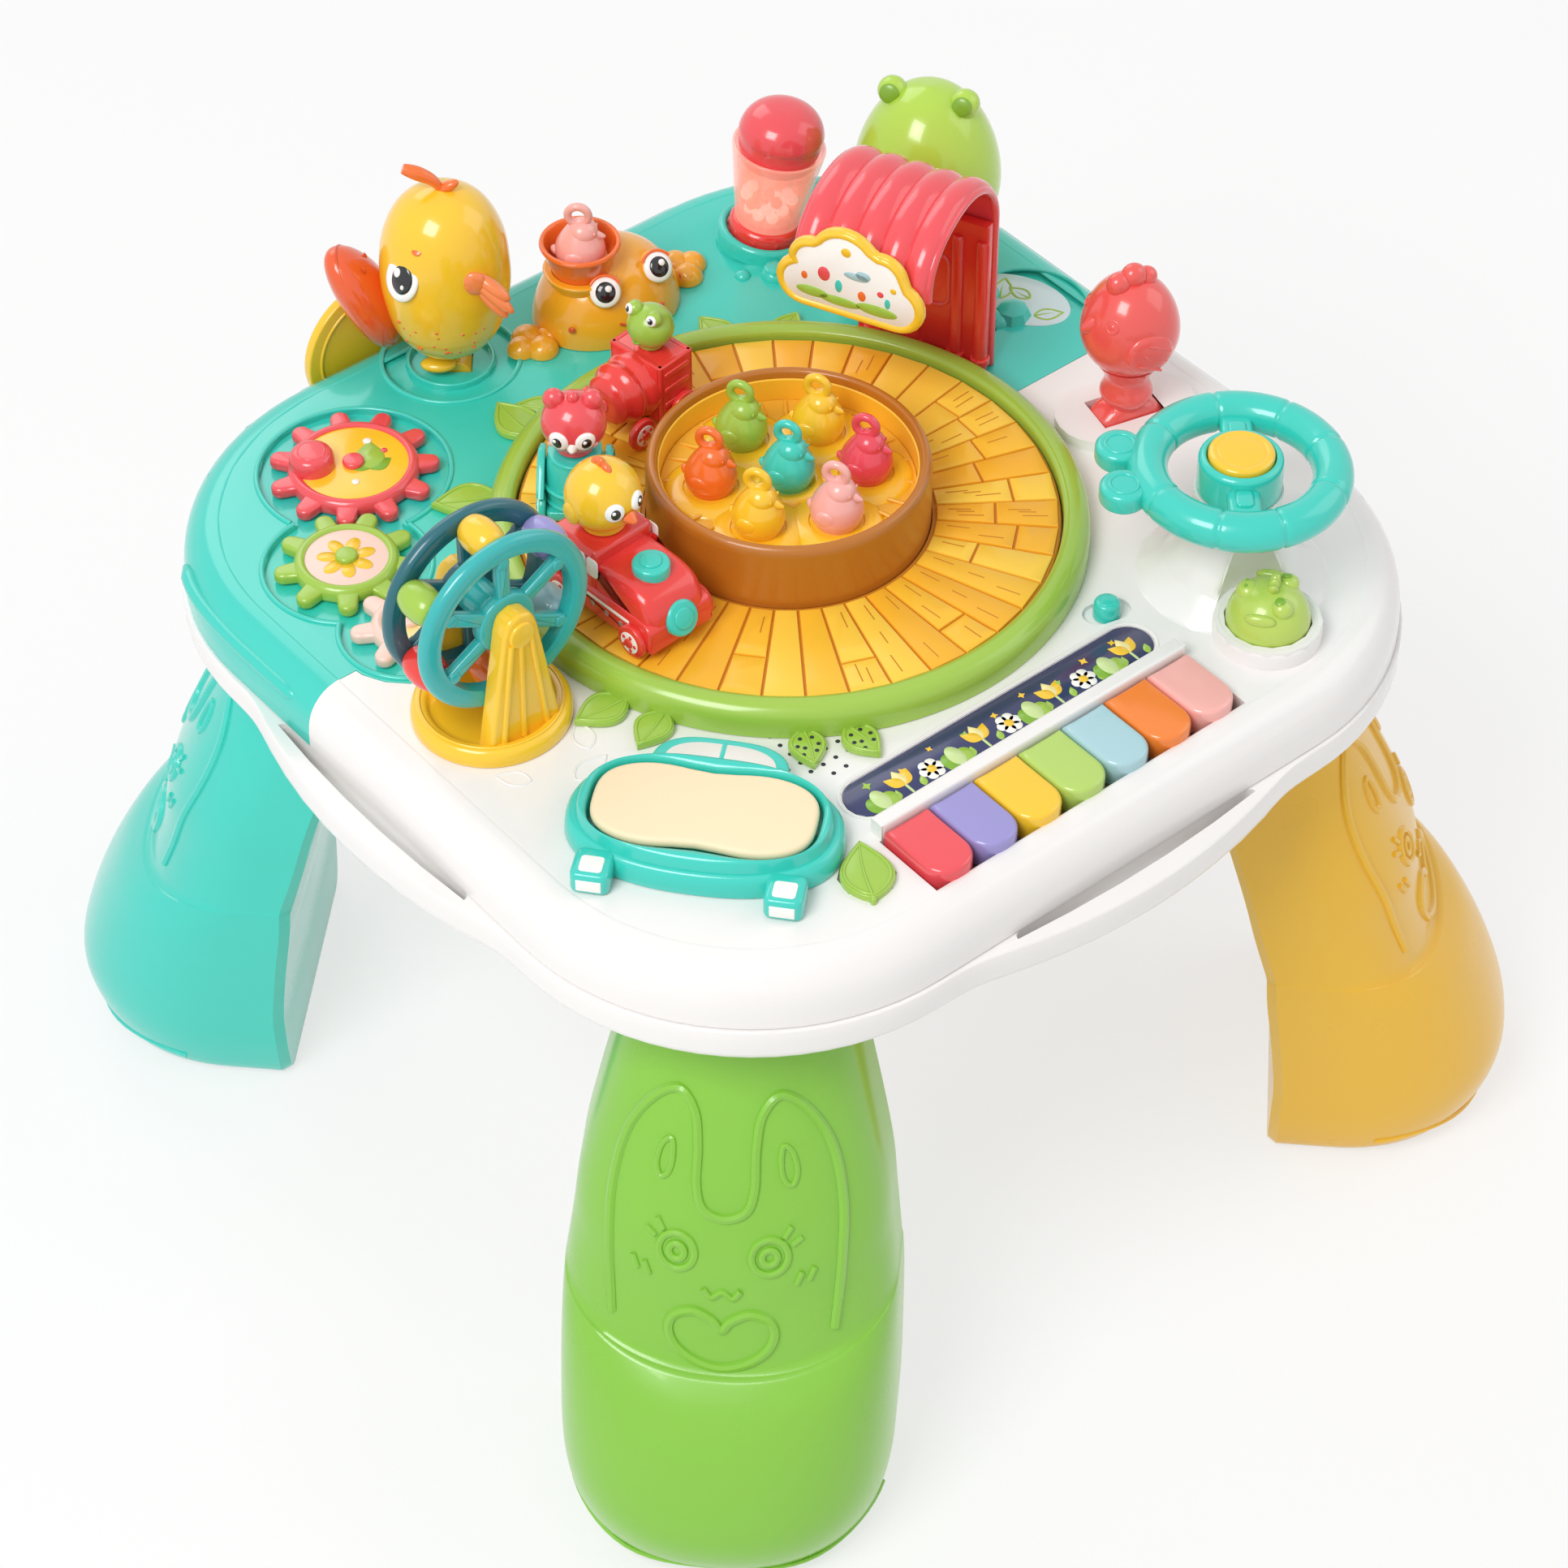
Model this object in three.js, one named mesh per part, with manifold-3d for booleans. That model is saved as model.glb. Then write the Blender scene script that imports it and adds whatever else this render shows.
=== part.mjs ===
// A musical activity table for a toddler: a rounded square case on four flared
// legs, with a train riding a turntable round a drum of lift-out figures, and
// keys, a drum pad, gears, levers, a steering wheel and a spinning wheel round it.
// Millimetres, +Z up, floor at zero, keys toward -Y, centre of the table on the Z axis.
import * as THREE from 'three';
import { mergeVertices } from 'three/addons/utils/BufferGeometryUtils.js';
import Module from 'manifold-3d';

const wasm = await Module();
wasm.setup();

// General
const fullTurn = 2 * Math.PI;
const quarter = fullTurn / 4;
const degree = fullTurn / 360;
const rest = 0.3; // gap left between pieces that touch
const play = 0.5; // gap left round pieces that move
const over = 6; // overrun of every cut

// Case
const deckHeight = 278;
const deckThickness = 4;
const caseDepth = 42;
const splitDepth = 26;
const caseHalf = 203;
const lobeCentre = 95;
const caseWall = 16;
const edgeRound = 5;
const floorThickness = 3;
const cornerSteps = 5;
const shoulderDrop = 16;
const shoulderInset = 15;
const skirtInset = 1.5;
const shoulderShares = [[0.1, 0.6], [0.3, 0.28], [0.6, 0.08]];
const handleSpan = 156;
const handleBulge = 12.5;
const handleBar = 8;
const slotSpan = 120;
const slotWidth = 6.5;
const tealEdgeLeft = 42;
const tealEdgeRight = 6;

// Legs: height, width, outer reach and inner reach as shares of the leg's own sizes
const legTopWidth = 64;
const legFootWidth = 130;
const legTopReach = 208;
const legTopDepth = 54;
const legToeReach = 305;
const legToeDepth = 97;
const legShares = [
  [0, 0.66, 0.76, 1],
  [0.03, 0.9, 0.9, 1],
  [0.09, 0.98, 0.99, 1],
  [0.16, 1, 1, 1],
  [0.26, 1, 0.92, 0.95],
  [0.35, 0.99, 0.8, 0.89],
  [0.405, 0.97, 0.67, 0.87],
  [0.415, 0.95, 0.63, 0.86],
  [0.61, 0.78, 0.49, 0.62],
  [0.8, 0.45, 0.27, 0.34],
  [1, 0, 0, 0],
];
const legStraightShare = 0.3;
const legCornerShare = 0.06;
const legSquareShare = 0.88;
const legSteps = 7;
const plugLength = 54;
const plugWidth = 16;
const plugHeight = 12;
const socketWall = 3;

// Track ring and turntable
const trackHeight = 10; // top of the turntable above the deck
const turntableRadius = 107;
const plateThickness = 5;
const tileCount = 40;
const tileDepth = 1.2;
const tileGap = 1;
const ringWidth = 11;
const ringRise = 13.5;
const ringCurveShares = [0.55, 0.22, 0.88, 0.3];
const ringSides = 40;
const leafLength = 24;
const leafWidth = 17;
const leafThickness = 3;
const leafBellyShare = 0.42;
const leafSwellShare = 1;
const ringLeafBearings = [103, 113, 132, 62, 53, -161, -153, -127, -119];
const ringLeafLeans = [30, -25, 20, 30, -30, -25, -5, 10, 30];
const ringLeafShares = [0.8, 1.1, 1.15, 0.9, 0.8, 1, 0.9, 0.85, 0.85];

// Centre drum, dish and figures
const drumRadius = 56;
const drumHeight = 38;
const drumWall = 5;
const drumFloor = 22;
const drumFloorThickness = 3;
const flangeWidth = 6;
const flangeThickness = 2;
const drumSides = 24;
const dishThickness = 4;
const petalCount = 6;
const petalSides = 8;
const figureRadius = 10.5;
const figureFoot = 8.6;
const figureHeight = 22;
const figureCircle = 30.5;
const figureStart = 28 * degree;
const figureSides = 7;
const figureCurveShares = [[0.95, 0.16], [1, 0.4], [0.72, 0.7], [0.42, 0.97]];
const loopRadius = 4.4;
const loopThickness = 1.7;
const beakShare = 0.66;
const socketDepth = 2;

// Train
const trainRadius = 83;
const locoLength = 58;
const locoWidth = 32;
const locoHeight = 34;
const locoAngle = 184 * degree;
const locoCurveShares = [0.96, 0.5, 0.93, 0.74, 0.6, 0.82];
const chimneyShare = 0.42;
const lampRadius = 7.5;
const lampDepth = 5;
const chimneyHeight = 6;
const tenderLength = 30;
const tenderWidth = 26;
const tenderHeight = 30;
const tenderTopShare = 0.4;
const tenderAngle = 139 * degree;
const barrelLength = 38;
const barrelRadius = 14;
const barrelRibs = 3;
const barrelCurveShares = [1, 0.95, 0.78];
const barrelWaistShares = [0.88, 0.74, 0.45];
const barrelAngle = 98 * degree;
const carWheelRadius = 7;
const carWheelWidth = 3;
const carFloor = 4;
const chassisHeight = 4;
const chickRadius = 15;
const owlRadius = 13;
const frogRadius = 9.5;
const neckShare = 0.55;
// Lumps on each head: place and size as shares of the head's radius
const chickLumpShares = [[0, 0, 1.02, 0.22], [0, 0.98, 0, 0.2]];
const owlLumpShares = [[-0.6, 0, 0.85, 0.3], [0.6, 0, 0.85, 0.3], [0, 0.1, 1.02, 0.22]];
const frogLumpShares = [[-0.55, 0.35, 0.8, 0.38], [0.55, 0.35, 0.8, 0.38]];

// Station over the track
const stationAngle = 24 * degree;
const stationLength = 58;
const roofOuter = 130;
const roofInner = 63;
const roofHeight = 105;
const roofSpring = 76;
const roofEave = 82;
const eaveDrop = 4;
const roofThickness = 3.5;
const roofRibs = 5;
const ribRise = 2.4;
const ribSteps = 3;
const archSteps = 7;
const wallThickness = 5;
const wallGroove = 7;
const wallGrooveDepth = 3;
const pillarRadius = 3;
const pillarShares = [-0.27, 0.05, 0.37];
const signWidth = 64;
const signHeight = 43;
const signThickness = 4;
const signRim = 4;
const signRimRise = 1.5;
const signBottom = 64;
const signShift = 2;
const cloudRoundShare = 0.3;
const cloudPeakShares = [-0.04, 0.46];
// Ends of the three scallops, in quarter turns from the sign's right
const cloudTurns = [0.1, 0.9, 1.85, 3];

// Piano and leaf button
const keyCount = 7;
const keyPitch = 21.7;
const keyGap = 0.8;
const keyLength = 25.5;
const keyRise = 5;
const keyDepth = 8;
const keyRow = -7; // middle of the row along X
const keyBack = -154.8;
const keyTip = 6;
const wellDepth = 12;
const wellMargin = 1;
const fulcrumWidth = 2;
const ledgeDepth = 6;
const ledgeRise = 7;
const stripLength = 150;
const stripWidth = 20;
const stripDepth = 0.8;
const stripGap = 4;
const leafButtonX = -98;
const leafButtonY = -163;
const leafButtonLength = 30;
const leafButtonWidth = 21;
const leafButtonRise = 4;
const leafButtonDepth = 2.5;
const leafButtonTravel = 1.2;
const leafButtonAngle = 60 * degree;

// Drum pad
const padX = -131;
const padY = -111;
const padAngle = -50 * degree;
const padLength = 84;
const padWidth = 44;
const padWaist = 4;
const padThickness = 5;
const padTravel = 2;
const frameLength = 104;
const frameWidth = 62;
const frameHeight = 12;
const frameFloor = 3;
const frameSides = 20;
const footSize = 15;
const footHeight = 10;
const footShare = 0.34;
const earSpreadShare = 0.1;
const padEarRadius = 9;

// Steering wheel and its pedestal
const steerX = 117;
const steerY = -129;
const steerHeight = 52;
const steerRadius = 35.5;
const steerTube = 8;
const steerHubRadius = 16.5;
const steerHubHeight = 16;
const steerSpokeWidth = 13;
const steerSpokeHeight = 6;
const steerSpokeAngle = 50 * degree;
const steerSpokes = 2;
const earRadius = 9.5;
const earReach = 47;
const earThickness = 9;
const earAngles = [127 * degree, 156 * degree];
const hornRadius = 13;
const hornHeight = 6;
const hornSink = 3.5;
const hornTravel = 1.5;
const pedestalRadius = 38;
const pedestalNeck = 17;
const pedestalCurveShares = [0.66, 0.24, 0.72];
const pedestalSides = 16;
const steerShaftRadius = 7;
const steerShaftLength = 10;

// Roller ball and its cup
const rollerX = 103;
const rollerY = -163;
const rollerRadius = 16.5;
const rollerHeight = 8;
const rollerPin = 3;
const rollerTurn = 216 * degree;
const cupWall = 4.5;
const cupHeight = 8;
const cupDepth = 11;
// Eyes, snout and comb of the ball: place and size as shares of its radius
const rollerLumpShares = [
  [0.45, 0.35, 0.75, 0.26], [-0.45, 0.35, 0.75, 0.26], [0, -0.5, 0.72, 0.3], [0, 0, 0.98, 0.2],
];

// Slide switch
const switchX = 64;
const switchY = -115;
const switchAngle = -14 * degree;
const switchTravel = 4;
const switchRadius = 5.5;
const switchTopRadius = 4.4;
const switchHeight = 6;
const switchSlotDepth = 2;

// Levers: shift bird, duck and bear
const leverPivotDepth = 7;
const eggShares = [[0, 0], [0.52, 0.05], [0.86, 0.2], [1, 0.4], [0.94, 0.62], [0.72, 0.82], [0.4, 0.95], [0, 1]];
const shiftX = 149;
const shiftY = -33;
const shiftAngle = -14 * degree;
const shiftBossLength = 60;
const shiftBossWidth = 36;
const shiftBossHeight = 5;
const shiftFootRadius = 18;
const shiftFootWidth = 17;
const shiftBodyRadius = 20;
const shiftBodyHeight = 44;
const shiftNeckRadius = 8;
const shiftNeckHeight = 22;
const shiftCrestShares = [[-0.25, 0.3], [0.3, 0.24]];
const shiftWingShares = [0.55, 0.18, 0.5];
const wingSideShare = 0.92;
const wingHeightShare = 0.42;
const duckX = -40;
const duckY = 170;
const duckAngle = 141 * degree;
const duckRadius = 26.5;
const duckHeight = 82;
const duckShares = [[0, 0], [0.5, 0.05], [0.84, 0.19], [0.98, 0.38], [1, 0.55], [0.93, 0.72], [0.72, 0.87], [0.4, 0.96], [0, 1]];
const duckLift = 6;
const duckWingShares = [0.6, 0.2, 0.3];
const duckWingBackShare = 0.45;
const duckWingTilt = 20 * degree;
const duckTuftShares = [0.42, 0.13, 0.24];
const billLength = 52;
const billThickness = 21;
const billWidth = 30;
// Reach of the bill's middle from the duck's own axis and its height, as shares, then its tilt
const billReachShare = 1.27;
const billHeightShare = 0.33;
const billTilt = -64 * degree;
const bearX = 158;
const bearY = 101;
const bearRadius = 31;
const bearHeight = 80;
const bearLift = 5;
const bearEarRadius = 7;
const bearEarShares = [0.62, 0.88];
const bearArmShares = [0.25, 0.2, 0.5];
const bearArmBackShare = 0.4;
const bearArmHeightShare = 0.35;
const smallFootRadius = 10;
const smallFootWidth = 12;
const smallNeckRadius = 5;
const recessRadius = 28;
const recessDepth = 2;
const collarShare = 0.6;

// Popper
const popperX = 111;
const popperY = 151;
const popperLean = 8 * degree;
const popperLeanAngle = -40 * degree;
const popperBaseRadius = 16;
const popperBaseHeight = 9;
const popperFootRadius = 14;
const popperTopRadius = 20;
const popperHeight = 38;
const popperWall = 2;
const popperSides = 16;
const popperCapRise = 14;
const popperCapSkirt = 8;
const popperTravel = 5;
const popperCollarRise = 3;
const capShares = [[0.97, 0.35], [0.8, 0.72], [0.45, 0.94]];

// Shape sorter frog and bowl
const sorterX = 30;
const sorterY = 156;
const sorterRadius = 33;
const sorterDepth = 27;
const sorterHeight = 33;
const sorterArm = 9;
const sorterArmLength = 27;
const sorterArmReach = 38;
const sorterEye = 7;
const sorterEyeShares = [0.5, 0.62, 0.66];
const bowlRadius = 17;
const bowlFootRadius = 12;
const bowlHeight = 15;
const bowlWall = 2.5;
const bowlShiftX = -13;
const bowlShiftY = -1;
const bowlSeat = 27;

// Gears
const toothPitch = 17.7;
const gearHeight = 7;
const gearRim = 3;
const pegRadius = 4;
const toothReach = 3.5;
const rootRelief = 1;
const pitMargin = 3.5;
const pitDepth = 2;
const gearPostRadius = 4;
const gearPostHeight = 5;
const redGear = { teeth: 11, x: -112, y: 137 };
const limeGear = { teeth: 9, bearing: 232 * degree };
const pinkGear = { teeth: 7, bearing: 267 * degree };
const redKnobRadius = 8;
const redKnobHeight = 13;
const redKnobShares = [-0.55, 0.3];

// Spinning wheel and stand
const spinX = -152;
const spinY = -9;
const spinRadius = 38;
const spinHeight = 55;
const spinPlate = 4;
const spinSpacing = 26;
const spinRim = 9;
const spinHub = 10;
const spinSpokes = 6;
const spinSpokeWidth = 5;
const spinPlateSides = 20;
const rollerCount = 6;
const rollerThickness = 5.5;
const rollerReach = 31.5;
const axleRadius = 3;
const axleTip = 6;
const standRadius = 31;
const standHeight = 7;
const standDish = 3;
const standThickness = 9;
const standTop = 14;
const standFoot = 34;
const standCrown = 10;

// Round piece on the back edge
const sideDiscX = -56;
const sideDiscOff = 3.5;
const sideDiscRadius = 31;
const sideDiscThickness = 4.5;
const sideDiscDrop = 6;
const sideGrooveWidth = 2;
const sideGrooveDepth = 1;
const sideGrooveInset = 5;

// Relief on the back of the teal cover
const bubblePlaces = [[98, 128], [112, 121]];
const bubbleRadii = [6.5, 7.5];
const windowX = 165;
const windowY = 44;
const windowRadius = 27;
const windowDepth = 2;
const windowBite = 8;
const plantRadius = 9;

// Inner pieces
const speakerX = -72;
const speakerY = -100;
const speakerRadius = 19;
const speakerMagnet = 11;
const speakerDepth = 12;
const speakerFlange = 4;
const boardLength = 110;
const boardWidth = 70;
const boardThickness = 1.6;
const boardHeight = 6;
const boardX = -20;
const boardY = -90;
const bossRadius = 3;
const doorLength = 120;
const doorWidth = 74;
const doorThickness = 2.5;
const doorY = 40;
const doorPad = 3;

// Worked out from the sizes above
const caseBottom = deckHeight - caseDepth;
const splitHeight = deckHeight - splitDepth;
const cavityHalf = caseHalf - caseWall;
const cavityTop = deckHeight - deckThickness;
const legPlugReach = legTopReach - legTopDepth / 2;
const rimInner = turntableRadius + play;
const rimOuter = rimInner + ringWidth;
const stripY = keyBack + wellMargin + ledgeDepth + stripGap + stripWidth / 2;
const padTop = frameHeight + frameFloor;
const pedestalHeight = steerHeight - steerHubHeight / 2 - rest;
const pivotHeight = deckHeight - leverPivotDepth;
const duckRise = leverPivotDepth + duckLift;
const popperMouth = popperBaseHeight + rest + popperHeight;
const wallHeight = roofSpring - 2 * rest;
const bearSwing = Math.atan2(bearY, bearX);
const sideTurns = { right: 0, back: quarter, left: 2 * quarter, front: 3 * quarter };
const slotSides = ['right', 'left', 'front'];
const diagonals = {
  back_right: quarter / 2,
  back_left: quarter * 3 / 2,
  front_left: quarter * 5 / 2,
  front_right: quarter * 7 / 2,
};

const looks = {
  white: [0xf3f0ee, 0.35],
  teal: [0x45cfc0, 0.35],
  lime: [0xa3c64f, 0.4],
  legGreen: [0x84bf3c, 0.4],
  mustard: [0xddab2f, 0.4],
  tile: [0xf3ae35, 0.45],
  drumBrown: [0xb0691f, 0.45],
  dish: [0xf0b545, 0.45],
  yellow: [0xf8c636, 0.35],
  orange: [0xf0742c, 0.35],
  red: [0xea4538, 0.35],
  coral: [0xef5a5c, 0.35],
  pink: [0xf3a9b0, 0.35],
  rose: [0xe8455f, 0.35],
  purple: [0x8a79c4, 0.4],
  sky: [0xa9dbe8, 0.4],
  beige: [0xfbe0b4, 0.6],
  board: [0x2f7d4a, 0.6],
  black: [0x2b2b2e, 0.7],
};
const keyLooks = ['coral', 'purple', 'yellow', 'lime', 'sky', 'orange', 'pink'];
const figureNames = ['teal', 'yellow', 'green', 'orange', 'amber', 'pink', 'rose'];
const figureLooks = ['teal', 'yellow', 'lime', 'orange', 'yellow', 'pink', 'rose'];
const legLooks = { back_right: 'orange', back_left: 'teal', front_left: 'legGreen', front_right: 'mustard' };

// Turns a geometry into a closed solid with its faces pointing out.
function solidOf(form) {
  if (!(form instanceof THREE.BufferGeometry)) return form;
  const bare = form.clone();
  bare.deleteAttribute('normal');
  bare.deleteAttribute('uv');
  const merged = mergeVertices(bare);
  const places = merged.attributes.position.array;
  const corner = (index) => new THREE.Vector3().fromArray(places, index * 3);
  const faces = [];
  let volume = 0;
  for (let i = 0; i < merged.index.count; i += 3) {
    const [a, b, c] = merged.index.array.slice(i, i + 3);
    if (a === b || b === c || c === a) continue;
    faces.push([a, b, c]);
    volume += corner(a).dot(corner(b).cross(corner(c)));
  }
  const ordered = volume > 0 ? faces : faces.map(([a, b, c]) => [a, c, b]);
  return new wasm.Manifold(new wasm.Mesh({
    numProp: 3,
    vertProperties: places,
    triVerts: Uint32Array.from(ordered.flat()),
  }));
}

function geometryOf(form) {
  if (form instanceof THREE.BufferGeometry) return form;
  const mesh = form.getMesh();
  const geometry = new THREE.BufferGeometry();
  geometry.setAttribute('position', new THREE.BufferAttribute(mesh.vertProperties, 3));
  geometry.setIndex(new THREE.BufferAttribute(mesh.triVerts, 1));
  return geometry;
}

const join = (...forms) => geometryOf(forms.map(solidOf).reduce((sum, form) => sum.add(form)));
const common = (form, other) => geometryOf(solidOf(form).intersect(solidOf(other)));
function cut(form, ...tools) {
  return geometryOf(tools.map(solidOf).reduce((left, tool) => left.subtract(tool), solidOf(form)));
}

// Simple forms, each standing on its own zero height
const block = (length, width, height) => (
  new THREE.BoxGeometry(length, width, height).translate(0, 0, height / 2));
const post = (radius, height, sides = 16, top = radius) => (
  new THREE.CylinderGeometry(top, radius, height, sides).rotateX(quarter).translate(0, 0, height / 2));
const ball = (radius, sides = 12) => (
  new THREE.SphereGeometry(radius, sides, Math.round(sides / 2)).rotateX(quarter));
const lump = (lengthX, lengthY, lengthZ, sides = 10) => ball(1, sides).scale(lengthX, lengthY, lengthZ);
// A cylinder lying along X, and one lying along Y
const roller = (radius, length, sides = 16) => (
  new THREE.CylinderGeometry(radius, radius, length, sides).rotateZ(quarter));
const crossRoller = (radius, length, sides = 16) => new THREE.CylinderGeometry(radius, radius, length, sides);
// Stands a flat form upright, its height toward +Z and its thickness along Y
const upright = (form) => form.rotateX(quarter);

// A profile of [radius, height] pairs turned round the Z axis
function revolved(profile, sides) {
  const points = profile.map(([radius, height]) => new THREE.Vector2(radius, height));
  return new THREE.LatheGeometry(points, sides).rotateX(quarter);
}

function band(inner, outer, bottom, top, sides) {
  return revolved([[inner, bottom], [outer, bottom], [outer, top], [inner, top], [inner, bottom]], sides);
}

function prism(shape, height, curveSegments = 6) {
  return new THREE.ExtrudeGeometry(shape, { depth: height, bevelEnabled: false, curveSegments });
}

// Closed sections with the same number of points, skinned and capped
function lofted(sections, place) {
  const count = sections[0].length;
  const places = sections.flatMap((section, level) => section.flatMap((point) => place(point, level)));
  const caps = THREE.ShapeUtils.triangulateShape(sections[0], []);
  const top = (sections.length - 1) * count;
  const index = caps.flatMap(([a, b, c]) => [c, b, a, top + a, top + b, top + c]);
  for (let level = 0; level + 1 < sections.length; level += 1) {
    for (let i = 0; i < count; i += 1) {
      const low = level * count;
      const high = low + count;
      const next = (i + 1) % count;
      index.push(low + i, low + next, high + next, low + i, high + next, high + i);
    }
  }
  const geometry = new THREE.BufferGeometry();
  geometry.setAttribute('position', new THREE.BufferAttribute(Float32Array.from(places), 3));
  geometry.setIndex(index);
  return geometry;
}

// Outline of the case: a rounded square whose corner lobes keep their centres
function roundedSquare(half) {
  const points = [];
  const origin = new THREE.Vector2();
  const reach = half - lobeCentre;
  for (let corner = 0; corner < 4; corner += 1) {
    for (let step = 0; step <= cornerSteps; step += 1) {
      const angle = quarter * step / cornerSteps;
      const point = new THREE.Vector2(Math.cos(angle), Math.sin(angle)).multiplyScalar(reach);
      points.push(point.addScalar(lobeCentre).rotateAround(origin, corner * quarter));
    }
  }
  return points;
}

const caseForm = (levels) => (
  lofted(levels.map(([half]) => roundedSquare(half)), (p, level) => [p.x, p.y, levels[level][1]]));

function stadium(length, width) {
  const shape = new THREE.Shape();
  const reach = (length - width) / 2;
  shape.absarc(reach, 0, width / 2, -quarter, quarter, false);
  shape.absarc(-reach, 0, width / 2, quarter, 3 * quarter, false);
  return shape;
}

// A leaf with its stem at the origin and its point along X
function leafShape(length, width) {
  const shape = new THREE.Shape();
  shape.moveTo(0, 0);
  shape.quadraticCurveTo(length * leafBellyShare, width * leafSwellShare, length, 0);
  shape.quadraticCurveTo(length * leafBellyShare, -width * leafSwellShare, 0, 0);
  return shape;
}

// The bulge of a carry handle on the +X side, as an arc beyond the straight side
function handleLip() {
  const reach = handleSpan / 2;
  const radius = (reach * reach + handleBulge * handleBulge) / (2 * handleBulge);
  const spread = Math.asin(reach / radius);
  const shape = new THREE.Shape();
  shape.moveTo(caseHalf - handleBar, -reach);
  shape.absarc(caseHalf + handleBulge - radius, 0, radius, -spread, spread, false);
  shape.lineTo(caseHalf - handleBar, reach);
  const bottom = caseBottom + edgeRound / 2;
  return prism(shape, splitHeight - rest - bottom, 5).translate(0, 0, bottom);
}

// The crescent that fingers go through on the +X side
function handleSlot() {
  const reach = slotSpan / 2;
  const outer = caseHalf + handleBulge - handleBar;
  const inner = outer - slotWidth;
  const end = outer - slotWidth / 2;
  const shape = new THREE.Shape();
  shape.moveTo(inner, -reach + slotWidth);
  shape.quadraticCurveTo(inner, -reach, end, -reach);
  shape.quadraticCurveTo(outer + slotWidth / 2, 0, end, reach);
  shape.quadraticCurveTo(inner, reach, inner, reach - slotWidth);
  return prism(shape, caseDepth + 2 * over, 5).translate(0, 0, caseBottom - over);
}

const handleSlots = () => slotSides.map((side) => handleSlot().rotateZ(sideTurns[side]));

function lowerCase() {
  const outer = caseForm([
    [caseHalf - edgeRound, caseBottom],
    [caseHalf, caseBottom + edgeRound],
    [caseHalf, splitHeight - rest],
  ]);
  const lips = Object.values(sideTurns).map((side) => handleLip().rotateZ(side));
  const cavity = caseForm([[cavityHalf, caseBottom + floorThickness], [cavityHalf, splitHeight + over]]);
  const atCorner = (form, height, angle) => form.translate(legPlugReach, 0, height).rotateZ(angle);
  const housings = Object.values(diagonals).map((angle) => atCorner(
    block(plugWidth + 2 * socketWall, plugLength + 2 * socketWall, plugHeight + socketWall), caseBottom, angle));
  const pockets = Object.values(diagonals).map((angle) => atCorner(
    block(plugWidth + 2 * rest, plugLength + 2 * rest, plugHeight + rest + over), caseBottom - over, angle));
  const doorBacking = block(doorLength + 2 * doorPad, doorWidth + 2 * doorPad, floorThickness + doorThickness)
    .translate(0, doorY, caseBottom);
  const doorway = block(doorLength + 2 * rest, doorWidth + 2 * rest, doorThickness + rest + over)
    .translate(0, doorY, caseBottom - over);
  const bosses = boardCorners().map(([x, y]) => (
    post(bossRadius, boardHeight, 8).translate(x, y, caseBottom + floorThickness - rest)));
  const tray = cut(join(outer, ...lips), cavity);
  return cut(join(tray, ...housings, doorBacking, ...bosses), ...pockets, doorway, ...handleSlots());
}

// Shell of the top with its rolled shoulder, before it is parted into its two colours
function deckShell() {
  const half = caseHalf - skirtInset;
  const shoulder = shoulderShares.map(([inset, drop]) => (
    [half - shoulderInset * inset, deckHeight - shoulderDrop * drop]));
  const outer = caseForm([
    [half, splitHeight],
    [half, deckHeight - shoulderDrop],
    ...shoulder,
    [half - shoulderInset, deckHeight],
  ]);
  const cavity = caseForm([[cavityHalf, splitHeight - over], [cavityHalf, cavityTop]]);
  return cut(outer, cavity);
}

// Everything behind the colour line, with a lobe round the smallest gear
function tealRegion(gap) {
  const reach = caseHalf + over;
  const shape = new THREE.Shape();
  shape.moveTo(-reach, tealEdgeLeft - gap);
  shape.lineTo(-turntableRadius, tealEdgeLeft - gap);
  shape.lineTo(turntableRadius, tealEdgeRight - gap);
  shape.lineTo(reach, tealEdgeRight - gap);
  shape.lineTo(reach, reach);
  shape.lineTo(-reach, reach);
  const height = splitDepth + 2 * over;
  const gear = gearPlace(pinkGear);
  const lobe = post(pitRadius(pinkGear) + pitMargin + gap, height, 20).translate(gear.x, gear.y, 0);
  return join(prism(shape, height), lobe).translate(0, 0, splitHeight - over);
}

// Tray under the keys, its hollow, and the ridge that the keys rock on
function keyWell() {
  const length = keyCount * keyPitch + 2 * wellMargin;
  const width = keyLength + keyTip + 2 * wellMargin;
  const y = keyBack + wellMargin - width / 2;
  const tray = block(length + 2 * socketWall, width + 2 * socketWall, wellDepth + socketWall - deckThickness / 2)
    .translate(keyRow, y, deckHeight - wellDepth - socketWall);
  const hollow = block(length, width, wellDepth + over).translate(keyRow, y, deckHeight - wellDepth);
  const ridge = block(length + 2 * rest, fulcrumWidth, wellDepth - keyDepth)
    .translate(keyRow, keyBack - fulcrumWidth, deckHeight - wellDepth - rest);
  return { tray, hollow, ridge };
}

function steerPedestal() {
  const [waist, low, high] = pedestalCurveShares;
  const body = revolved([
    [0, -deckThickness / 2],
    [pedestalRadius, -deckThickness / 2],
    [pedestalRadius, 0],
    [pedestalRadius * waist, pedestalHeight * low],
    [pedestalNeck, pedestalHeight * high],
    [pedestalNeck, pedestalHeight],
    [0, pedestalHeight],
  ], pedestalSides).translate(steerX, steerY, deckHeight);
  const ballRoom = post(rollerRadius + cupWall, pedestalHeight, 24)
    .translate(rollerX, rollerY, deckHeight + cupHeight);
  return cut(body, ballRoom);
}

function rollerCup() {
  return post(rollerRadius + cupWall, cupHeight + cupDepth, 16).translate(rollerX, rollerY, deckHeight - cupDepth);
}

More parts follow.
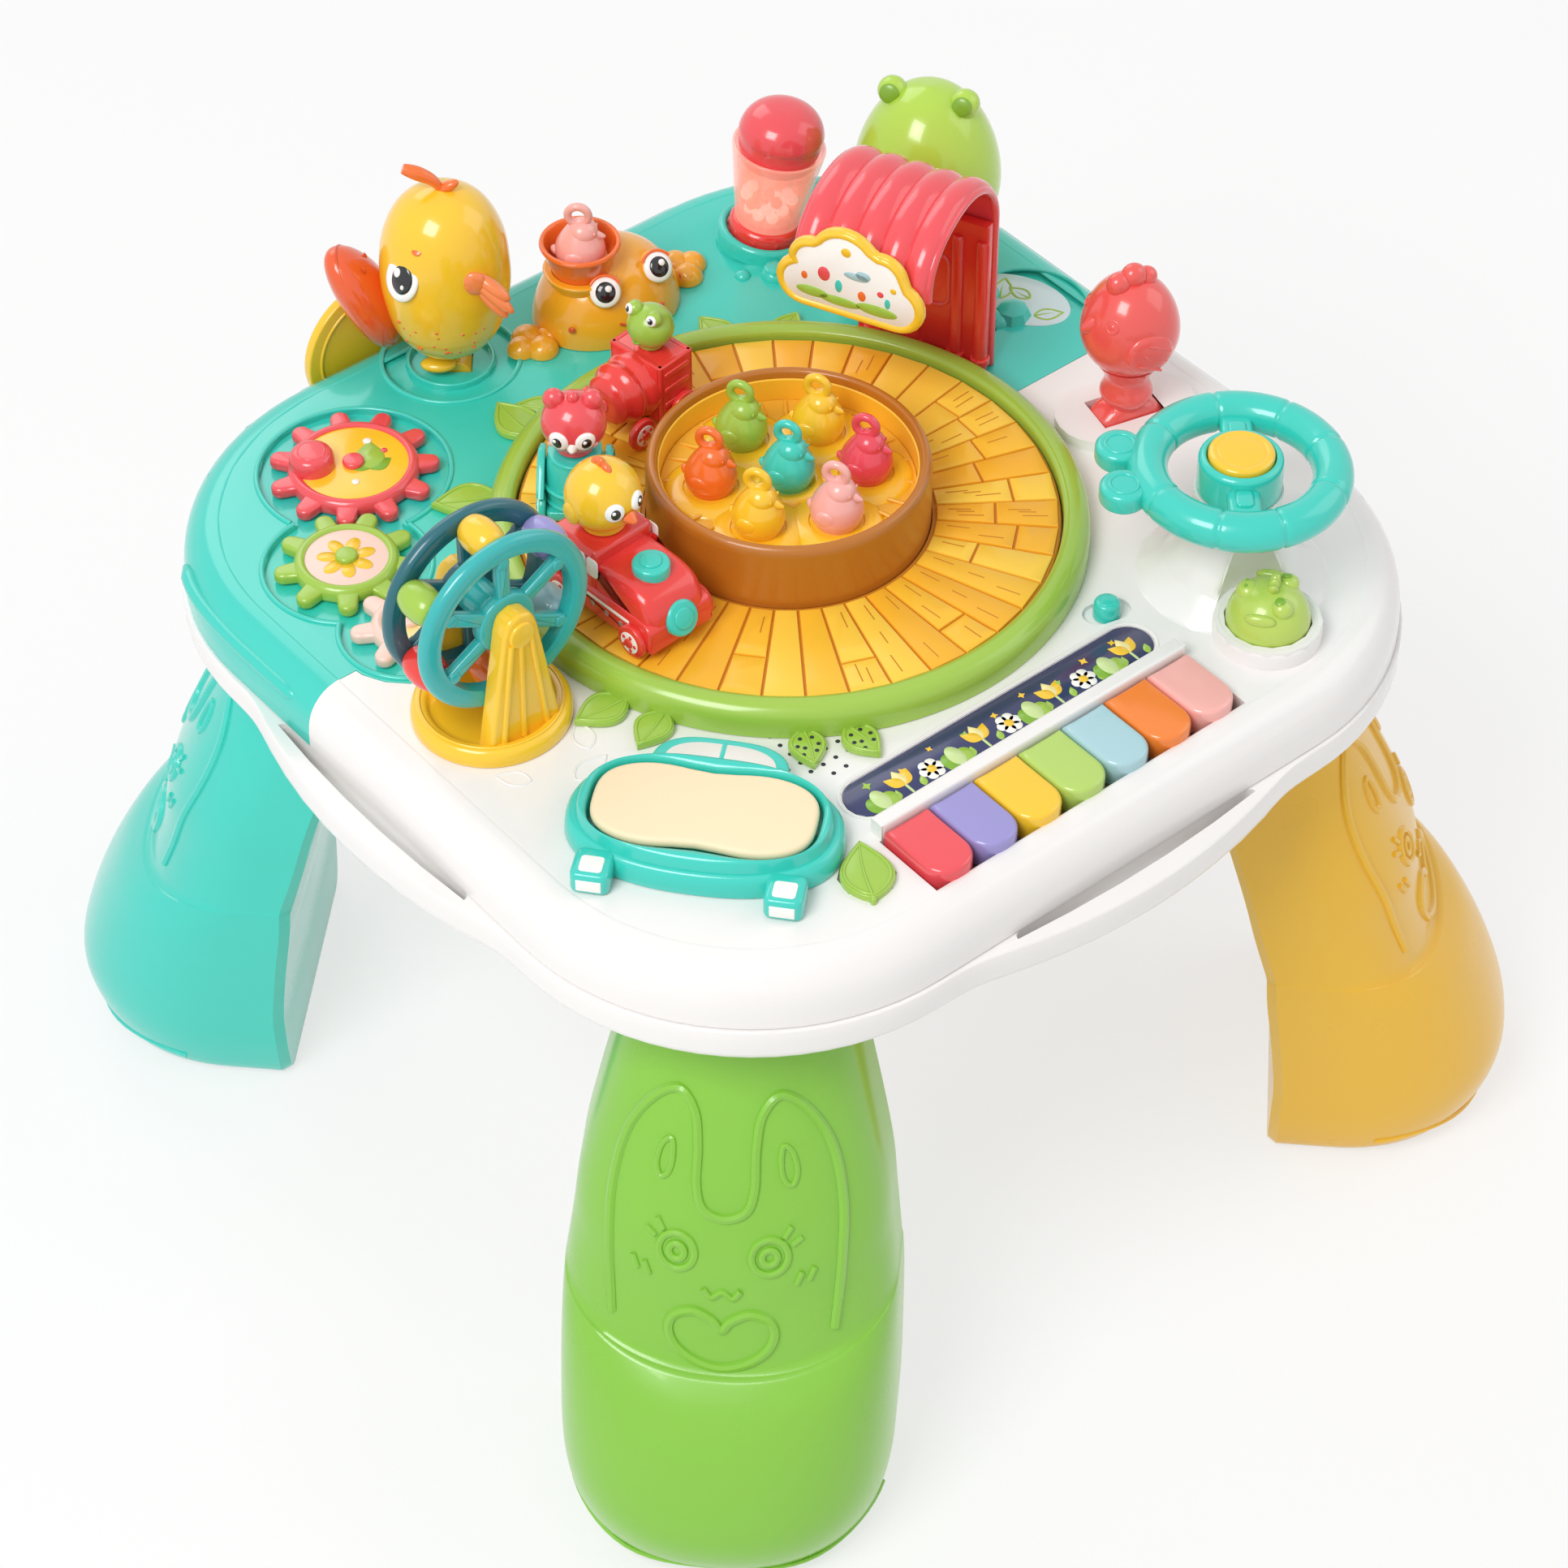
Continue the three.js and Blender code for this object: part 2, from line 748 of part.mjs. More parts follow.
function rollerBore() {
  const pinHole = post(rollerPin + play, rollerPin + rollerRadius, 8).translate(0, 0, -rollerRadius - rollerPin);
  return join(post(rollerRadius + 2 * play, pedestalHeight, 14), ball(rollerRadius + 2 * play, 14), pinHole)
    .translate(rollerX, rollerY, deckHeight + rollerHeight);
}

function upperCase() {
  const well = keyWell();
  const half = deckThickness / 2;
  const ledge = block(keyCount * keyPitch, ledgeDepth, ledgeRise + half)
    .translate(keyRow, keyBack + wellMargin + ledgeDepth / 2, deckHeight - half);
  const stripRecess = prism(stadium(stripLength + 2 * rest, stripWidth + 2 * rest), stripDepth + over, 4)
    .translate(keyRow, stripY, deckHeight - stripDepth);
  const switchRecess = prism(stadium(2 * (switchRadius + switchTravel + play), 2 * (switchRadius + play)), over, 4)
    .rotateZ(switchAngle).translate(switchX, switchY, deckHeight - switchSlotDepth);
  const leafRecess = prism(leafShape(leafButtonLength + 2 * play, leafButtonWidth + 2 * play), over, 4)
    .translate(-leafButtonLength / 2 - play, 0, 0).rotateZ(leafButtonAngle)
    .translate(leafButtonX, leafButtonY, deckHeight - leafButtonDepth);
  const boss = prism(stadium(shiftBossLength, shiftBossWidth), shiftBossHeight + half, 5)
    .rotateZ(shiftAngle).translate(shiftX, shiftY, deckHeight - half);
  const shaftBore = post(steerShaftRadius + play, steerShaftLength + play + over, 12)
    .translate(steerX, steerY, deckHeight + pedestalHeight - steerShaftLength - play);
  const white = cut(deckShell(), tealRegion(rest));
  const raised = cut(join(white, well.tray, ledge, boss, steerPedestal(), rollerCup()), well.hollow);
  return cut(
    join(raised, well.ridge),
    stripRecess,
    switchRecess,
    leafRecess,
    leverSlot(shiftFootRadius, shiftFootWidth, shiftAngle, shiftX, shiftY),
    shaftBore,
    rollerBore(),
  );
}

// Room for the round foot of a lever that rocks toward the given angle
function leverSlot(radius, width, angle, x, y) {
  return crossRoller(radius + play, width + 2 * play, 14).rotateZ(angle).translate(x, y, pivotHeight);
}

function popperPlace(form) {
  const lift = popperBaseRadius * Math.sin(popperLean);
  return form.rotateY(popperLean).rotateZ(popperLeanAngle).translate(popperX, popperY, deckHeight + lift);
}

// Teal ring that the leaning popper stands in
function popperCollar() {
  const radius = popperBaseRadius + 2 * popperWall;
  const leaning = popperPlace(post(radius, popperCollarRise + 2 * over, 16).translate(0, 0, -2 * over));
  const above = block(4 * radius, 4 * radius, 2 * over).translate(popperX, popperY, deckHeight - deckThickness / 2);
  const seat = popperPlace(post(popperBaseRadius + rest, popperCollarRise + over, 16).translate(0, 0, -rest));
  return { ring: common(leaning, above), seat };
}

function gearSeats() {
  const gears = [redGear, limeGear, pinkGear];
  const at = (gear, form, height) => {
    const place = gearPlace(gear);
    return form.translate(place.x, place.y, height);
  };
  return {
    pits: gears.map((gear) => at(gear, post(pitRadius(gear), pitDepth + over, 20), deckHeight - pitDepth)),
    posts: gears.map((gear) => at(
      gear, post(gearPostRadius, gearPostHeight + pitDepth + rest, 8), deckHeight - pitDepth - rest)),
  };
}

function halfDome(radius, x, y, height) {
  return common(ball(radius, 8), block(2 * radius, 2 * radius, radius)).translate(x, y, height - rest);
}

function tealCover() {
  const seats = gearSeats();
  const collar = popperCollar();
  const duckPit = post(recessRadius, over, 20).translate(duckX, duckY, deckHeight - recessDepth);
  const duckCollar = band(recessRadius * collarShare, recessRadius * collarShare + recessDepth,
    -recessDepth - rest, 0, 18).translate(duckX, duckY, deckHeight);
  const bubbles = bubblePlaces.map(([x, y], i) => halfDome(bubbleRadii[i], x, y, deckHeight));
  const crescent = cut(
    post(windowRadius, over, 18).translate(windowX, windowY, deckHeight - windowDepth),
    post(windowRadius, over + 2 * windowDepth, 18)
      .translate(windowX - windowBite, windowY - windowRadius, deckHeight - 2 * windowDepth),
  );
  const plant = halfDome(plantRadius, windowX - windowBite, windowY, deckHeight - windowDepth);
  const teal = common(deckShell(), tealRegion(0));
  return cut(
    join(cut(teal, ...seats.pits, duckPit, crescent), ...seats.posts, duckCollar, collar.ring, ...bubbles, plant),
    collar.seat,
    leverSlot(smallFootRadius, smallFootWidth, duckAngle, duckX, duckY),
    leverSlot(smallFootRadius, smallFootWidth, bearSwing, bearX, bearY),
  );
}

// D-shaped section of a leg, flat toward the middle of the table
function legSection(inner, outer, half) {
  const straight = THREE.MathUtils.lerp(inner, outer, legStraightShare);
  const cornerCut = legCornerShare * half;
  const points = [
    new THREE.Vector2(inner, half - cornerCut),
    new THREE.Vector2(inner, -half + cornerCut),
    new THREE.Vector2(inner + cornerCut, -half),
  ];
  for (let step = 0; step <= legSteps; step += 1) {
    const angle = -quarter + 2 * quarter * step / legSteps;
    const side = Math.sign(angle) * Math.abs(Math.sin(angle)) ** legSquareShare;
    const bow = Math.max(Math.cos(angle), 0) ** legSquareShare;
    points.push(new THREE.Vector2(straight + (outer - straight) * bow, half * side));
  }
  points.push(new THREE.Vector2(inner + cornerCut, half));
  return points;
}

function leg() {
  const height = caseBottom - rest;
  const footInner = legToeReach - legToeDepth;
  const topInner = legTopReach - legTopDepth;
  const sections = legShares.map(([, width, outer, inner]) => legSection(
    THREE.MathUtils.lerp(topInner, footInner, inner),
    THREE.MathUtils.lerp(legTopReach, legToeReach, outer),
    THREE.MathUtils.lerp(legTopWidth, legFootWidth, width) / 2,
  ));
  const shell = lofted(sections, (p, level) => [p.x, p.y, height * legShares[level][0]]);
  const plug = block(plugWidth, plugLength, plugHeight + over).translate(legPlugReach, 0, height - over);
  return join(shell, plug);
}

// Raised ring round the turntable, with the leaves that grow from it
function trackRim() {
  const [wallTop, lean, shoulder, crest] = ringCurveShares;
  const hoop = revolved([
    [rimInner, rest],
    [rimOuter, rest],
    [rimOuter, ringRise * wallTop],
    [rimOuter - ringWidth * lean, ringRise * shoulder],
    [rimInner + ringWidth * crest, ringRise],
    [rimInner, ringRise - tileDepth],
    [rimInner, rest],
  ], ringSides);
  const leaves = ringLeafBearings.map((bearing, i) => {
    const scale = ringLeafShares[i];
    return prism(leafShape(leafLength * scale, leafWidth * scale), leafThickness, 4)
      .rotateZ(ringLeafLeans[i] * degree).translate(rimOuter - leafThickness, 0, rest).rotateZ(bearing * degree);
  });
  return join(hoop, ...leaves);
}

// One tile, its sides parallel to the gaps at both ends
function tile() {
  const inner = drumRadius + 2 * tileGap;
  const outer = turntableRadius - 2 * tileGap;
  const halfAt = (radius) => radius * Math.sin(fullTurn / tileCount / 2) - tileGap / 2;
  const shape = new THREE.Shape();
  shape.moveTo(inner, -halfAt(inner));
  shape.lineTo(outer, -halfAt(outer));
  shape.lineTo(outer, halfAt(outer));
  shape.lineTo(inner, halfAt(inner));
  return prism(shape, tileDepth + rest);
}

// Tiled plate with a lip that runs on the drum's flange
function turntable() {
  const top = trackHeight - tileDepth;
  const low = top - plateThickness + tileDepth;
  const bore = drumRadius + play;
  const lip = drumRadius + flangeWidth;
  const lipBottom = flangeThickness + rest;
  const plate = revolved([
    [bore, lipBottom],
    [lip, lipBottom],
    [lip, low],
    [turntableRadius, low],
    [turntableRadius, top],
    [bore, top],
    [bore, lipBottom],
  ], tileCount);
  const tiles = Array.from({ length: tileCount }, (_, i) => (
    tile().rotateZ(fullTurn * (i + 1 / 2) / tileCount).translate(0, 0, top - rest)));
  return join(plate, ...tiles);
}

function centreDrum() {
  const inside = drumRadius - drumWall;
  const flange = drumRadius + flangeWidth;
  return revolved([
    [0, drumFloor - drumFloorThickness],
    [inside, drumFloor - drumFloorThickness],
    [inside, rest],
    [flange, rest],
    [flange, flangeThickness],
    [drumRadius, flangeThickness],
    [drumRadius, drumHeight - drumWall / 4],
    [drumRadius - drumWall / 4, drumHeight],
    [inside, drumHeight],
    [inside, drumFloor],
    [0, drumFloor],
  ], drumSides);
}

function figurePlaces() {
  const around = Array.from({ length: petalCount }, (_, i) => {
    const angle = figureStart + fullTurn * i / petalCount;
    return [figureCircle * Math.cos(angle), figureCircle * Math.sin(angle)];
  });
  return [[0, 0], ...around];
}

// Dish of petals, each with a round socket for the foot of a figure
function petalDish() {
  const radius = drumRadius - drumWall - play;
  const petalRadius = radius - figureCircle - rest;
  const places = figurePlaces();
  const petals = places.map(([x, y]) => (
    post(petalRadius, dishThickness, petalSides, petalRadius - socketDepth).translate(x, y, 0)));
  const sockets = places.map(([x, y]) => (
    post(figureFoot + 2 * play, over, petalSides).translate(x, y, dishThickness - socketDepth)));
  return cut(join(post(radius, dishThickness / 2, 20), ...petals), ...sockets);
}

// A little bird with a ring on its head, to be hooked or picked up
function figure() {
  const body = revolved([
    [0, 0],
    [figureFoot, 0],
    [figureFoot, socketDepth],
    ...figureCurveShares.map(([radius, height]) => [figureRadius * radius, figureHeight * height]),
    [0, figureHeight],
  ], figureSides);
  const loop = upright(new THREE.TorusGeometry(loopRadius, loopThickness, 3, 6)).rotateZ(quarter)
    .translate(0, 0, figureHeight + loopRadius - loopThickness / 2);
  const beak = new THREE.ConeGeometry(loopThickness, 2 * loopRadius, 4).rotateZ(2 * quarter)
    .translate(0, -figureRadius / 2 - loopRadius, figureHeight * beakShare);
  return join(body, loop, beak);
}

// Train, each car with its length along Y and its wheels on zero height

function carFrame(length, width) {
  const chassis = block(width, length, chassisHeight).translate(0, 0, carFloor);
  const places = [[-1, -1], [-1, 1], [1, -1], [1, 1]];
  const wheels = places.map(([side, end]) => roller(carWheelRadius, carWheelWidth, 8).translate(
    side * ((width + carWheelWidth) / 2 - rest), end * (length / 2 - carWheelRadius), carWheelRadius));
  return [chassis, ...wheels];
}

function locomotive() {
  const back = -locoLength / 2;
  const nose = locoLength / 2;
  const [noseFoot, noseHeight, bonnetBend, bonnetHeight, bonnetStart, bonnetBack] = locoCurveShares;
  const shape = new THREE.Shape();
  shape.moveTo(back, carFloor);
  shape.lineTo(nose, carFloor);
  shape.lineTo(nose * noseFoot, locoHeight * noseHeight);
  shape.quadraticCurveTo(nose * bonnetBend, locoHeight * bonnetHeight, nose * bonnetStart, locoHeight * bonnetHeight);
  shape.lineTo(0, locoHeight * bonnetBack);
  shape.lineTo(0, locoHeight);
  shape.lineTo(back, locoHeight);
  const body = upright(prism(shape, locoWidth, 4)).translate(0, locoWidth / 2, 0).rotateZ(quarter);
  const lamp = crossRoller(lampRadius, lampDepth, 10).translate(0, nose, locoHeight * noseHeight - lampDepth);
  const chimney = post(lampRadius, chimneyHeight, 10)
    .translate(0, nose * chimneyShare, locoHeight * bonnetHeight);
  return join(body, lamp, chimney, ...carFrame(locoLength, locoWidth));
}

function tenderWagon() {
  const body = revolved([
    [0, carFloor],
    [tenderWidth / 2, carFloor],
    [tenderWidth * tenderTopShare, tenderHeight],
    [0, tenderHeight],
  ], 10).scale(1, tenderLength / tenderWidth, 1);
  const fins = [-1, 1].map((side) => upright(prism(leafShape(tenderLength, tenderWidth), carWheelWidth, 3))
    .translate(-tenderLength / 2, carWheelWidth / 2, 0).rotateZ(quarter)
    .translate(side * tenderWidth / 2, 0, tenderHeight / 2));
  return join(body, ...fins, ...carFrame(tenderLength, tenderWidth - carWheelWidth));
}

// A ribbed keg lying along the track with an open box behind it
function barrelWagon() {
  const step = barrelLength / 2 / barrelRibs;
  const ribs = barrelCurveShares.flatMap((share, i) => [
    [barrelRadius * share, i * step],
    [barrelRadius * barrelWaistShares[i], (i + 1) * step],
  ]);
  const keg = revolved([[0, -step], [barrelRadius, -step], ...ribs, [0, barrelLength / 2]], 12)
    .rotateX(-quarter).translate(0, 0, barrelRadius + carFloor);
  const side = 2 * barrelRadius;
  const box = block(side, barrelLength / 2, side).translate(0, -barrelLength / 4, carFloor);
  const hold = block(side - 2 * carWheelWidth, barrelLength / 2 - 2 * carWheelWidth, side)
    .translate(0, -barrelLength / 4, carFloor + side / 2);
  const seat = post(frogRadius, side / 2, 10).translate(0, -barrelLength / 4, carFloor + side / 2);
  const wagon = cut(join(keg, box), hold);
  return join(wagon, seat, ...carFrame(barrelLength, side));
}

function head(radius, lumpShares) {
  const skull = ball(radius, 10).translate(0, 0, radius);
  const lumps = lumpShares.map(([x, y, z, size]) => (
    ball(radius * size, 6).translate(radius * x, radius * y, radius * (1 + z))));
  return join(skull, post(radius * neckShare, radius, 8), ...lumps);
}

// Station: +X points away from the table's centre, Y runs along the track

// One line of the arch from the outer foot up and over to the front eave
function archLine(offset) {
  const centre = (roofOuter + roofInner) / 2;
  const reach = (roofOuter - roofInner) / 2 + offset;
  const points = [new THREE.Vector2(roofOuter + offset, rest)];
  for (let step = 0; step <= archSteps; step += 1) {
    const angle = 2 * quarter * step / archSteps;
    const foot = 2 * step < archSteps ? roofSpring : roofEave;
    points.push(new THREE.Vector2(
      centre + reach * Math.cos(angle),
      foot + (roofHeight - foot + offset) * Math.sin(angle),
    ));
  }
  points.push(new THREE.Vector2(roofInner - offset, roofEave - eaveDrop));
  return points;
}

// Corrugated arch: its outer skin swells and sinks along the track
function stationRoof() {
  const levels = roofRibs * ribSteps;
  const sections = Array.from({ length: levels + 1 }, (_, level) => {
    const swell = ribRise * Math.abs(Math.sin(2 * quarter * level / ribSteps));
    return [...archLine(swell), ...archLine(-roofThickness).reverse()];
  });
  return lofted(sections, (p, level) => [p.x, stationLength * (level / levels - 1 / 2), p.y]);
}

function stationWall() {
  const back = roofOuter - roofThickness - rest;
  const front = back - wallThickness;
  const plinth = front - rimOuter - rest;
  const plate = block(wallThickness, stationLength, wallHeight).translate(back - wallThickness / 2, 0, 0);
  const groove = block(2 * wallGrooveDepth, wallGroove, wallHeight)
    .translate(front, wallGroove - stationLength / 2, -wallGroove);
  const pillars = pillarShares.map((share) => (
    post(pillarRadius, wallHeight - wallGroove, 8).translate(front + wallGrooveDepth / 2, stationLength * share, 0)));
  const skirting = block(plinth + rest, stationLength, wallThickness).translate(front - plinth / 2 + rest / 2, 0, 0);
  return join(cut(plate, groove), ...pillars, skirting).translate(0, 0, rest);
}

// Cloud outline: three scallops over a flat base
function cloudShape(inset) {
  const width = signWidth - 2 * inset;
  const height = signHeight - 2 * inset;
  const round = height * cloudRoundShare;
  const [peakX, peakSize] = cloudPeakShares;
  const [peakStart, roundEnd, peakEnd, lastEnd] = cloudTurns.map((share) => share * quarter);
  const peak = height * peakSize;
  const shape = new THREE.Shape();
  shape.moveTo(-width / 2 + round, 0);
  shape.lineTo(width / 2 - round, 0);
  shape.absarc(width / 2 - round, round, round, -quarter, roundEnd, false);
  shape.absarc(width * peakX, height - peak, peak, peakStart, peakEnd, false);
  shape.absarc(-width / 2 + round, round, round, roundEnd, lastEnd, false);
  return shape;
}

// The sign hangs from the front eave, its picture side toward the drum
function cloudSign() {
  const plate = prism(cloudShape(0), signThickness, 4);
  const face = prism(cloudShape(signRim), over, 4).translate(0, signRim, signThickness - signRimRise);
  return upright(cut(plate, face)).rotateZ(-quarter).translate(roofInner - ribRise - rest, signShift, signBottom);
}

// Piano

function pianoKey() {
  const width = keyPitch - keyGap;
  const shape = new THREE.Shape();
  shape.moveTo(width / 2, 0);
  shape.lineTo(-width / 2, 0);
  shape.lineTo(-width / 2, -keyLength);
  shape.absellipse(0, -keyLength, width / 2, keyTip, -2 * quarter, 0, false, 0);
  shape.lineTo(width / 2, 0);
  return new THREE.ExtrudeGeometry(shape, {
    depth: keyDepth + keyRise - 2 * keyGap,
    bevelEnabled: true,
    bevelThickness: keyGap,
    bevelSize: keyGap,
    bevelOffset: -keyGap,
    bevelSegments: 1,
    curveSegments: 3,
  }).translate(0, 0, keyGap - keyDepth);
}

function leafButton() {
  const bottom = leafButtonTravel + rest - leafButtonDepth;
  return prism(leafShape(leafButtonLength, leafButtonWidth), leafButtonRise - bottom, 4)
    .translate(-leafButtonLength / 2, 0, bottom);
}

// Drum pad

function kidney(length, width, waist) {
  const shape = new THREE.Shape();
  const radius = width / 2;
  const reach = length / 2 - radius;
  shape.absarc(reach, 0, radius, -quarter, quarter, false);
  shape.quadraticCurveTo(0, radius - 2 * waist, -reach, radius);
  shape.absarc(-reach, 0, radius, quarter, 3 * quarter, false);
  return shape;
}

function padFrame() {
  const stretch = frameLength / frameWidth;
  const radius = frameWidth / 2;
  const oval = post(radius, frameHeight, frameSides, radius - frameFloor).scale(stretch, 1, 1);
  const lip = post(radius - frameFloor, frameFloor, frameSides, radius - 2 * frameFloor)
    .scale(stretch, 1, 1).translate(0, 0, frameHeight - rest);
  const opening = prism(kidney(padLength + 2 * play, padWidth + 2 * play, padWaist), frameHeight + over, 5)
    .translate(0, 0, frameFloor);
  const feet = [-1, 1].map((side) => (
    block(footSize, footSize, footHeight).translate(side * frameLength * footShare, -radius, 0)));
  const ears = [-1, 1].map((side) => (
    post(padEarRadius, footHeight, 10).translate(side * frameLength * earSpreadShare, radius - rest, 0)));
  const rubber = post(padWidth / 4, padTop - padThickness - padTravel - frameFloor + rest, 10)
    .translate(0, 0, frameFloor - rest);
  return join(cut(join(oval, lip, ...feet, ...ears), opening), rubber);
}

const drumPad = () => prism(kidney(padLength, padWidth, padWaist), padThickness, 5)
  .translate(0, 0, padTop - padThickness);

// Steering wheel

function steeringWheel() {
  const rim = new THREE.TorusGeometry(steerRadius, steerTube, 6, 20);
  const hub = post(steerHubRadius, steerHubHeight, 16).translate(0, 0, -steerHubHeight / 2);
  const spokes = Array.from({ length: steerSpokes }, (_, i) => (
    block(steerRadius, steerSpokeWidth, steerSpokeHeight)
      .translate(steerRadius / 2, 0, -steerSpokeHeight / 2)
      .rotateZ(steerSpokeAngle + fullTurn * i / steerSpokes)));
  const ears = earAngles.map((angle) => (
    post(earRadius, earThickness, 10).translate(earReach, 0, -earThickness / 2).rotateZ(angle)));
  const shaft = post(steerShaftRadius, steerShaftLength, 10)
    .translate(0, 0, -steerHubHeight / 2 - steerShaftLength + rest);
  const hornBore = post(hornRadius + play, hornSink + hornTravel + rest + over, 16)
    .translate(0, 0, steerHubHeight / 2 - hornSink - hornTravel - rest);
  return cut(join(rim, hub, ...spokes, ...ears, shaft), hornBore);
}

const hornButton = () => revolved([
  [0, 0],
  [hornRadius, 0],
  [hornRadius, hornHeight - play],
  [hornRadius - play, hornHeight],
  [0, hornHeight],
], 16).translate(0, 0, steerHubHeight / 2 - hornSink);

function rollerBall() {
  const pin = post(rollerPin, rollerRadius, 8).translate(0, 0, -rollerRadius - rollerPin + rest);
  const lumps = rollerLumpShares.map(([x, y, z, size]) => (
    ball(rollerRadius * size, 6).translate(rollerRadius * x, rollerRadius * y, rollerRadius * z)));
  return join(ball(rollerRadius, 14), pin, ...lumps);
}

const powerSlider = () => post(switchRadius, switchSlotDepth + switchHeight, 12, switchTopRadius)
  .translate(0, 0, rest - switchSlotDepth);

// Levers, each built with its pivot at the origin and rocking toward its own +X

function leverFoot(radius, width, neckRadius, neckTop) {
  const keep = block(2 * radius + over, width + over, radius + leverPivotDepth)
    .translate(0, 0, -leverPivotDepth / 2);
  return join(common(crossRoller(radius, width, 14), keep), post(neckRadius, neckTop, 8));
}

function eggBody(radius, height, lift, sides, shares = eggShares) {
  return revolved(shares.map(([r, h]) => [radius * r, lift + height * h]), sides);
}

// A pair of wings, arms or ears on the two sides of an egg body
function pair(make, x, y, z) {
  return [-1, 1].map((side) => make().translate(x, side * y, z));
}

function shiftLever() {
  const lift = leverPivotDepth + shiftBossHeight + shiftNeckHeight;
  const foot = leverFoot(shiftFootRadius, shiftFootWidth, shiftNeckRadius, lift + over);
  const body = eggBody(shiftBodyRadius, shiftBodyHeight, lift - rest, 10);
  const crest = shiftCrestShares.map(([x, size]) => (
    ball(shiftBodyRadius * size, 6).translate(shiftBodyRadius * x, 0, lift + shiftBodyHeight)));
  const [long, thick, tall] = shiftWingShares.map((share) => share * shiftBodyRadius);
  const wings = pair(() => lump(long, thick, tall, 6), 0, shiftBodyRadius * wingSideShare,
    lift + shiftBodyHeight * wingHeightShare);
  return join(foot, body, ...crest, ...wings);
}

function duckLever() {
  const foot = leverFoot(smallFootRadius, smallFootWidth, smallNeckRadius, duckRise + over);
  const body = eggBody(duckRadius, duckHeight, duckRise, 12, duckShares);
  const [long, thick, tall] = duckWingShares.map((share) => share * duckRadius);
  const wings = pair(() => lump(long, thick, tall, 6).rotateY(duckWingTilt),
    -duckRadius * duckWingBackShare, duckRadius * wingSideShare, duckRise + duckHeight * wingHeightShare);
  const [tuftLong, tuftThick, tuftTall] = duckTuftShares.map((share) => share * duckRadius);
  const tuft = lump(tuftLong, tuftThick, tuftTall, 6).translate(0, 0, duckRise + duckHeight);
  return cut(join(foot, body, ...wings, tuft), bill(rest));
}

// The duck's long bill, which sits in a hollow of its own shape
function bill(grow) {
  return lump(billLength / 2 + grow, billWidth / 2 + grow, billThickness / 2 + grow, 10)
    .rotateY(billTilt)
    .translate(duckRadius * billReachShare, 0, duckRise + duckHeight * billHeightShare);
}

function bearLever() {
  const lift = leverPivotDepth + bearLift;
  const foot = leverFoot(smallFootRadius, smallFootWidth, smallNeckRadius, lift + over);
  const body = eggBody(bearRadius, bearHeight, lift, 12);
  const [earSide, earTop] = bearEarShares;
  const ears = pair(() => ball(bearEarRadius, 6), 0, bearRadius * earSide, lift + bearHeight * earTop);
  const [long, thick, tall] = bearArmShares.map((share) => share * bearRadius);
  const arms = pair(() => lump(long, thick, tall, 6), -bearRadius * bearArmBackShare,
    bearRadius * wingSideShare, lift + bearHeight * bearArmHeightShare);
  return join(foot, body, ...ears, ...arms);
}

// Popper, its own axis upright

// Inside radius of the tube at a height
function tubeInside(height) {
  const share = (height - popperBaseHeight - rest) / popperHeight;
  return THREE.MathUtils.lerp(popperFootRadius, popperTopRadius, share) - popperWall;
}

const popperBase = () => revolved([
  [0, 0],
  [popperBaseRadius, 0],
  [popperBaseRadius, popperBaseHeight - popperWall],
  [popperFootRadius, popperBaseHeight],
  [0, popperBaseHeight],
], popperSides);

function popperTube() {
  const low = popperBaseHeight + rest;
  return revolved([
    [0, low],
    [popperFootRadius, low],
    [popperTopRadius, popperMouth],
    [popperTopRadius - popperWall, popperMouth],
    [popperFootRadius - popperWall, low + popperWall],
    [0, low + popperWall],
  ], popperSides);
}

// Domed button whose skirt runs down inside the mouth of the tube
function popperCap() {
  const seat = popperMouth + popperTravel + rest;
  const low = popperMouth - popperCapSkirt;
  return revolved([
    [0, low],
    [tubeInside(low - popperTravel) - rest, low],
    [tubeInside(popperMouth - popperTravel) - rest, popperMouth],
    [tubeInside(popperMouth - popperTravel) - rest, seat],
    [popperTopRadius - popperWall, seat],
    ...capShares.map(([r, h]) => [(popperTopRadius - popperWall) * r, seat + popperCapRise * h]),
    [0, seat + popperCapRise],
  ], popperSides);
}

// Shape sorter

function sorterFrog() {
  const half = (form, height) => common(form, block(4 * height, 4 * height, height));
  const dome = half(lump(sorterRadius, sorterDepth, sorterHeight, 14), sorterHeight);
  const [eyeSide, eyeFront, eyeHeight] = sorterEyeShares;
  const eyes = pair(() => ball(sorterEye, 6).rotateZ(quarter), 0, sorterRadius * eyeSide, sorterHeight * eyeHeight)
    .map((form) => form.rotateZ(-quarter).translate(0, -sorterDepth * eyeFront, 0));
  const arms = [-1, 1].map((side) => (
    half(lump(sorterArmLength / 2, sorterArm, sorterArm, 6), sorterArm).translate(side * sorterArmReach, 0, 0)));
  const seat = post(bowlFootRadius + rest, bowlHeight, 14, bowlRadius + rest)
    .translate(bowlShiftX, bowlShiftY, bowlSeat - rest);
  return cut(join(dome, ...eyes, ...arms), seat);
}

const sorterBowl = () => revolved([
  [0, 0],
  [bowlFootRadius, 0],
  [bowlRadius, bowlHeight],
  [bowlRadius - bowlWall, bowlHeight],
  [bowlFootRadius - bowlWall, bowlWall],
  [0, bowlWall],
], 14);

// Gears with round peg teeth, all of one pitch so that they mesh

const pitchRadius = (gear) => gear.teeth * toothPitch / fullTurn;
const pitRadius = (gear) => pitchRadius(gear) + toothReach + pitMargin;
const driverOf = (gear) => (gear === limeGear ? redGear : limeGear);

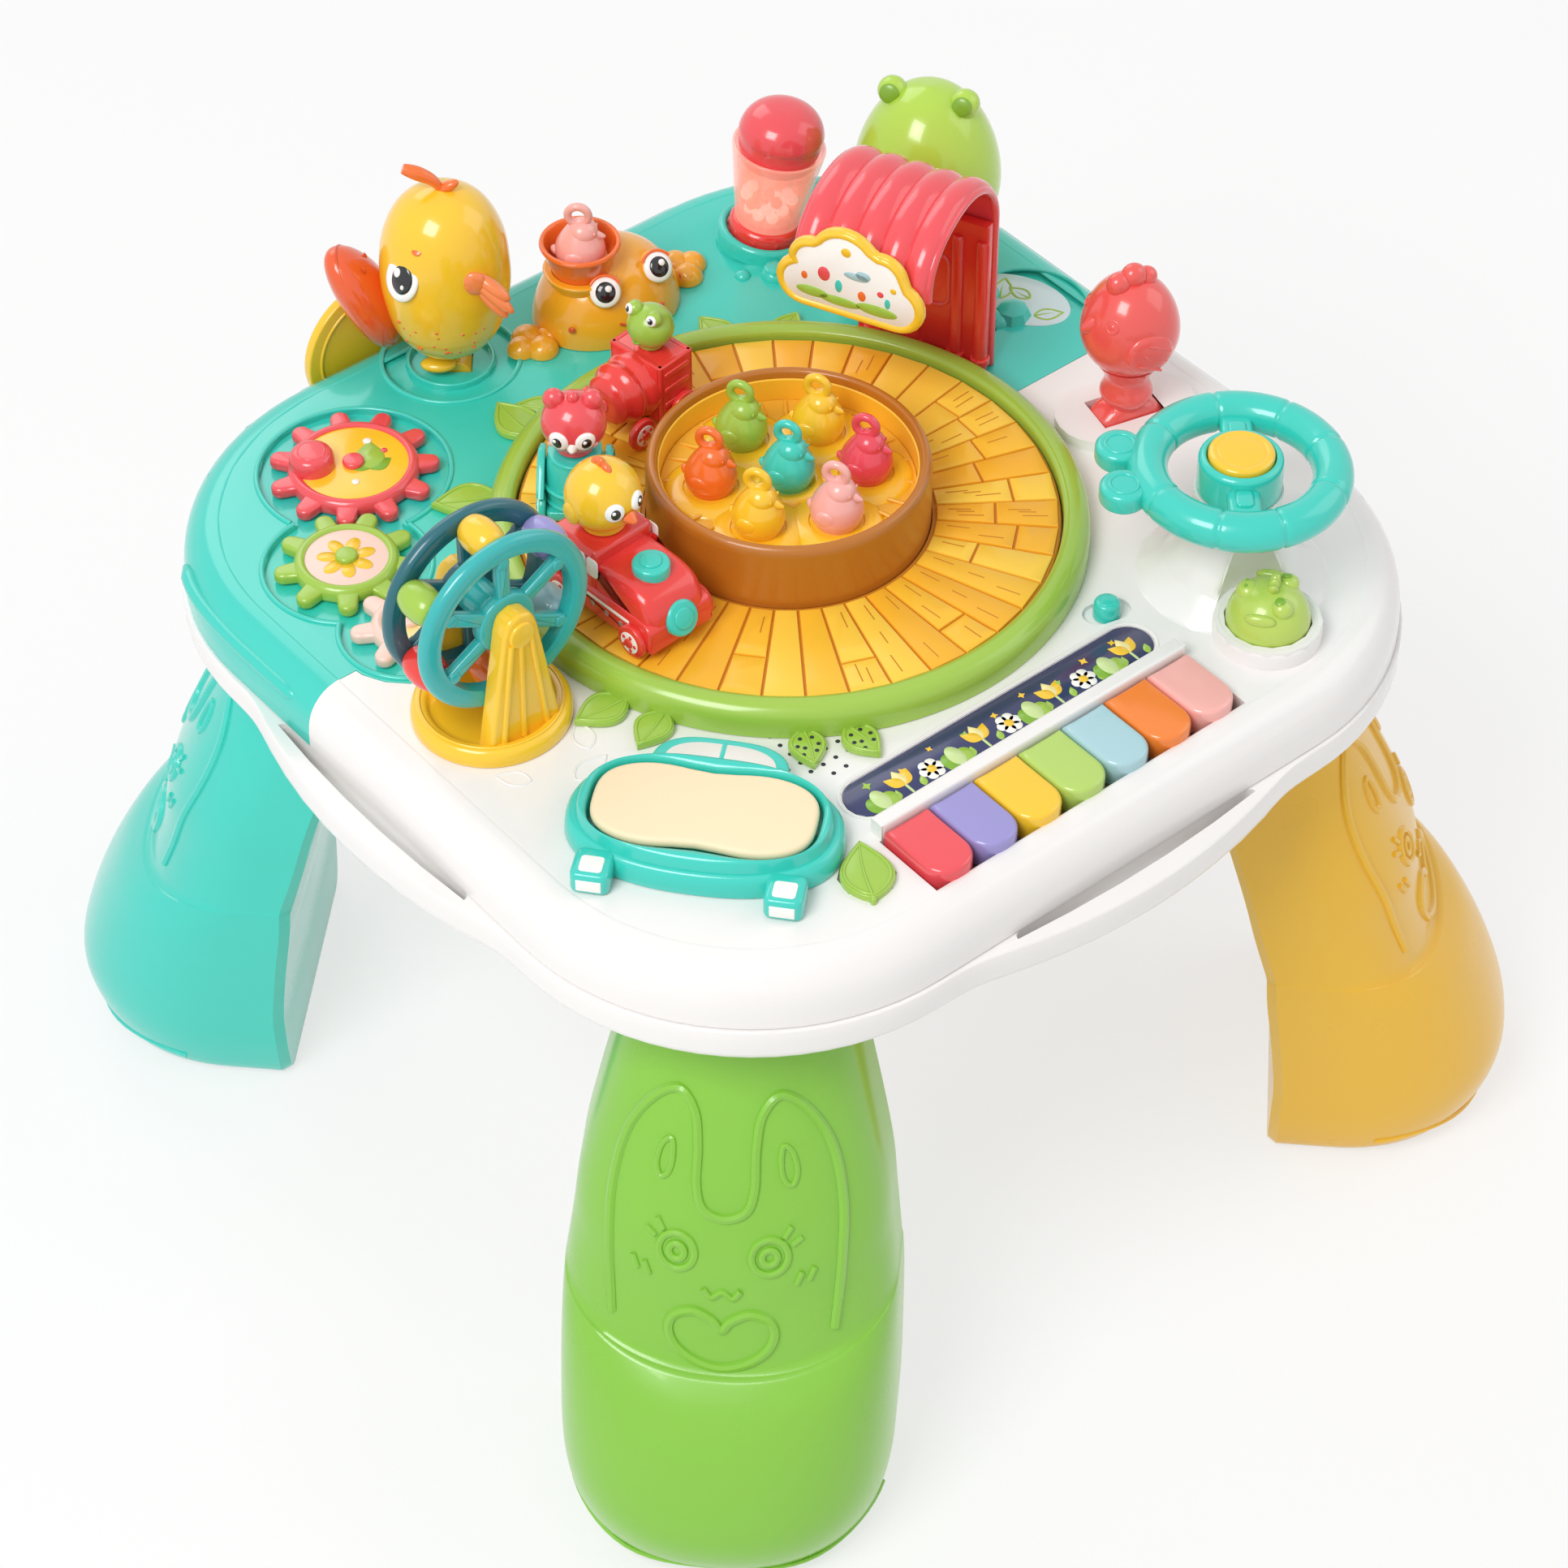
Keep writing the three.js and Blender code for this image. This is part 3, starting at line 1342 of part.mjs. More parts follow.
function gearPlace(gear) {
  if (gear === redGear) return { x: gear.x, y: gear.y };
  const driver = driverOf(gear);
  const start = gearPlace(driver);
  const distance = pitchRadius(driver) + pitchRadius(gear);
  return {
    x: start.x + distance * Math.cos(gear.bearing),
    y: start.y + distance * Math.sin(gear.bearing),
  };
}

// Turn of a gear that sets its teeth between those of its driver
function gearPhase(gear) {
  if (gear === redGear) return 0;
  const driver = driverOf(gear);
  const lead = (gear.bearing - gearPhase(driver)) * driver.teeth / fullTurn;
  const miss = lead - Math.floor(lead);
  return gear.bearing + fullTurn / 2 + (miss - 1 / 2) * fullTurn / gear.teeth;
}

function gearOutline(gear) {
  const root = pitchRadius(gear) - toothReach - rootRelief;
  const pegReach = pitchRadius(gear) + toothReach - pegRadius;
  const shape = new THREE.Shape();
  for (let i = 0; i < gear.teeth; i += 1) {
    const angle = fullTurn * i / gear.teeth;
    const flank = Math.asin(pegRadius / root);
    shape.lineTo(root * Math.cos(angle - flank), root * Math.sin(angle - flank));
    shape.absarc(pegReach * Math.cos(angle), pegReach * Math.sin(angle), pegRadius,
      angle - quarter, angle + quarter, false);
    shape.lineTo(root * Math.cos(angle + flank), root * Math.sin(angle + flank));
  }
  return shape;
}

function gearForm(gear) {
  const rim = pitchRadius(gear) - toothReach - rootRelief;
  const disc = prism(gearOutline(gear), gearHeight - gearRim / 2, 2);
  const hoop = band(rim - gearRim, rim, gearHeight - gearRim, gearHeight, 16);
  const boreTop = gearPostHeight + pitDepth - play + rest;
  const bore = post(gearPostRadius + play, boreTop + over, 8).translate(0, 0, -over);
  const dome = post(gearPostRadius + gearRim, boreTop + gearRim - rest, 8);
  const [knobX, knobY] = redKnobShares;
  const knob = post(redKnobRadius, redKnobHeight, 10, redKnobRadius - gearRim / 2)
    .translate(rim * knobX, rim * knobY, rest);
  const knobs = gear === redGear ? [knob] : [];
  return cut(join(disc, hoop, dome, ...knobs), bore);
}

// Spinning wheel on an axle along Y

// One window of the wheel between two spokes that run parallel
function spokeWindow(middle) {
  const outer = spinRadius - spinRim;
  const spread = fullTurn / spinSpokes / 2;
  const edge = (radius, side) => middle + side * (spread - Math.asin(spinSpokeWidth / 2 / radius));
  const hole = new THREE.Path();
  hole.absarc(0, 0, outer, edge(outer, -1), edge(outer, 1), false);
  hole.absarc(0, 0, spinHub, edge(spinHub, 1), edge(spinHub, -1), true);
  return hole;
}

function spokedPlate() {
  const disc = crossRoller(spinRadius, spinPlate, spinPlateSides);
  const windows = Array.from({ length: spinSpokes }, (_, i) => {
    const shape = new THREE.Shape(spokeWindow(fullTurn * i / spinSpokes).getPoints(1));
    return upright(prism(shape, 2 * spinPlate)).translate(0, spinPlate, 0);
  });
  return cut(disc, ...windows);
}

function spinWheel() {
  const plates = [-1, 1].map((side) => spokedPlate().translate(0, side * (spinSpacing - spinPlate) / 2, 0));
  const bars = Array.from({ length: rollerCount }, (_, i) => (
    crossRoller(rollerThickness, spinSpacing - 2 * spinPlate + rest, 6)
      .translate(rollerReach, 0, 0).rotateY(fullTurn * (i + 1 / 2) / rollerCount)));
  const axle = crossRoller(axleRadius, spinSpacing + 2 * axleTip, 8);
  const core = crossRoller(spinHub - axleRadius, spinSpacing + rest, 8);
  return join(...plates, ...bars, axle, core);
}

// Round base with a tapered post on each side of the wheel
function spinStand() {
  const base = revolved([
    [0, 0],
    [standRadius, 0],
    [standRadius, standHeight - standDish],
    [standRadius - standDish, standHeight],
    [standRadius - 2 * standDish, standHeight],
    [standRadius - 3 * standDish, standHeight - standDish],
    [0, standHeight - standDish],
  ], 22);
  const shoulder = spinHeight + standCrown / 2;
  const shape = new THREE.Shape();
  shape.moveTo(-standFoot / 2, 0);
  shape.lineTo(standFoot / 2, 0);
  shape.lineTo(standTop / 2, shoulder);
  shape.quadraticCurveTo(0, shoulder + standCrown, -standTop / 2, shoulder);
  const faces = [-1, 1].map((side) => upright(prism(shape, standThickness, 4))
    .translate(0, standThickness / 2 + side * (spinSpacing / 2 + rest + standThickness / 2), 0));
  const limit = post(standRadius, 2 * spinHeight, 22);
  const boreLength = spinSpacing + 2 * axleTip + 2 * rest;
  const bore = crossRoller(axleRadius + rest, boreLength, 8).translate(0, 0, spinHeight);
  return cut(join(base, ...faces.map((face) => common(face, limit))), bore);
}

function sideDisc() {
  const disc = crossRoller(sideDiscRadius, sideDiscThickness, 24);
  const outer = sideDiscRadius - sideGrooveInset;
  const groove = upright(band(outer - sideGrooveWidth, outer, -sideGrooveDepth, sideGrooveDepth, 24))
    .translate(0, -sideDiscThickness / 2, 0);
  const below = block(2 * sideDiscRadius, 2 * over, sideDiscRadius)
    .translate(0, 0, sideDiscDrop - splitDepth - sideDiscRadius + rest);
  return cut(disc, groove, below);
}

// Inner pieces

function boardCorners() {
  const reachX = boardLength / 2 - 2 * bossRadius;
  const reachY = boardWidth / 2 - 2 * bossRadius;
  return [[-1, -1], [1, -1], [1, 1], [-1, 1]].map(([x, y]) => [boardX + x * reachX, boardY + y * reachY]);
}

const speakerUnit = () => join(
  post(speakerRadius, speakerFlange, 18).translate(0, 0, -speakerFlange),
  post(speakerMagnet, speakerDepth, 14).translate(0, 0, -speakerDepth),
);

// Assembly

const table = new THREE.Group();

function add(parent, name, look, form, x = 0, y = 0, z = 0, turn = 0) {
  const [color, roughness] = looks[look];
  const material = new THREE.MeshStandardMaterial({ color, roughness, metalness: 0 });
  const mesh = new THREE.Mesh(join(form), material);
  mesh.name = name;
  mesh.position.set(x, y, z);
  mesh.rotation.z = turn;
  parent.add(mesh);
}

function addGroup(x, y, z, turn) {
  const group = new THREE.Group();
  group.position.set(x, y, z);
  group.rotation.z = turn;
  table.add(group);
  return group;
}

add(table, 'lower_case', 'white', lowerCase());
add(table, 'upper_case', 'white', upperCase());
add(table, 'teal_cover', 'teal', tealCover());
for (const [corner, angle] of Object.entries(diagonals)) {
  add(table, `leg_${corner}`, legLooks[corner], leg(), 0, 0, 0, angle);
}

add(table, 'track_rim', 'lime', trackRim(), 0, 0, deckHeight);
add(table, 'turntable', 'tile', turntable(), 0, 0, deckHeight);
add(table, 'centre_drum', 'drumBrown', centreDrum(), 0, 0, deckHeight);
add(table, 'petal_dish', 'dish', petalDish(), 0, 0, deckHeight + drumFloor + rest);
const figureSeat = deckHeight + drumFloor + dishThickness - socketDepth + 2 * rest;
figurePlaces().forEach(([x, y], i) => {
  add(table, `figure_${figureNames[i]}`, figureLooks[i], figure(), x, y, figureSeat, figureStart);
});

const carLevel = deckHeight + trackHeight + rest;
const loco = addGroup(0, 0, carLevel, locoAngle);
add(loco, 'locomotive', 'red', locomotive(), trainRadius);
add(loco, 'chick_head', 'yellow', head(chickRadius, chickLumpShares), trainRadius, -locoLength / 4, locoHeight + rest);
const tender = addGroup(0, 0, carLevel, tenderAngle);
add(tender, 'tender_wagon', 'teal', tenderWagon(), trainRadius);
add(tender, 'owl_head', 'coral', head(owlRadius, owlLumpShares), trainRadius, 0, tenderHeight + rest);
const keg = addGroup(0, 0, carLevel, barrelAngle);
add(keg, 'barrel_wagon', 'red', barrelWagon(), trainRadius);
const frogSeat = 2 * barrelRadius + carFloor + rest;
add(keg, 'frog_head', 'lime', head(frogRadius, frogLumpShares), trainRadius, -barrelLength / 4, frogSeat);

const station = addGroup(0, 0, deckHeight, stationAngle);
add(station, 'station_wall', 'red', stationWall());
add(station, 'station_roof', 'coral', stationRoof());
add(station, 'cloud_sign', 'yellow', cloudSign());

for (let i = 0; i < keyCount; i += 1) {
  const x = keyRow + keyPitch * (i - (keyCount - 1) / 2);
  add(table, `key_${i + 1}`, keyLooks[i], pianoKey(), x, keyBack, deckHeight);
}
add(table, 'leaf_button', 'lime', leafButton(), leafButtonX, leafButtonY, deckHeight, leafButtonAngle);

const pad = addGroup(padX, padY, deckHeight + rest, padAngle);
add(pad, 'pad_frame', 'teal', padFrame());
add(pad, 'drum_pad', 'beige', drumPad());

const steer = addGroup(steerX, steerY, deckHeight + steerHeight, 0);
add(steer, 'steering_wheel', 'teal', steeringWheel());
add(steer, 'horn_button', 'yellow', hornButton());
add(table, 'roller_ball', 'lime', rollerBall(), rollerX, rollerY, deckHeight + rollerHeight, rollerTurn);
add(table, 'power_slider', 'teal', powerSlider(), switchX, switchY, deckHeight, switchAngle);

add(table, 'shift_lever', 'coral', shiftLever(), shiftX, shiftY, pivotHeight, shiftAngle);
const duck = addGroup(duckX, duckY, pivotHeight, duckAngle);
add(duck, 'duck_lever', 'yellow', duckLever());
add(duck, 'duck_beak', 'orange', bill(0));
add(table, 'bear_lever', 'lime', bearLever(), bearX, bearY, pivotHeight, bearSwing);

add(table, 'popper_base', 'red', popperPlace(popperBase()));
add(table, 'popper_tube', 'pink', popperPlace(popperTube()));
add(table, 'popper_cap', 'coral', popperPlace(popperCap()));

const sorter = addGroup(sorterX, sorterY, deckHeight + rest, 0);
add(sorter, 'sorter_frog', 'yellow', sorterFrog());
add(sorter, 'sorter_bowl', 'orange', sorterBowl(), bowlShiftX, bowlShiftY, bowlSeat);
add(sorter, 'bowl_figure', 'pink', figure(), bowlShiftX, bowlShiftY, bowlSeat + bowlWall + rest, quarter / 2);

for (const [name, gear, look] of [['red', redGear, 'coral'], ['lime', limeGear, 'lime'], ['pink', pinkGear, 'pink']]) {
  const { x, y } = gearPlace(gear);
  add(table, `gear_${name}`, look, gearForm(gear), x, y, deckHeight - pitDepth + play, gearPhase(gear));
}

const spin = addGroup(spinX, spinY, deckHeight + rest, 0);
add(spin, 'spin_stand', 'yellow', spinStand());
add(spin, 'spin_wheel', 'teal', spinWheel(), 0, 0, spinHeight);
add(table, 'side_disc', 'yellow', sideDisc(), sideDiscX, caseHalf + sideDiscOff, deckHeight - sideDiscDrop);

add(table, 'speaker_unit', 'black', speakerUnit(), speakerX, speakerY, cavityTop - rest);
const boardSeat = caseBottom + floorThickness + boardHeight;
add(table, 'circuit_board', 'board', block(boardLength, boardWidth, boardThickness), boardX, boardY, boardSeat);
add(table, 'battery_door', 'white', block(doorLength, doorWidth, doorThickness), 0, doorY, caseBottom);

export default table;
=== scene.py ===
# Musical activity table: smooth moulded pieces, prints and finishes laid over the fixed model
import bpy
import bmesh
import math
import numpy as np
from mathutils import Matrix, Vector


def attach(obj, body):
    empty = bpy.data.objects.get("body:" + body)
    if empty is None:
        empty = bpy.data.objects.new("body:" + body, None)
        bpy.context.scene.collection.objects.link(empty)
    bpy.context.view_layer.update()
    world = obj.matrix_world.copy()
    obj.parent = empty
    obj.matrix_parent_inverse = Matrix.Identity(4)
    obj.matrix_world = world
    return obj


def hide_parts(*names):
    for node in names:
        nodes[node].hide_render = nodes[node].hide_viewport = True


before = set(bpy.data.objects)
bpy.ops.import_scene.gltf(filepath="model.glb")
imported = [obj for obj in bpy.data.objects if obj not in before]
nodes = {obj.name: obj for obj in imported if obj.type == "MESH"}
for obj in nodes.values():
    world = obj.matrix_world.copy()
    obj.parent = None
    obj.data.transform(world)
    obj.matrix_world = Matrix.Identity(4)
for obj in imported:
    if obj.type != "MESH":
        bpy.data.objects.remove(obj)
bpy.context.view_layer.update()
print("frame loaded:", len(nodes), "nodes")

# All shapes below are worked out in millimetres, floor at zero, and made metres in makePiece.
# A part is its points (rows of x, y, z), its faces and the name of its finish.

deck = 278.0
fullTurn = 2 * math.pi
quarter = fullTurn / 4

# Places on the deck that more than one piece uses
spots = dict(wheel=(117, -129), roller=(103, -163), shiftLever=(149, -33), duck=(-40, 170), bear=(158, 101))


# Placing

def shifted(part, x=0.0, y=0.0, z=0.0):  # every point plus one step
    verts, faces, finish = part
    return verts + np.array([x, y, z]), faces, finish


def turned(part, angle, axis="z"):  # every point times the turning matrix of an axis
    verts, faces, finish = part
    c, s = math.cos(angle), math.sin(angle)
    rows = {"z": [[c, -s, 0], [s, c, 0], [0, 0, 1]],
            "x": [[1, 0, 0], [0, c, -s], [0, s, c]],
            "y": [[c, 0, s], [0, 1, 0], [-s, 0, c]]}[axis]
    return verts @ np.array(rows, float).T, faces, finish


def scaled(part, x=1.0, y=1.0, z=1.0):  # every point times one factor along each axis
    verts, faces, finish = part
    return verts * np.array([x, y, z]), faces, finish


def placed(parts, x=0.0, y=0.0, z=0.0, turn=0.0):  # turned about Z, then shifted
    return [shifted(turned(part, turn), x, y, z) for part in parts]


def aimed(part, direction, place=(0, 0, 0)):  # +Z turned to the direction, then shifted to the place
    verts, faces, finish = part
    d = unit(direction)
    side = unit(np.cross([0, 0, 1], d)) if abs(d[2]) < 0.99 else np.array([1.0, 0, 0])
    return verts @ np.array([side, np.cross(d, side), d]) + np.array(place), faces, finish


def unit(direction):  # a direction over its own length
    return np.array(direction, float) / np.linalg.norm(direction)


def sideways(part):  # drawn in Y and Z, its thickness along X
    verts, faces, finish = part
    return verts[:, [2, 0, 1]], faces, finish


def upright(part):  # drawn in X and Z, its thickness along Y
    verts, faces, finish = part
    return verts[:, [0, 2, 1]], faces, finish


# Curves and surfaces

def curve(points, steps=6, closed=False):  # smooth line through points: cubic through each four neighbours
    p = np.asarray(points, float)
    if closed:
        q = np.vstack([p[-1:], p, p[:2]])
    else:
        q = np.vstack([2 * p[:1] - p[1:2], p, 2 * p[-1:] - p[-2:-1]])
    a, b, c, d = (q[i:len(q) - 3 + i][:, None, :] for i in range(4))
    t = np.linspace(0, 1, steps, endpoint=False)[None, :, None]
    line = 0.5 * (2 * b + (c - a) * t + (2 * a - 5 * b + 4 * c - d) * t ** 2 + (3 * b - a - 3 * c + d) * t ** 3)
    line = line.reshape(-1, p.shape[1])
    return line if closed else np.vstack([line, p[-1:]])


def profile(points, steps, before=(), after=()):  # a smooth line with plain points before and after it
    return np.vstack([np.reshape(before, (-1, 2)), curve(points, steps), np.reshape(after, (-1, 2))])


def around(count):  # bearings spread evenly over the full turn
    return np.linspace(0, fullTurn, count, endpoint=False)


def arc(cx, cy, radius, start, end, steps=8):  # centre plus radius times cosine and sine
    t = np.linspace(start, end, steps + 1)
    return np.column_stack([cx + radius * np.cos(t), cy + radius * np.sin(t)])


def level(outline, z):  # a flat outline with the height added
    return np.column_stack([outline, np.full(len(outline), z)])


def grid(points, finish, closeRows=False, caps=True):  # rows x columns of points to quads, columns closed
    rows, cols = points.shape[:2]
    i = np.arange(rows if closeRows else rows - 1)[:, None]
    j = np.arange(cols)[None, :]
    i2, j2 = (i + 1) % rows, (j + 1) % cols
    faces = np.stack([i * cols + j, i * cols + j2, i2 * cols + j2, i2 * cols + j], -1).reshape(-1, 4).tolist()
    if caps and not closeRows:
        faces.append(list(range(cols))[::-1])
        faces.append(list(range((rows - 1) * cols, rows * cols)))
    return points.reshape(-1, 3), faces, finish


def lathe(line, finish, steps=48, ring=False):  # radius and height carried round Z
    p = np.asarray(line, float)
    a = around(steps)
    r, z = p[:, 0][:, None], p[:, 1][:, None]
    points = np.stack([r * np.cos(a), r * np.sin(a), z + 0 * a], -1)
    return grid(points, finish, closeRows=ring, caps=not ring)


def egg(radii, finish, steps=32, place=(0, 0, 0)):  # x = a cos u cos v, y = b sin u cos v, z = c sin v
    v = np.linspace(-quarter, quarter, steps // 2 + 1)
    part = lathe(np.column_stack([np.cos(v), np.sin(v)]), finish, steps)
    return shifted(scaled(part, *np.broadcast_to(radii, 3)), *place)


def slab(outline, low, high, finish, edge=0.8, steps=3):  # outline drawn up Z, its rims rounded by edge
    p = np.asarray(outline, float)
    tangent = np.roll(p, -1, 0) - np.roll(p, 1, 0)
    tangent /= np.maximum(np.linalg.norm(tangent, axis=1, keepdims=True), 1e-9)
    area = np.sum(p[:, 0] * np.roll(p[:, 1], -1) - np.roll(p[:, 0], -1) * p[:, 1])
    inward = np.column_stack([-tangent[:, 1], tangent[:, 0]]) * np.sign(area)
    a = np.linspace(0, quarter, steps + 1)
    insets = np.concatenate([edge * (1 - np.sin(a)), edge * (1 - np.sin(a))[::-1]])
    heights = np.concatenate([low + edge * (1 - np.cos(a)), (high - edge * (1 - np.cos(a)))[::-1]])
    flat = p[None] + inward[None] * insets[:, None, None]
    points = np.dstack([flat, np.repeat(heights[:, None], len(p), 1)])
    return grid(points, finish)


def tube(path, radius, finish, sides=14, closed=False):  # circle carried along the path, radius may change
    p = np.asarray(path, float)
    tangent = np.roll(p, -1, 0) - np.roll(p, 1, 0) if closed else np.gradient(p, axis=0)
    tangent /= np.linalg.norm(tangent, axis=1, keepdims=True)
    spread = p - p.mean(0)
    normal = np.linalg.svd(spread, full_matrices=False)[2][-1] if len(p) > 2 else np.array([0, 0, 1.0])
    side = np.cross(tangent, normal)
    side /= np.maximum(np.linalg.norm(side, axis=1, keepdims=True), 1e-9)
    up = np.cross(side, tangent)
    r = np.broadcast_to(np.asarray(radius, float), (len(p),))[:, None, None]
    a = around(sides)[None, :, None]
    points = p[:, None] + r * (side[:, None] * np.cos(a) + up[:, None] * np.sin(a))
    return grid(points, finish, closeRows=closed, caps=not closed)


def hoop(radius, thickness, finish, steps=28, sides=12, height=0.0):  # ring lying round Z
    ring = tube(level(radius * arc(0, 0, 1, 0, fullTurn, steps)[:-1], 0.0), thickness, finish, sides, closed=True)
    return shifted(ring, 0, 0, height)


def disc(radius, low, high, finish, edge=0.8, steps=40):  # flat round plate, its rims quarter circles
    a = np.linspace(0, quarter, 5)
    foot = np.column_stack([radius - edge + edge * np.sin(a), low + edge - edge * np.cos(a)])
    head = np.column_stack([radius - edge + edge * np.cos(a), high - edge + edge * np.sin(a)])
    return lathe(np.vstack([[(0.001, low)], foot, head, [(0.001, high)]]), finish, steps)


def eye(place, way, radius):  # white lens, dark pupil and a small glint, sized by the radius
    looks = (((1, 1, 0.42), "eyeWhite", 24, (0, 0, 0)), ((0.6, 0.66, 0.3), "eyeBlack", 20, (0, 0, 0.2)),
             ((0.2, 0.2, 0.12), "eyeWhite", 12, (-0.2, 0.25, 0.46)))
    return [aimed(egg(radius * np.array(size), finish, steps, radius * np.array(spot)), way, place)
            for size, finish, steps, spot in looks]


# Outlines

def rounded(width, depth, radius, steps=5):  # rectangle with round corners
    r = min(radius, width / 2 - 0.01, depth / 2 - 0.01)
    x, y = width / 2 - r, depth / 2 - r
    corners = [(x, y), (-x, y), (-x, -y), (x, -y)]
    return np.vstack([arc(cx, cy, r, i * quarter, (i + 1) * quarter, steps) for i, (cx, cy) in enumerate(corners)])


def stadium(length, width, steps=10):  # rectangle with half round ends
    return rounded(length, width, width / 2, steps)


def block(width, depth, low, high, finish, edge=1.0, radius=2.0):  # box with rounded corners and rims
    return slab(rounded(width, depth, radius), low, high, finish, edge)


def leaf(length, width, steps=14):  # y = half width times sine of (share ** 0.8)
    t = np.linspace(0, 1, steps + 1)
    side = width / 2 * np.sin(math.pi * t ** 0.8)
    return np.vstack([np.column_stack([length * t, -side])[:-1], np.column_stack([length * t, side])[:0:-1]])


def ellipse(rx, ry, steps=28, x=0.0, y=0.0):  # centre plus each radius times cosine and sine
    return arc(0, 0, 1, 0, fullTurn, steps)[:-1] * np.array([rx, ry]) + np.array([x, y])


def moved(outline, x=0.0, y=0.0, turn=0.0):  # a flat outline turned, then shifted
    c, s = math.cos(turn), math.sin(turn)
    return outline @ np.array([[c, s], [-s, c]]) + np.array([x, y])


def mirrored(points):  # the same points on the other side of the middle line, in turn backwards
    return [(-x, y) for x, y in points[::-1]]


def powered(value, power):  # power of the size, with the value's own sign
    return np.sign(value) * np.abs(value) ** power


def printed(outline, low, high, finish, edge=0.1):  # a thin flat print
    return slab(outline, low, high, finish, edge, 1)


def leafPlate(length, width, thickness, finish="lime"):  # leaf with a raised rim and a vein
    top = thickness * 0.72
    t = np.linspace(0.06, 0.92, 8)
    vein = level(np.column_stack([t * length, 0.06 * width * np.sin(math.pi * t)]), top)
    inner = moved(leaf(length * 0.9, width * 0.84), length * 0.05)
    return [slab(leaf(length, width), 0, top, finish, 0.4),
            tube(level(inner, thickness * 0.7), 0.75, finish, 8, closed=True),
            tube(vein, np.linspace(0.7, 0.35, 8), finish, 8)]


# Finishes: one shared surface group, each finish with its own values

surface = dict(cloudScale=22, smearScale=35, detail=2, shadeChange=0.04, handling=0.04, grain=1100, bump=0.06,
               bumpHeight=0.0003, coatRoughness=0.08, ior=1.49, alpha=1.0, glow=0.0)
finishes = {  # colour, roughness, coat and what else differs from the common surface
    "white": (0xF1EEEC, 0.26, 0.25), "teal": (0x38CDBE, 0.22, 0.4), "lime": (0xA0C548, 0.25, 0.35),
    "limeBright": (0xB3D84A, 0.2, 0.4), "legGreen": (0x84C23C, 0.28, 0.3), "mustard": (0xEDB92E, 0.28, 0.3),
    "tile": (0xFBC234, 0.36, 0.08), "tileWarm": (0xF8B72C, 0.38, 0.08), "tilePale": (0xFDCF46, 0.36, 0.08),
    # the dark tile colours the printed grain lines and is also painted shade in the gaps between the planks
    "tileDark": (0xC9801C, 0.5, 0.0), "drumBrown": (0xB9701F, 0.32, 0.25), "dishGold": (0xF2B93E, 0.34, 0.2),
    "yellow": (0xF9C82C, 0.2, 0.45), "orange": (0xF2722A, 0.22, 0.4), "red": (0xEA3A34, 0.2, 0.45),
    "coral": (0xEC4F57, 0.2, 0.45), "pink": (0xF5B2AA, 0.24, 0.35), "rose": (0xE8485A, 0.22, 0.4),
    "ballLime": (0xB9D25C, 0.24, 0.35), "keyLime": (0xB4D368, 0.24, 0.35), "keyOrange": (0xF5842F, 0.22, 0.4),
    "purple": (0x9A93CF, 0.24, 0.35), "sky": (0xABD0D8, 0.24, 0.35), "orangeDeep": (0xD9531B, 0.3, 0.3),
    "beak": (0xEB5B22, 0.18, 0.5), "amber": (0xF7B12A, 0.2, 0.45), "limePale": (0xCBE09A, 0.3, 0.3),
    "pinkPale": (0xF6D2C4, 0.3, 0.2), "yellowPale": (0xF7E7A0, 0.35, 0.1), "tealDeep": (0x2FB1B0, 0.22, 0.4),
    # the darkest teal on the next line is painted shade, for the rear plate of the spinning wheel
    "tealShade": (0x1C6470, 0.25, 0.3), "wing": (0xF4874A, 0.22, 0.4), "coralWarm": (0xEF5A55, 0.2, 0.45),
    "navy": (0x2C3260, 0.3, 0.3), "eyeWhite": (0xFBFBFA, 0.12, 0.6), "eyeBlack": (0x14161B, 0.1, 0.6),
    "shadow": (0x262B30, 0.6, 0.0), "boardGreen": (0x2F7D4A, 0.5, 0.1), "stickerWhite": (0xFAF7F2, 0.4, 0.1),
    "panePale": (0xD5E9EC, 0.3, 0.2), "leafDark": (0x7FB030, 0.3, 0.2),
    "beige": (0xFCE4BE, 0.5, 0.0, dict(grain=1500, bump=0.25)),
    # the clear tube and the beads glow: painted light that brightens them in the shade of the capped tube
    "clearPink": (0xFFB09E, 0.14, 0.4, dict(alpha=0.5, glow=0.22)),
    "bead": (0xFFE9E0, 0.2, 0.3, dict(glow=0.7)), "beadPink": (0xF9A996, 0.2, 0.3, dict(glow=0.5)),
}
materials = {}


def fill(node, sockets):  # a socket takes a value, or a link from the output named for it
    for socket, value in sockets.items():
        if isinstance(value, bpy.types.NodeSocket):
            node.id_data.links.new(value, node.inputs[socket])
        else:
            node.inputs[socket].default_value = value
    return node


def addNode(tree, kind, sockets, operation=None):
    node = tree.nodes.new("ShaderNode" + kind)
    if operation:
        node.operation = operation
    return fill(node, sockets)


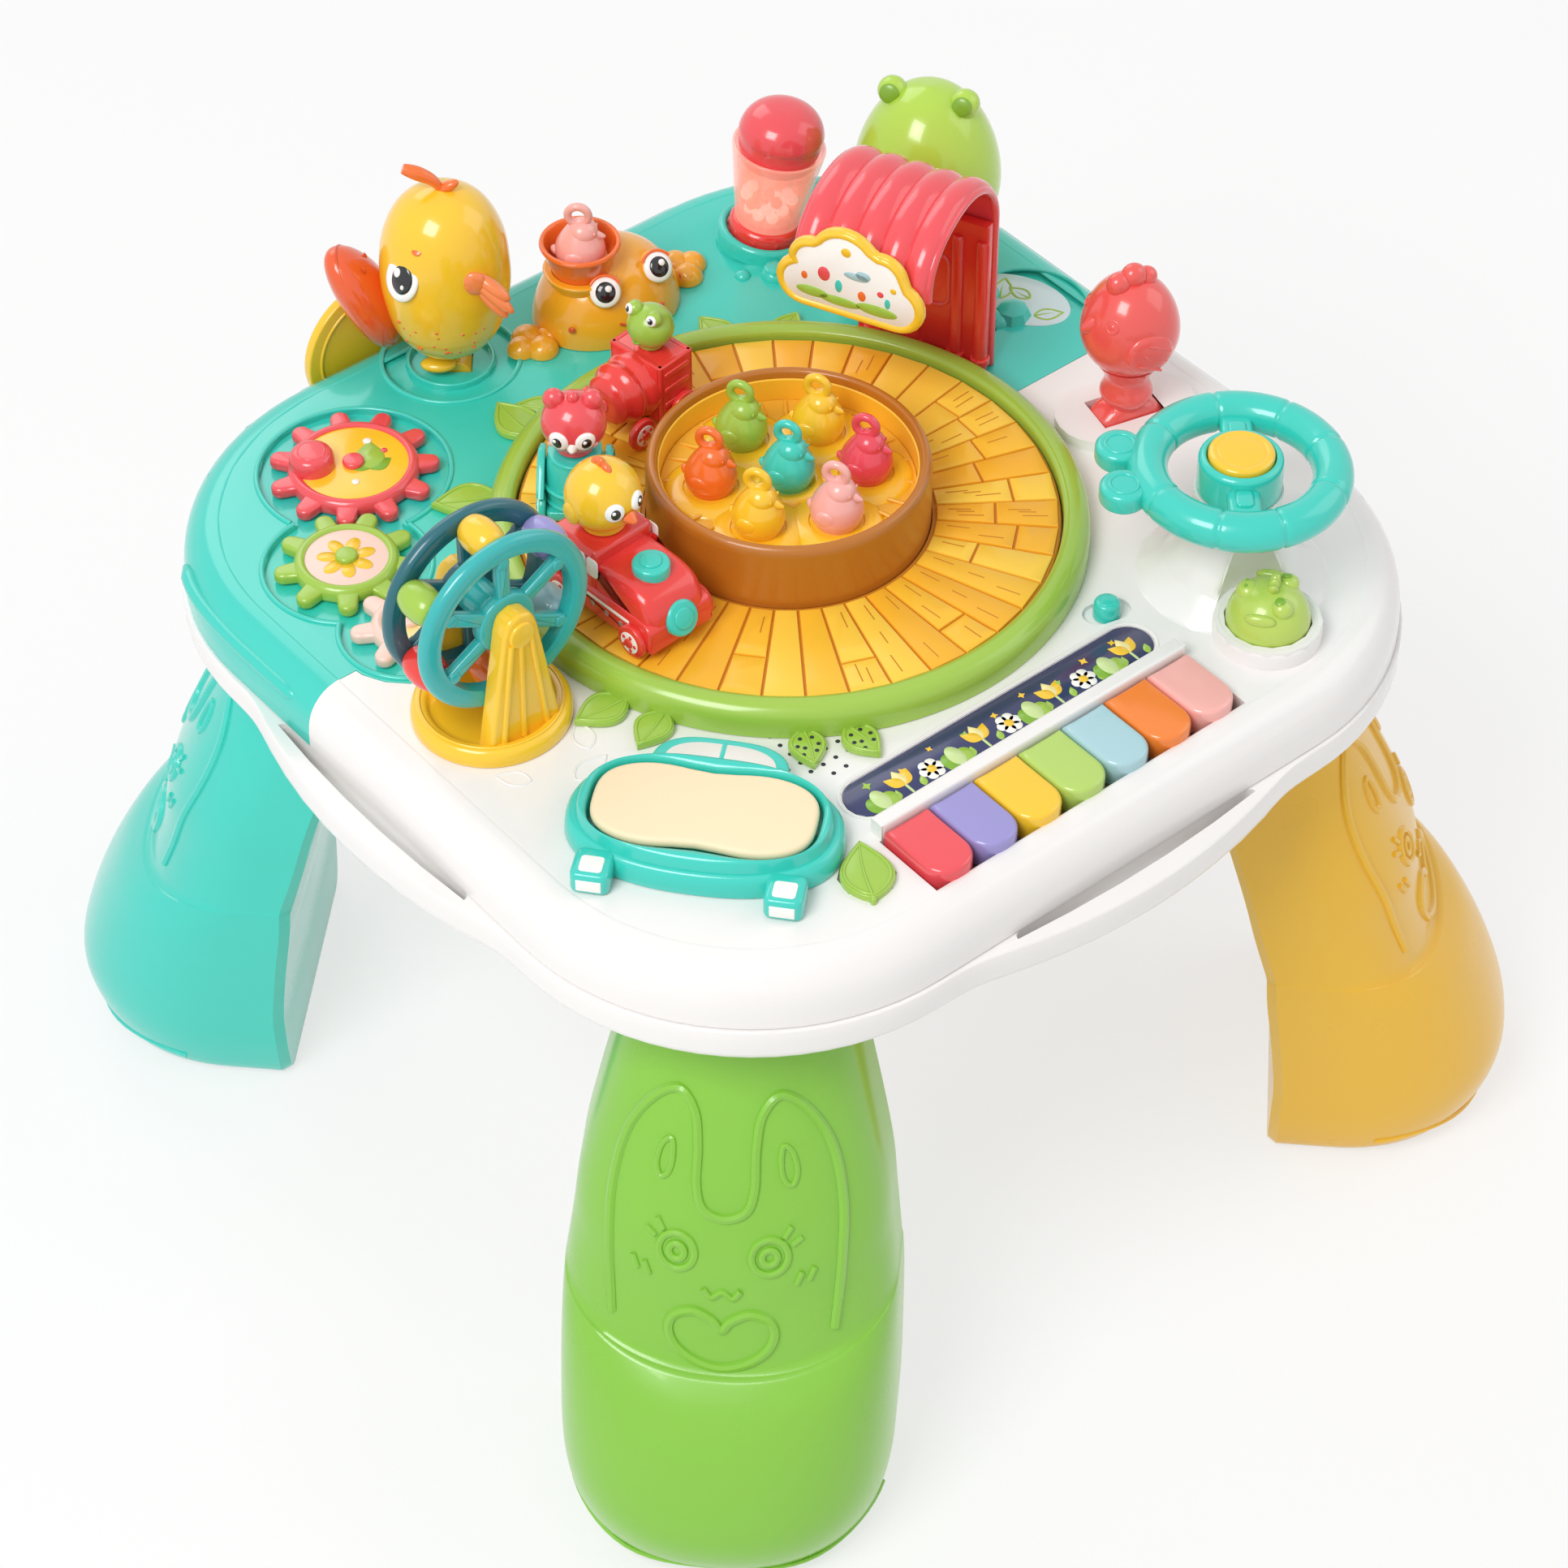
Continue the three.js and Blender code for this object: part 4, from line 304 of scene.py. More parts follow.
def makeSurfaceGroup():  # colour times 1 + (noise - 0.5) x change, roughness plus (noise - 0.5) x handling
    group = bpy.data.node_groups.new("mouldedSurface", "ShaderNodeTree")
    for name, kind, value in (("Colour", "Color", (0.8, 0.8, 0.8, 1)), ("Roughness", "Float", 0.35),
                              ("Grain Scale", "Float", surface["grain"]),
                              ("Shade Change", "Float", surface["shadeChange"]),
                              ("Handling", "Float", surface["handling"])):
        socket = group.interface.new_socket(name=name, in_out="INPUT", socket_type="NodeSocket" + kind)
        socket.default_value = value
    for name, kind in (("Colour", "Color"), ("Roughness", "Float"), ("Height", "Float")):
        group.interface.new_socket(name=name, in_out="OUTPUT", socket_type="NodeSocket" + kind)
    given = group.nodes.new("NodeGroupInput").outputs
    place = addNode(group, "TexCoord", {}).outputs["Object"]
    cloud, smear, grain = (
        addNode(group, "TexNoise", {"Vector": place, "Scale": scale, "Detail": surface["detail"]}).outputs["Fac"]
        for scale in (surface["cloudScale"], surface["smearScale"], given["Grain Scale"]))
    change = addNode(group, "Math", {0: cloud, 1: 0.5}, "SUBTRACT").outputs[0]
    amount = addNode(group, "Math", {0: change, 1: given["Shade Change"], 2: 1.0}, "MULTIPLY_ADD").outputs[0]
    tint = addNode(group, "VectorMath", {0: given["Colour"], "Scale": amount}, "SCALE").outputs[0]
    touch = addNode(group, "Math", {0: smear, 1: 0.5}, "SUBTRACT").outputs[0]
    rough = addNode(group, "Math", {0: touch, 1: given["Handling"], 2: given["Roughness"]}, "MULTIPLY_ADD").outputs[0]
    fill(group.nodes.new("NodeGroupOutput"), {"Colour": tint, "Roughness": rough, "Height": grain})
    return group


surfaceGroup = makeSurfaceGroup()


def linear(code):  # written colour to the renderer's own scale
    channels = np.array([(code >> s) & 255 for s in (16, 8, 0)]) / 255
    values = np.where(channels <= 0.04045, channels / 12.92, ((channels + 0.055) / 1.055) ** 2.4)
    return (*values.tolist(), 1.0)


def finishOf(name):  # the material of a finish, made when it is first asked for
    if name in materials:
        return materials[name]
    colour, roughness, coat, *rest = finishes[name]
    value = {**surface, **(rest[0] if rest else {})}
    material = materials[name] = bpy.data.materials.new(name)
    material.use_nodes = True
    tree = material.node_tree
    group = tree.nodes.new("ShaderNodeGroup")
    group.node_tree = surfaceGroup
    face = fill(group, {"Colour": linear(colour), "Roughness": roughness, "Grain Scale": value["grain"]}).outputs
    bump = addNode(tree, "Bump", {"Strength": value["bump"], "Distance": value["bumpHeight"],
                                  "Height": face["Height"]})
    shader = fill(tree.nodes["Principled BSDF"], {
        "Base Color": face["Colour"], "Roughness": face["Roughness"], "Normal": bump.outputs["Normal"],
        "Coat Weight": coat, "Coat Roughness": value["coatRoughness"], "IOR": value["ior"], "Alpha": value["alpha"]})
    if value["glow"]:  # painted light: emission that brightens the clear tube and its beads, which lie in shade under the closed cap
        fill(shader, {"Emission Color": linear(colour), "Emission Strength": value["glow"]})
    return material


def addObject(name, data):
    thing = bpy.data.objects.new(name, data)
    bpy.context.scene.collection.objects.link(thing)
    return thing


def makePiece(name, parts, body, stands=(), sharp=38):  # parts joined to one mesh, in metres
    verts = np.vstack([part[0] for part in parts]) * 0.001
    faces, owners, start, names = [], [], 0, []
    for points, polygons, finish in parts:
        if finish not in names:
            names.append(finish)
        faces.extend([[i + start for i in f] for f in polygons])
        owners.extend([names.index(finish)] * len(polygons))
        start += len(points)
    mesh = bpy.data.meshes.new(name)
    mesh.from_pydata(verts.tolist(), [], faces)
    for finish in names:
        mesh.materials.append(finishOf(finish))
    mesh.polygons.foreach_set("material_index", owners)
    work = bmesh.new()
    work.from_mesh(mesh)
    bmesh.ops.remove_doubles(work, verts=work.verts, dist=2e-6)
    bmesh.ops.dissolve_degenerate(work, edges=work.edges, dist=1e-7)
    bmesh.ops.recalc_face_normals(work, faces=work.faces)
    work.to_mesh(mesh)
    work.free()
    mesh.polygons.foreach_set("use_smooth", [True] * len(mesh.polygons))
    mesh.set_sharp_from_angle(angle=math.radians(sharp))
    piece = addObject(name, mesh)
    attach(piece, body)
    if stands:
        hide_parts(*stands)


def dressNode(name, finish, sharp=32):  # a CAD node that stays: merged for smooth shading, sharp where it turns
    node = nodes[name]
    node.data.materials.clear()
    node.data.materials.append(finishOf(finish))
    node.data.polygons.foreach_set("use_smooth", [True] * len(node.data.polygons))
    node.modifiers.new("weld", "WELD").merge_threshold = 0.00001
    node.modifiers.new("split", "EDGE_SPLIT").split_angle = math.radians(sharp)


# Camera, light and floor, in metres

view = dict(height=0.288, side=39.5, rise=41.3, distance=1.75, lens=5500 / 1932 * 36, shiftX=-5.8 / 1932,
            shiftY=-338 / 1932)
studio = dict(floor=0.9, floorReach=6, floorRoughness=0.7, floorGlow=0.66, world=0.54, lampAim=(0, 0, 0.25),
              lamps={"keyLamp": ((-1.7, -0.5, 2.3), 1.2, 43), "fillLamp": ((1.8, -1.0, 1.6), 1.6, 9),
                     "backLamp": ((0.4, 2.2, 2.0), 1.4, 10)})  # place, size, power


def stood(thing, place, back):  # at its place, its +Z along the direction back
    thing.location = place
    thing.rotation_mode = "QUATERNION"
    thing.rotation_quaternion = Vector(back).to_track_quat("Z", "Y")
    return thing


def makeCamera():  # target plus distance times the direction of the two angles
    side, rise = math.radians(view["side"]), math.radians(view["rise"])
    back = Vector((-math.sin(side) * math.cos(rise), -math.cos(side) * math.cos(rise), math.sin(rise)))
    lens = bpy.data.cameras.new("camera")
    lens.sensor_width = 36
    lens.lens = view["lens"]
    lens.shift_x, lens.shift_y = view["shiftX"], view["shiftY"]
    lens.clip_end = 20
    place = Vector((0, 0, view["height"])) + back * view["distance"]
    bpy.context.scene.camera = stood(addObject("camera", lens), place, back)


def seenRays(tree):  # one where the ray comes from the camera, a reflection or through something clear
    path = addNode(tree, "LightPath", {}).outputs
    total = addNode(tree, "Math", {0: path["Is Camera Ray"], 1: path["Is Glossy Ray"]}, "ADD")
    capped = addNode(tree, "Math", {0: total.outputs[0], 1: path["Is Transmission Ray"]}, "ADD")
    capped.use_clamp = True
    return capped.outputs[0]


def makeStage():  # a floor that is shaded for the object's shadow and glows a share of white where it is seen
    r, shade = studio["floorReach"], studio["floor"]
    mesh = bpy.data.meshes.new("floor")
    mesh.from_pydata([(-r, -r, 0), (r, -r, 0), (r, r, 0), (-r, r, 0)], [], [(0, 1, 2, 3)])
    material = bpy.data.materials.new("floorWhite")
    material.use_nodes = True
    tree = material.node_tree
    plain = fill(tree.nodes["Principled BSDF"],
                 {"Base Color": (shade, shade, shade, 1), "Roughness": studio["floorRoughness"]})
    glow = addNode(tree, "Emission", {"Strength": 1.0})
    share = addNode(tree, "Math", {0: seenRays(tree), 1: studio["floorGlow"]}, "MULTIPLY")
    mix = addNode(tree, "MixShader", {"Fac": share.outputs[0], 1: plain.outputs[0], 2: glow.outputs[0]})
    fill(tree.nodes["Material Output"], {"Surface": mix.outputs[0]})
    mesh.materials.append(material)
    addObject("floor", mesh)


def makeLight():  # a soft world, white where it is seen, and three area lamps
    world = bpy.context.scene.world = bpy.data.worlds.new("studio")
    world.use_nodes = True
    tree = world.node_tree
    soft = fill(tree.nodes["Background"], {"Color": (1, 1, 1, 1), "Strength": studio["world"]})
    plain = addNode(tree, "Background", {"Color": (1, 1, 1, 1), "Strength": 1.0})
    mix = addNode(tree, "MixShader", {"Fac": seenRays(tree), 1: soft.outputs[0], 2: plain.outputs[0]})
    fill(tree.nodes["World Output"], {"Surface": mix.outputs[0]})
    for name, (place, size, power) in studio["lamps"].items():
        light = bpy.data.lights.new(name, "AREA")
        light.size, light.energy = size, power
        stood(addObject(name, light), place, Vector(place) - Vector(studio["lampAim"]))


makeCamera()
makeStage()
makeLight()
bpy.context.scene.view_settings.view_transform = "Standard"
print("camera and studio ready")

# Case: rounded square skins over the model's own walls

case = dict(half=203.0, foot=236.0, lobe=95.0, split=252.0, skirt=1.5, proud=0.25, tealLeft=42.0, tealRight=6.0,
            swell=12.9, swellReach=78.0)


def squarePath(half, steps=18, straight=24):  # four straight runs and four corner arcs, with outward normals
    lobe, radius = case["lobe"], half - case["lobe"]
    run = np.linspace(-lobe, lobe, straight, endpoint=False)
    a = np.linspace(0, quarter, steps, endpoint=False)
    bend = np.column_stack([np.cos(a), np.sin(a)])
    local = np.vstack([np.column_stack([np.full(straight, half), run]), lobe + radius * bend])
    out = np.vstack([np.tile([1.0, 0.0], (straight, 1)), bend])
    return [np.vstack([moved(line, turn=quarter * i) for i in range(4)]) for line in (local, out)]


def splitPath(white):  # the white front or the teal back of the path, ending exactly at the colour change
    points, normals = squarePath(case["half"] - case["skirt"])
    rows = []
    for i in range(len(points)):
        j = (i + 1) % len(points)
        rows.append((points[i], normals[i]))
        edge = case["tealRight"] if points[i][0] > 0 else case["tealLeft"]
        low, high = points[i][1] - edge, points[j][1] - edge
        if low * high < 0:
            t = low / (low - high)
            rows.append((points[i] * (1 - t) + points[j] * t, normals[i]))
    p, n = (np.array([row[k] for row in rows]) for k in (0, 1))
    edge = np.where(p[:, 0] > 0, case["tealRight"], case["tealLeft"])
    keep = (p[:, 1] <= edge + 1e-6) if white else (p[:, 1] >= edge - 1e-6)
    order = np.flatnonzero(keep)
    gap = np.flatnonzero(np.diff(order) > 1)
    if len(gap):
        order = np.roll(order, -(gap[0] + 1))
    return p[order], n[order]


def carried(p, n, loop, finish, closed=False):  # each point of the path less its normal times the profile's inset
    xy = p[:, None] - n[:, None] * loop[None, :, 0, None]
    return grid(np.dstack([xy, np.repeat(loop[None, :, 1], len(p), 0)]), finish, closeRows=closed)


def shoulderSkin(white, finish):  # shoulder profile of inset and height carried along the wall
    outer = profile([(0, deck - 19), (0.5, deck - 14), (2.0, deck - 9), (5.2, deck - 4.4), (9.6, deck - 1.3),
                     (15, deck - 0.02)], 4, [(0, case["split"] + 0.3), (0, deck - 21)])
    outer[:, 0] -= case["proud"] * np.linspace(1, 0.2, len(outer))
    outer[:, 1] += np.where(outer[:, 1] > deck - 15, 0.12, 0)
    return carried(*splitPath(white), np.vstack([outer, outer[::-1] + np.array([1.2, -0.6])]), finish)


def handlePath(half):  # the wall swells between the corners into a carry handle on each side
    p, n = squarePath(half, 18, 48)
    along = p[:, 0] * -n[:, 1] + p[:, 1] * n[:, 0]
    inRun = np.maximum(np.abs(n[:, 0]), np.abs(n[:, 1])) > 0.9999
    bow = case["swell"] * (1 - (along / case["swellReach"]) ** 2)
    swell = np.where(inRun, np.maximum((bow + np.sqrt(bow ** 2 + 6.25)) / 2 - 0.25, 0), 0)
    return p + n * swell[:, None], n


def lowerSkin(finish):  # wall profile with rounded rims carried along the swelling path
    low = case["foot"]
    a = np.linspace(0, quarter, 7)
    foot = np.column_stack([5 - 5 * np.sin(a), low + 5 - 5 * np.cos(a)])
    outer = np.vstack([[(7.5, low)], foot, [(0, 246), (0, 250.9), (0.25, 251.5), (0.9, 251.8)]])
    outer[:, 0] -= case["proud"]
    outer[:, 1] -= np.where(outer[:, 1] < 240, 0.15, 0)
    inner = outer[::-1] + np.column_stack([np.full(len(outer), 1.4), np.where(outer[::-1, 1] > 245, -0.5, 1.2)])
    return carried(*handlePath(case["half"]), np.vstack([outer, inner]), finish, closed=True)


pedestal = dict(steps=64, cupOuter=21.2, cupReach=7.5)
keyLedge = dict(x=-7, y=-150.8, length=151.6, width=6.6, height=7.3)


def makePedestal():  # column under the steering wheel, pushed back where the cup of the roller ball stands
    rollerX, rollerY = spots["roller"]
    line = profile([(38.6, -0.4), (33, 2.6), (27.5, 8), (22, 18), (18.2, 29), (17.3, 37), (17.3, 43.4)], 5,
                   after=[(0.001, 43.4)])
    points, faces, finish = shifted(lathe(line, "white", pedestal["steps"]), *spots["wheel"], deck)
    away = points[:, :2] - np.array(spots["roller"])
    far = np.linalg.norm(away, axis=1)
    inside = (far < pedestal["cupOuter"]) & (points[:, 2] > deck + pedestal["cupReach"])
    points[inside, :2] += (away / np.maximum(far, 1e-6)[:, None] * (pedestal["cupOuter"] - far)[:, None])[inside]
    cup = lathe([(21.2, -0.3), (21.2, 5.6), (20.6, 7.4), (19.2, 8.3), (17.8, 7.6), (17.25, 5.5), (17.25, 0)],
                "white", 48)
    cup = shifted(cup, rollerX, rollerY, deck)
    makePiece("pedestalSkin", [(points, faces, finish), cup], "case", sharp=70)


def dressCase():
    for name, finish in (("upper_case", "white"), ("teal_cover", "teal"), ("lower_case", "white"),
                         ("battery_door", "white"), ("speaker_unit", "shadow"), ("circuit_board", "boardGreen")):
        dressNode(name, finish)
    makePiece("lowerShell", [lowerSkin("white")], "case", sharp=60)
    makePiece("whiteShoulder", [shoulderSkin(True, "white")], "case", sharp=60)
    makePiece("tealShoulder", [shoulderSkin(False, "teal")], "case", sharp=60)
    makePedestal()
    ledge = block(keyLedge["length"], keyLedge["width"], deck - 0.5, deck + keyLedge["height"], "white", 1.2, 1.4)
    makePiece("keyLedge", [shifted(ledge, keyLedge["x"], keyLedge["y"], 0)], "case")


# Legs: D-shaped sections between table foot and case, the toe standing out as a rounded shoe

leg = dict(height=235.7, topHalf=32, footHalf=65, topReach=208, toeReach=305, topDepth=54, toeDepth=97, toeLine=0.395,
           toeRise=0.05, toeShare=0.41, bow=0.88, straight=0.3)
shoeRows = [[0, 0.66, 0.76, 1], [0.008, 0.8, 0.84, 1], [0.03, 0.9, 0.92, 1], [0.09, 0.98, 0.99, 1], [0.16, 1, 1, 1],
            [0.26, 1, 0.92, 0.95], [0.35, 0.99, 0.8, 0.89], [0.4, 0.97, 0.685, 0.87], [0.405, 0.965, 0.655, 0.87]]
shankRows = [[0.415, 0.95, 0.63, 0.86], [0.5, 0.88, 0.565, 0.75], [0.61, 0.78, 0.49, 0.62], [0.8, 0.45, 0.27, 0.34],
             [0.92, 0.17, 0.1, 0.12], [1, 0, 0, 0]]
legTable = np.vstack([curve(shoeRows, 5), curve(shankRows, 9)])  # shares of height, width, outer and inner reach
legLooks = (("back_right", 45, "orange", "orange"), ("back_left", 135, "teal", "teal"),
            ("front_left", 225, "legGreen", "leg_green"), ("front_right", 315, "mustard", "mustard"))
rabbit = dict(  # relief on the front of a leg, as distance across and height; tubes of these thicknesses
    headThick=2.1, heartThick=2.2, mouthThick=1.5, earThick=1.3, eyeThick=1.7, eyeRadii=(6.8, 2.9),
    eyeAt=(17.3, 142.5),
    head=[(-42, 108), (-43.5, 135), (-43, 157), (-38, 178), (-29, 193), (-19, 200), (-12.5, 194), (-10.8, 182),
          (-10.8, 168), (-8, 159.5)], brow=(0, 156.5),
    heart=[(3.5, 114.5), (10.5, 117.8), (17.5, 115.3), (20, 109.5), (17.5, 102.5), (10, 96.8)],
    heartTop=(0, 110.5), heartTip=(0, 94.3), mouth=[(-7, 128.5), (-4, 125), (0, 127.6), (4, 125), (7, 128.5)],
    ear=[(24.5, 168.5), (26, 173), (24, 180), (20.5, 182.5), (20, 176), (21.5, 170.5)],
    lashes=(((22.5, 149.5), (25, 153.5)), ((25.5, 146.5), (29, 149)), ((27.5, 130.5), (29.5, 135.5)),
            ((32, 131.5), (34, 136.5))))


def legSize(t):  # inner and outer reach and half width at a share of the height
    width, outer, inner = (np.interp(t, legTable[:, 0], legTable[:, k]) for k in (1, 2, 3))
    topInner = leg["topReach"] - leg["topDepth"]
    return (topInner + inner * (leg["toeReach"] - leg["toeDepth"] - topInner),
            leg["topReach"] + outer * (leg["toeReach"] - leg["topReach"]),
            leg["topHalf"] + width * (leg["footHalf"] - leg["topHalf"]))


def toeLine(side):  # the line rises with the square of the distance across
    return leg["toeLine"] + leg["toeRise"] * side ** 2


def toeWarp(t, side):  # shares below and above the toe stretched so that they meet at its line
    cut, line = leg["toeShare"], toeLine(side)
    return np.where(t <= cut, t * line / cut, line + (t - cut) / (1 - cut) * (1 - line))


def legFront(height, across):  # point on the front of the leg for a height and a distance across
    share = height / leg["height"]
    line = toeLine(across / legSize(share)[2])
    t = leg["toeShare"] + (share - line) / (1 - line) * (1 - leg["toeShare"])
    inner, outer, half = legSize(t)
    side = np.clip(across / half, -1, 1)
    bow = np.sqrt(1 - np.abs(side) ** (2 / leg["bow"])) ** leg["bow"]
    straight = inner + (outer - inner) * leg["straight"]
    return np.stack([straight + (outer - straight) * bow, across + 0 * bow, height + 0 * bow], -1)


def legRelief(points, finish, radius, closed=False):  # a tube along a smooth line, sunk into the front of the leg
    line = curve(points, 6, closed)
    sunk = np.array([0.3 * radius - 0.3, 0, 0])
    return tube(legFront(line[:, 1], line[:, 0]) - sunk, radius, finish, 8, closed)


def rabbitParts(finish):
    head, heart = rabbit["head"], rabbit["heart"]
    parts = [legRelief(head + [rabbit["brow"]] + mirrored(head), finish, rabbit["headThick"]),
             legRelief([rabbit["heartTop"]] + heart + [rabbit["heartTip"]] + mirrored(heart), finish,
                       rabbit["heartThick"], closed=True),
             legRelief(rabbit["mouth"], finish, rabbit["mouthThick"])]
    eyeX, eyeZ = rabbit["eyeAt"]
    for side in (-1, 1):
        for radius in rabbit["eyeRadii"]:
            ring = ellipse(radius, radius, 8, side * eyeX, eyeZ)
            parts.append(legRelief(ring, finish, rabbit["eyeThick"], closed=True))
        parts.append(legRelief([(side * x, z) for x, z in rabbit["ear"]], finish, rabbit["earThick"], closed=True))
        for line in rabbit["lashes"]:
            parts.append(legRelief([(side * x, z) for x, z in line], finish, rabbit["earThick"]))
    return parts


def legParts(finish):  # section: bow of |sin a| ** 0.88 and cos a ** 0.88 in front, five points behind
    t = legTable[:, 0][:, None]
    inner, outer, half = (v[:, None] for v in legSize(legTable[:, 0]))
    a = np.linspace(-quarter, quarter, 45)[None]
    side = powered(np.sin(a), leg["bow"])
    straight = inner + (outer - inner) * leg["straight"]
    reach = straight + (outer - straight) * np.maximum(np.cos(a), 0) ** leg["bow"]
    sections = [np.dstack([reach, half * side, leg["height"] * toeWarp(t, side)])]
    for x, y in ((0.06, 1), (0, 0.94), (0, 0), (0, -0.94), (0.06, -1)):
        height = leg["height"] * toeWarp(t, np.full((1, 1), float(y)))
        sections.append(np.dstack([inner + x * half, half * y, height]))
    shell = grid(np.concatenate(sections, axis=1), finish)
    sole = np.linspace(-1.35, 1.35, 31)
    inner, outer, half = legSize(np.array(0.045))
    seam = np.column_stack([inner + (outer - inner) * (0.3 + 0.7 * np.cos(sole) ** leg["bow"]) + 0.1,
                            half * powered(np.sin(sole), leg["bow"]), 10.5 + 1.3 * np.cos(6 * sole)])
    return [shell, tube(seam, 0.9, finish, 8)] + rabbitParts(finish)


def makeLegs():
    for corner, angle, finish, slot in legLooks:
        makePiece("legSmooth_" + corner, placed(legParts(finish), turn=math.radians(angle)), "case",
                  ["leg_" + corner], sharp=42)


dressCase()
makeLegs()
print("case and legs dressed")

# Turntable, ring, drum and the birds in it

track = dict(planks=40, inner=58.0, outer=105.6, gap=0.9, low=286.2, top=288.0, bed=282.4, bedTop=286.8)
ringLeaves = ((103, 30, 0.8), (113, -25, 1.1), (132, 20, 1.15), (62, 30, 0.9), (53, -30, 0.8), (-161, -25, 1),
              (-153, -5, 0.9), (-127, 10, 0.85), (-119, 30, 0.85))  # bearing, lean and size
drum = dict(birdTurn=28, birdRing=30.5, birdFoot=24.6, dishLow=22.3, dish=50.3)
birdLooks = (("teal", "teal"), ("yellow", "yellow"), ("green", "lime"), ("orange", "orange"), ("amber", "yellow"),
             ("pink", "pink"), ("rose", "rose"))
bowlBird = dict(x=17, y=155, foot=30.1, turn=45)


def plank(start, end, finish, lift):  # wedge between two radii, half a gap narrower on each side
    half = math.pi / track["planks"]
    low = np.column_stack([np.linspace(r0, r1, 5) for r0, r1 in (
        (start, end), [track["gap"] / 2 - r * math.sin(half) for r in (start, end)])])
    return slab(np.vstack([low, low[::-1] * np.array([1, -1])]), track["low"], track["top"] - lift, finish, 0.7, 2)


def grooves(start, end, finish):  # short grain lines scratched along a plank
    top = track["top"]
    return [shifted(block(length, 0.5, top - 0.06, top + 0.03, finish, 0.02, 0.2), x, y, 0)
            for x, y, length in ((start + 9, 1.6, 9), (end - 9, -1.9, 10), ((start + end) / 2, 0.3, 7))]


def makeTurntable():  # every third plank and two runs of them are cut across at a random radius
    chance = np.random.default_rng(7)
    inner, outer, bed = track["inner"], track["outer"], track["bed"]
    # the bed under the planks is painted dark: painted shade seen through the gaps between planks and at the ring
    parts = [lathe([(56.4, bed), (106.9, bed), (106.9, bed + 4), (106.4, track["bedTop"]), (56.4, track["bedTop"])],
                   "tileDark", 96, ring=True)]
    for i in range(track["planks"]):
        angle = fullTurn * (i + 0.5) / track["planks"]
        shade = ("tile", "tileWarm", "tilePale")[chance.integers(3)]
        cross = chance.uniform(74, 90)
        isCut = i % 3 == 0 or 6 < i < 12 or i > 33
        for start, end in [(inner, cross), (cross + track["gap"], outer)] if isCut else [(inner, outer)]:
            parts.append(turned(plank(start, end, shade, chance.uniform(0, 0.12)), angle))
            if chance.uniform() > 0.35:
                parts += [turned(mark, angle) for mark in grooves(start, end, "tileDark")[:chance.integers(1, 4)]]
    makePiece("turntablePlanks", parts, "turntable", ["turntable"], sharp=30)


def makeRing():
    line = profile([(118.5, 0.4), (118.5, 4), (118.3, 7.4), (117.2, 10.4), (114.8, 12.7), (112, 13.45), (109.6, 13.2),
                    (108, 12), (107.6, 10.4)], 4, [(107.6, 0.4)])
    parts = [shifted(lathe(line, "lime", 120, ring=True), 0, 0, deck)]
    for bearing, lean, size in ringLeaves:
        leaves = placed(leafPlate(24 * size, 17 * size, 3.9), 115.5, 0, deck + 0.3, math.radians(lean))
        parts += placed(leaves, turn=math.radians(bearing))
    makePiece("trackRing", parts, "case", ["track_rim"], sharp=50)


def makeDrum():
    outer = profile([(56, 2.2), (56, 30), (55.8, 35), (54.8, 37.3), (53.2, 38), (51.9, 37.3), (51.2, 35)], 5,
                    [(62, 0.4), (62, 2)], [(51, 22), (0.001, 22), (0.001, 19), (51, 19), (51.5, 0.4)])
    lining = lathe([(51.05, 21), (51.05, 34.6), (50.4, 34.2), (50.4, 21)], "tile", 96, ring=True)
    makePiece("drumWall", placed([lathe(outer, "drumBrown", 96), lining], z=deck), "case",
              ["centre_drum"], sharp=50)
    petalLine = [(0.001, 3.2), (10.6, 3.2), (11.0, 3.9), (12.6, 4.0), (16.6, 3.2), (18.6, 2.2), (18.9, 1)]
    middleLine = [(0.001, 3.0), (9.8, 3.0), (10.4, 3.6), (12, 3.7), (13.4, 2.8), (14, 1)]
    parts = [disc(drum["dish"], 0, 2.2, "dishGold", 0.5, 72)]
    for i in range(6):
        angle = math.radians(drum["birdTurn"]) + fullTurn * i / 6
        x, y = drum["birdRing"] * math.cos(angle), drum["birdRing"] * math.sin(angle)
        parts.append(shifted(lathe(petalLine, "yellow", 40), x, y, 0))
        for turn in (-0.42, -0.14, 0.14, 0.42):
            c, s = math.cos(angle + turn), math.sin(angle + turn)
            parts.append(tube([(40 * c, 40 * s, 3.3), (48.6 * c, 48.6 * s, 2.2)], 0.8, "dishGold", 8))
    parts.append(lathe(middleLine, "yellow", 40))
    makePiece("flowerDish", placed(parts, z=deck + drum["dishLow"]), "case", ["petal_dish"], sharp=50)


def birdParts(finish):  # chubby bird: egg body, head leaning forward, wings, beak and a ring to lift it by
    body = lathe(curve([(0.001, 0), (7.6, 0.1), (8.6, 1.2), (9.9, 4), (10.5, 7.4), (9.9, 11.2), (8.2, 14.6),
                        (6.2, 17.6), (4.4, 20), (2.8, 21.6), (0.001, 22.3)], 4), finish, 32)
    loop = shifted(turned(hoop(4.3, 1.75, finish, 24, 10), quarter, "y"), 0, 0.4, 24.9)
    beak = lathe([(0.001, 4.4), (0.8, 3.8), (2.3, 0), (0.001, -0.5)], finish, 16)
    parts = [body, egg((6.6, 6.4, 6.0), finish, 24, (0, -1.2, 16.6)), loop,
             aimed(beak, (0, -1, -0.15), (0, -6.6, 15.4)),
             shifted(turned(egg((3, 4.2, 2), finish, 20), 0.5, "x"), 0, 8.6, 6)]
    for side in (-1, 1):
        parts += [egg((1.6, 4.4, 3.6), finish, 20, (side * 9.3, 1.2, 8.6)),
                  egg((0.85, 0.5, 0.95), finish, 12, (side * 3.4, -6.6, 18))]
    return parts


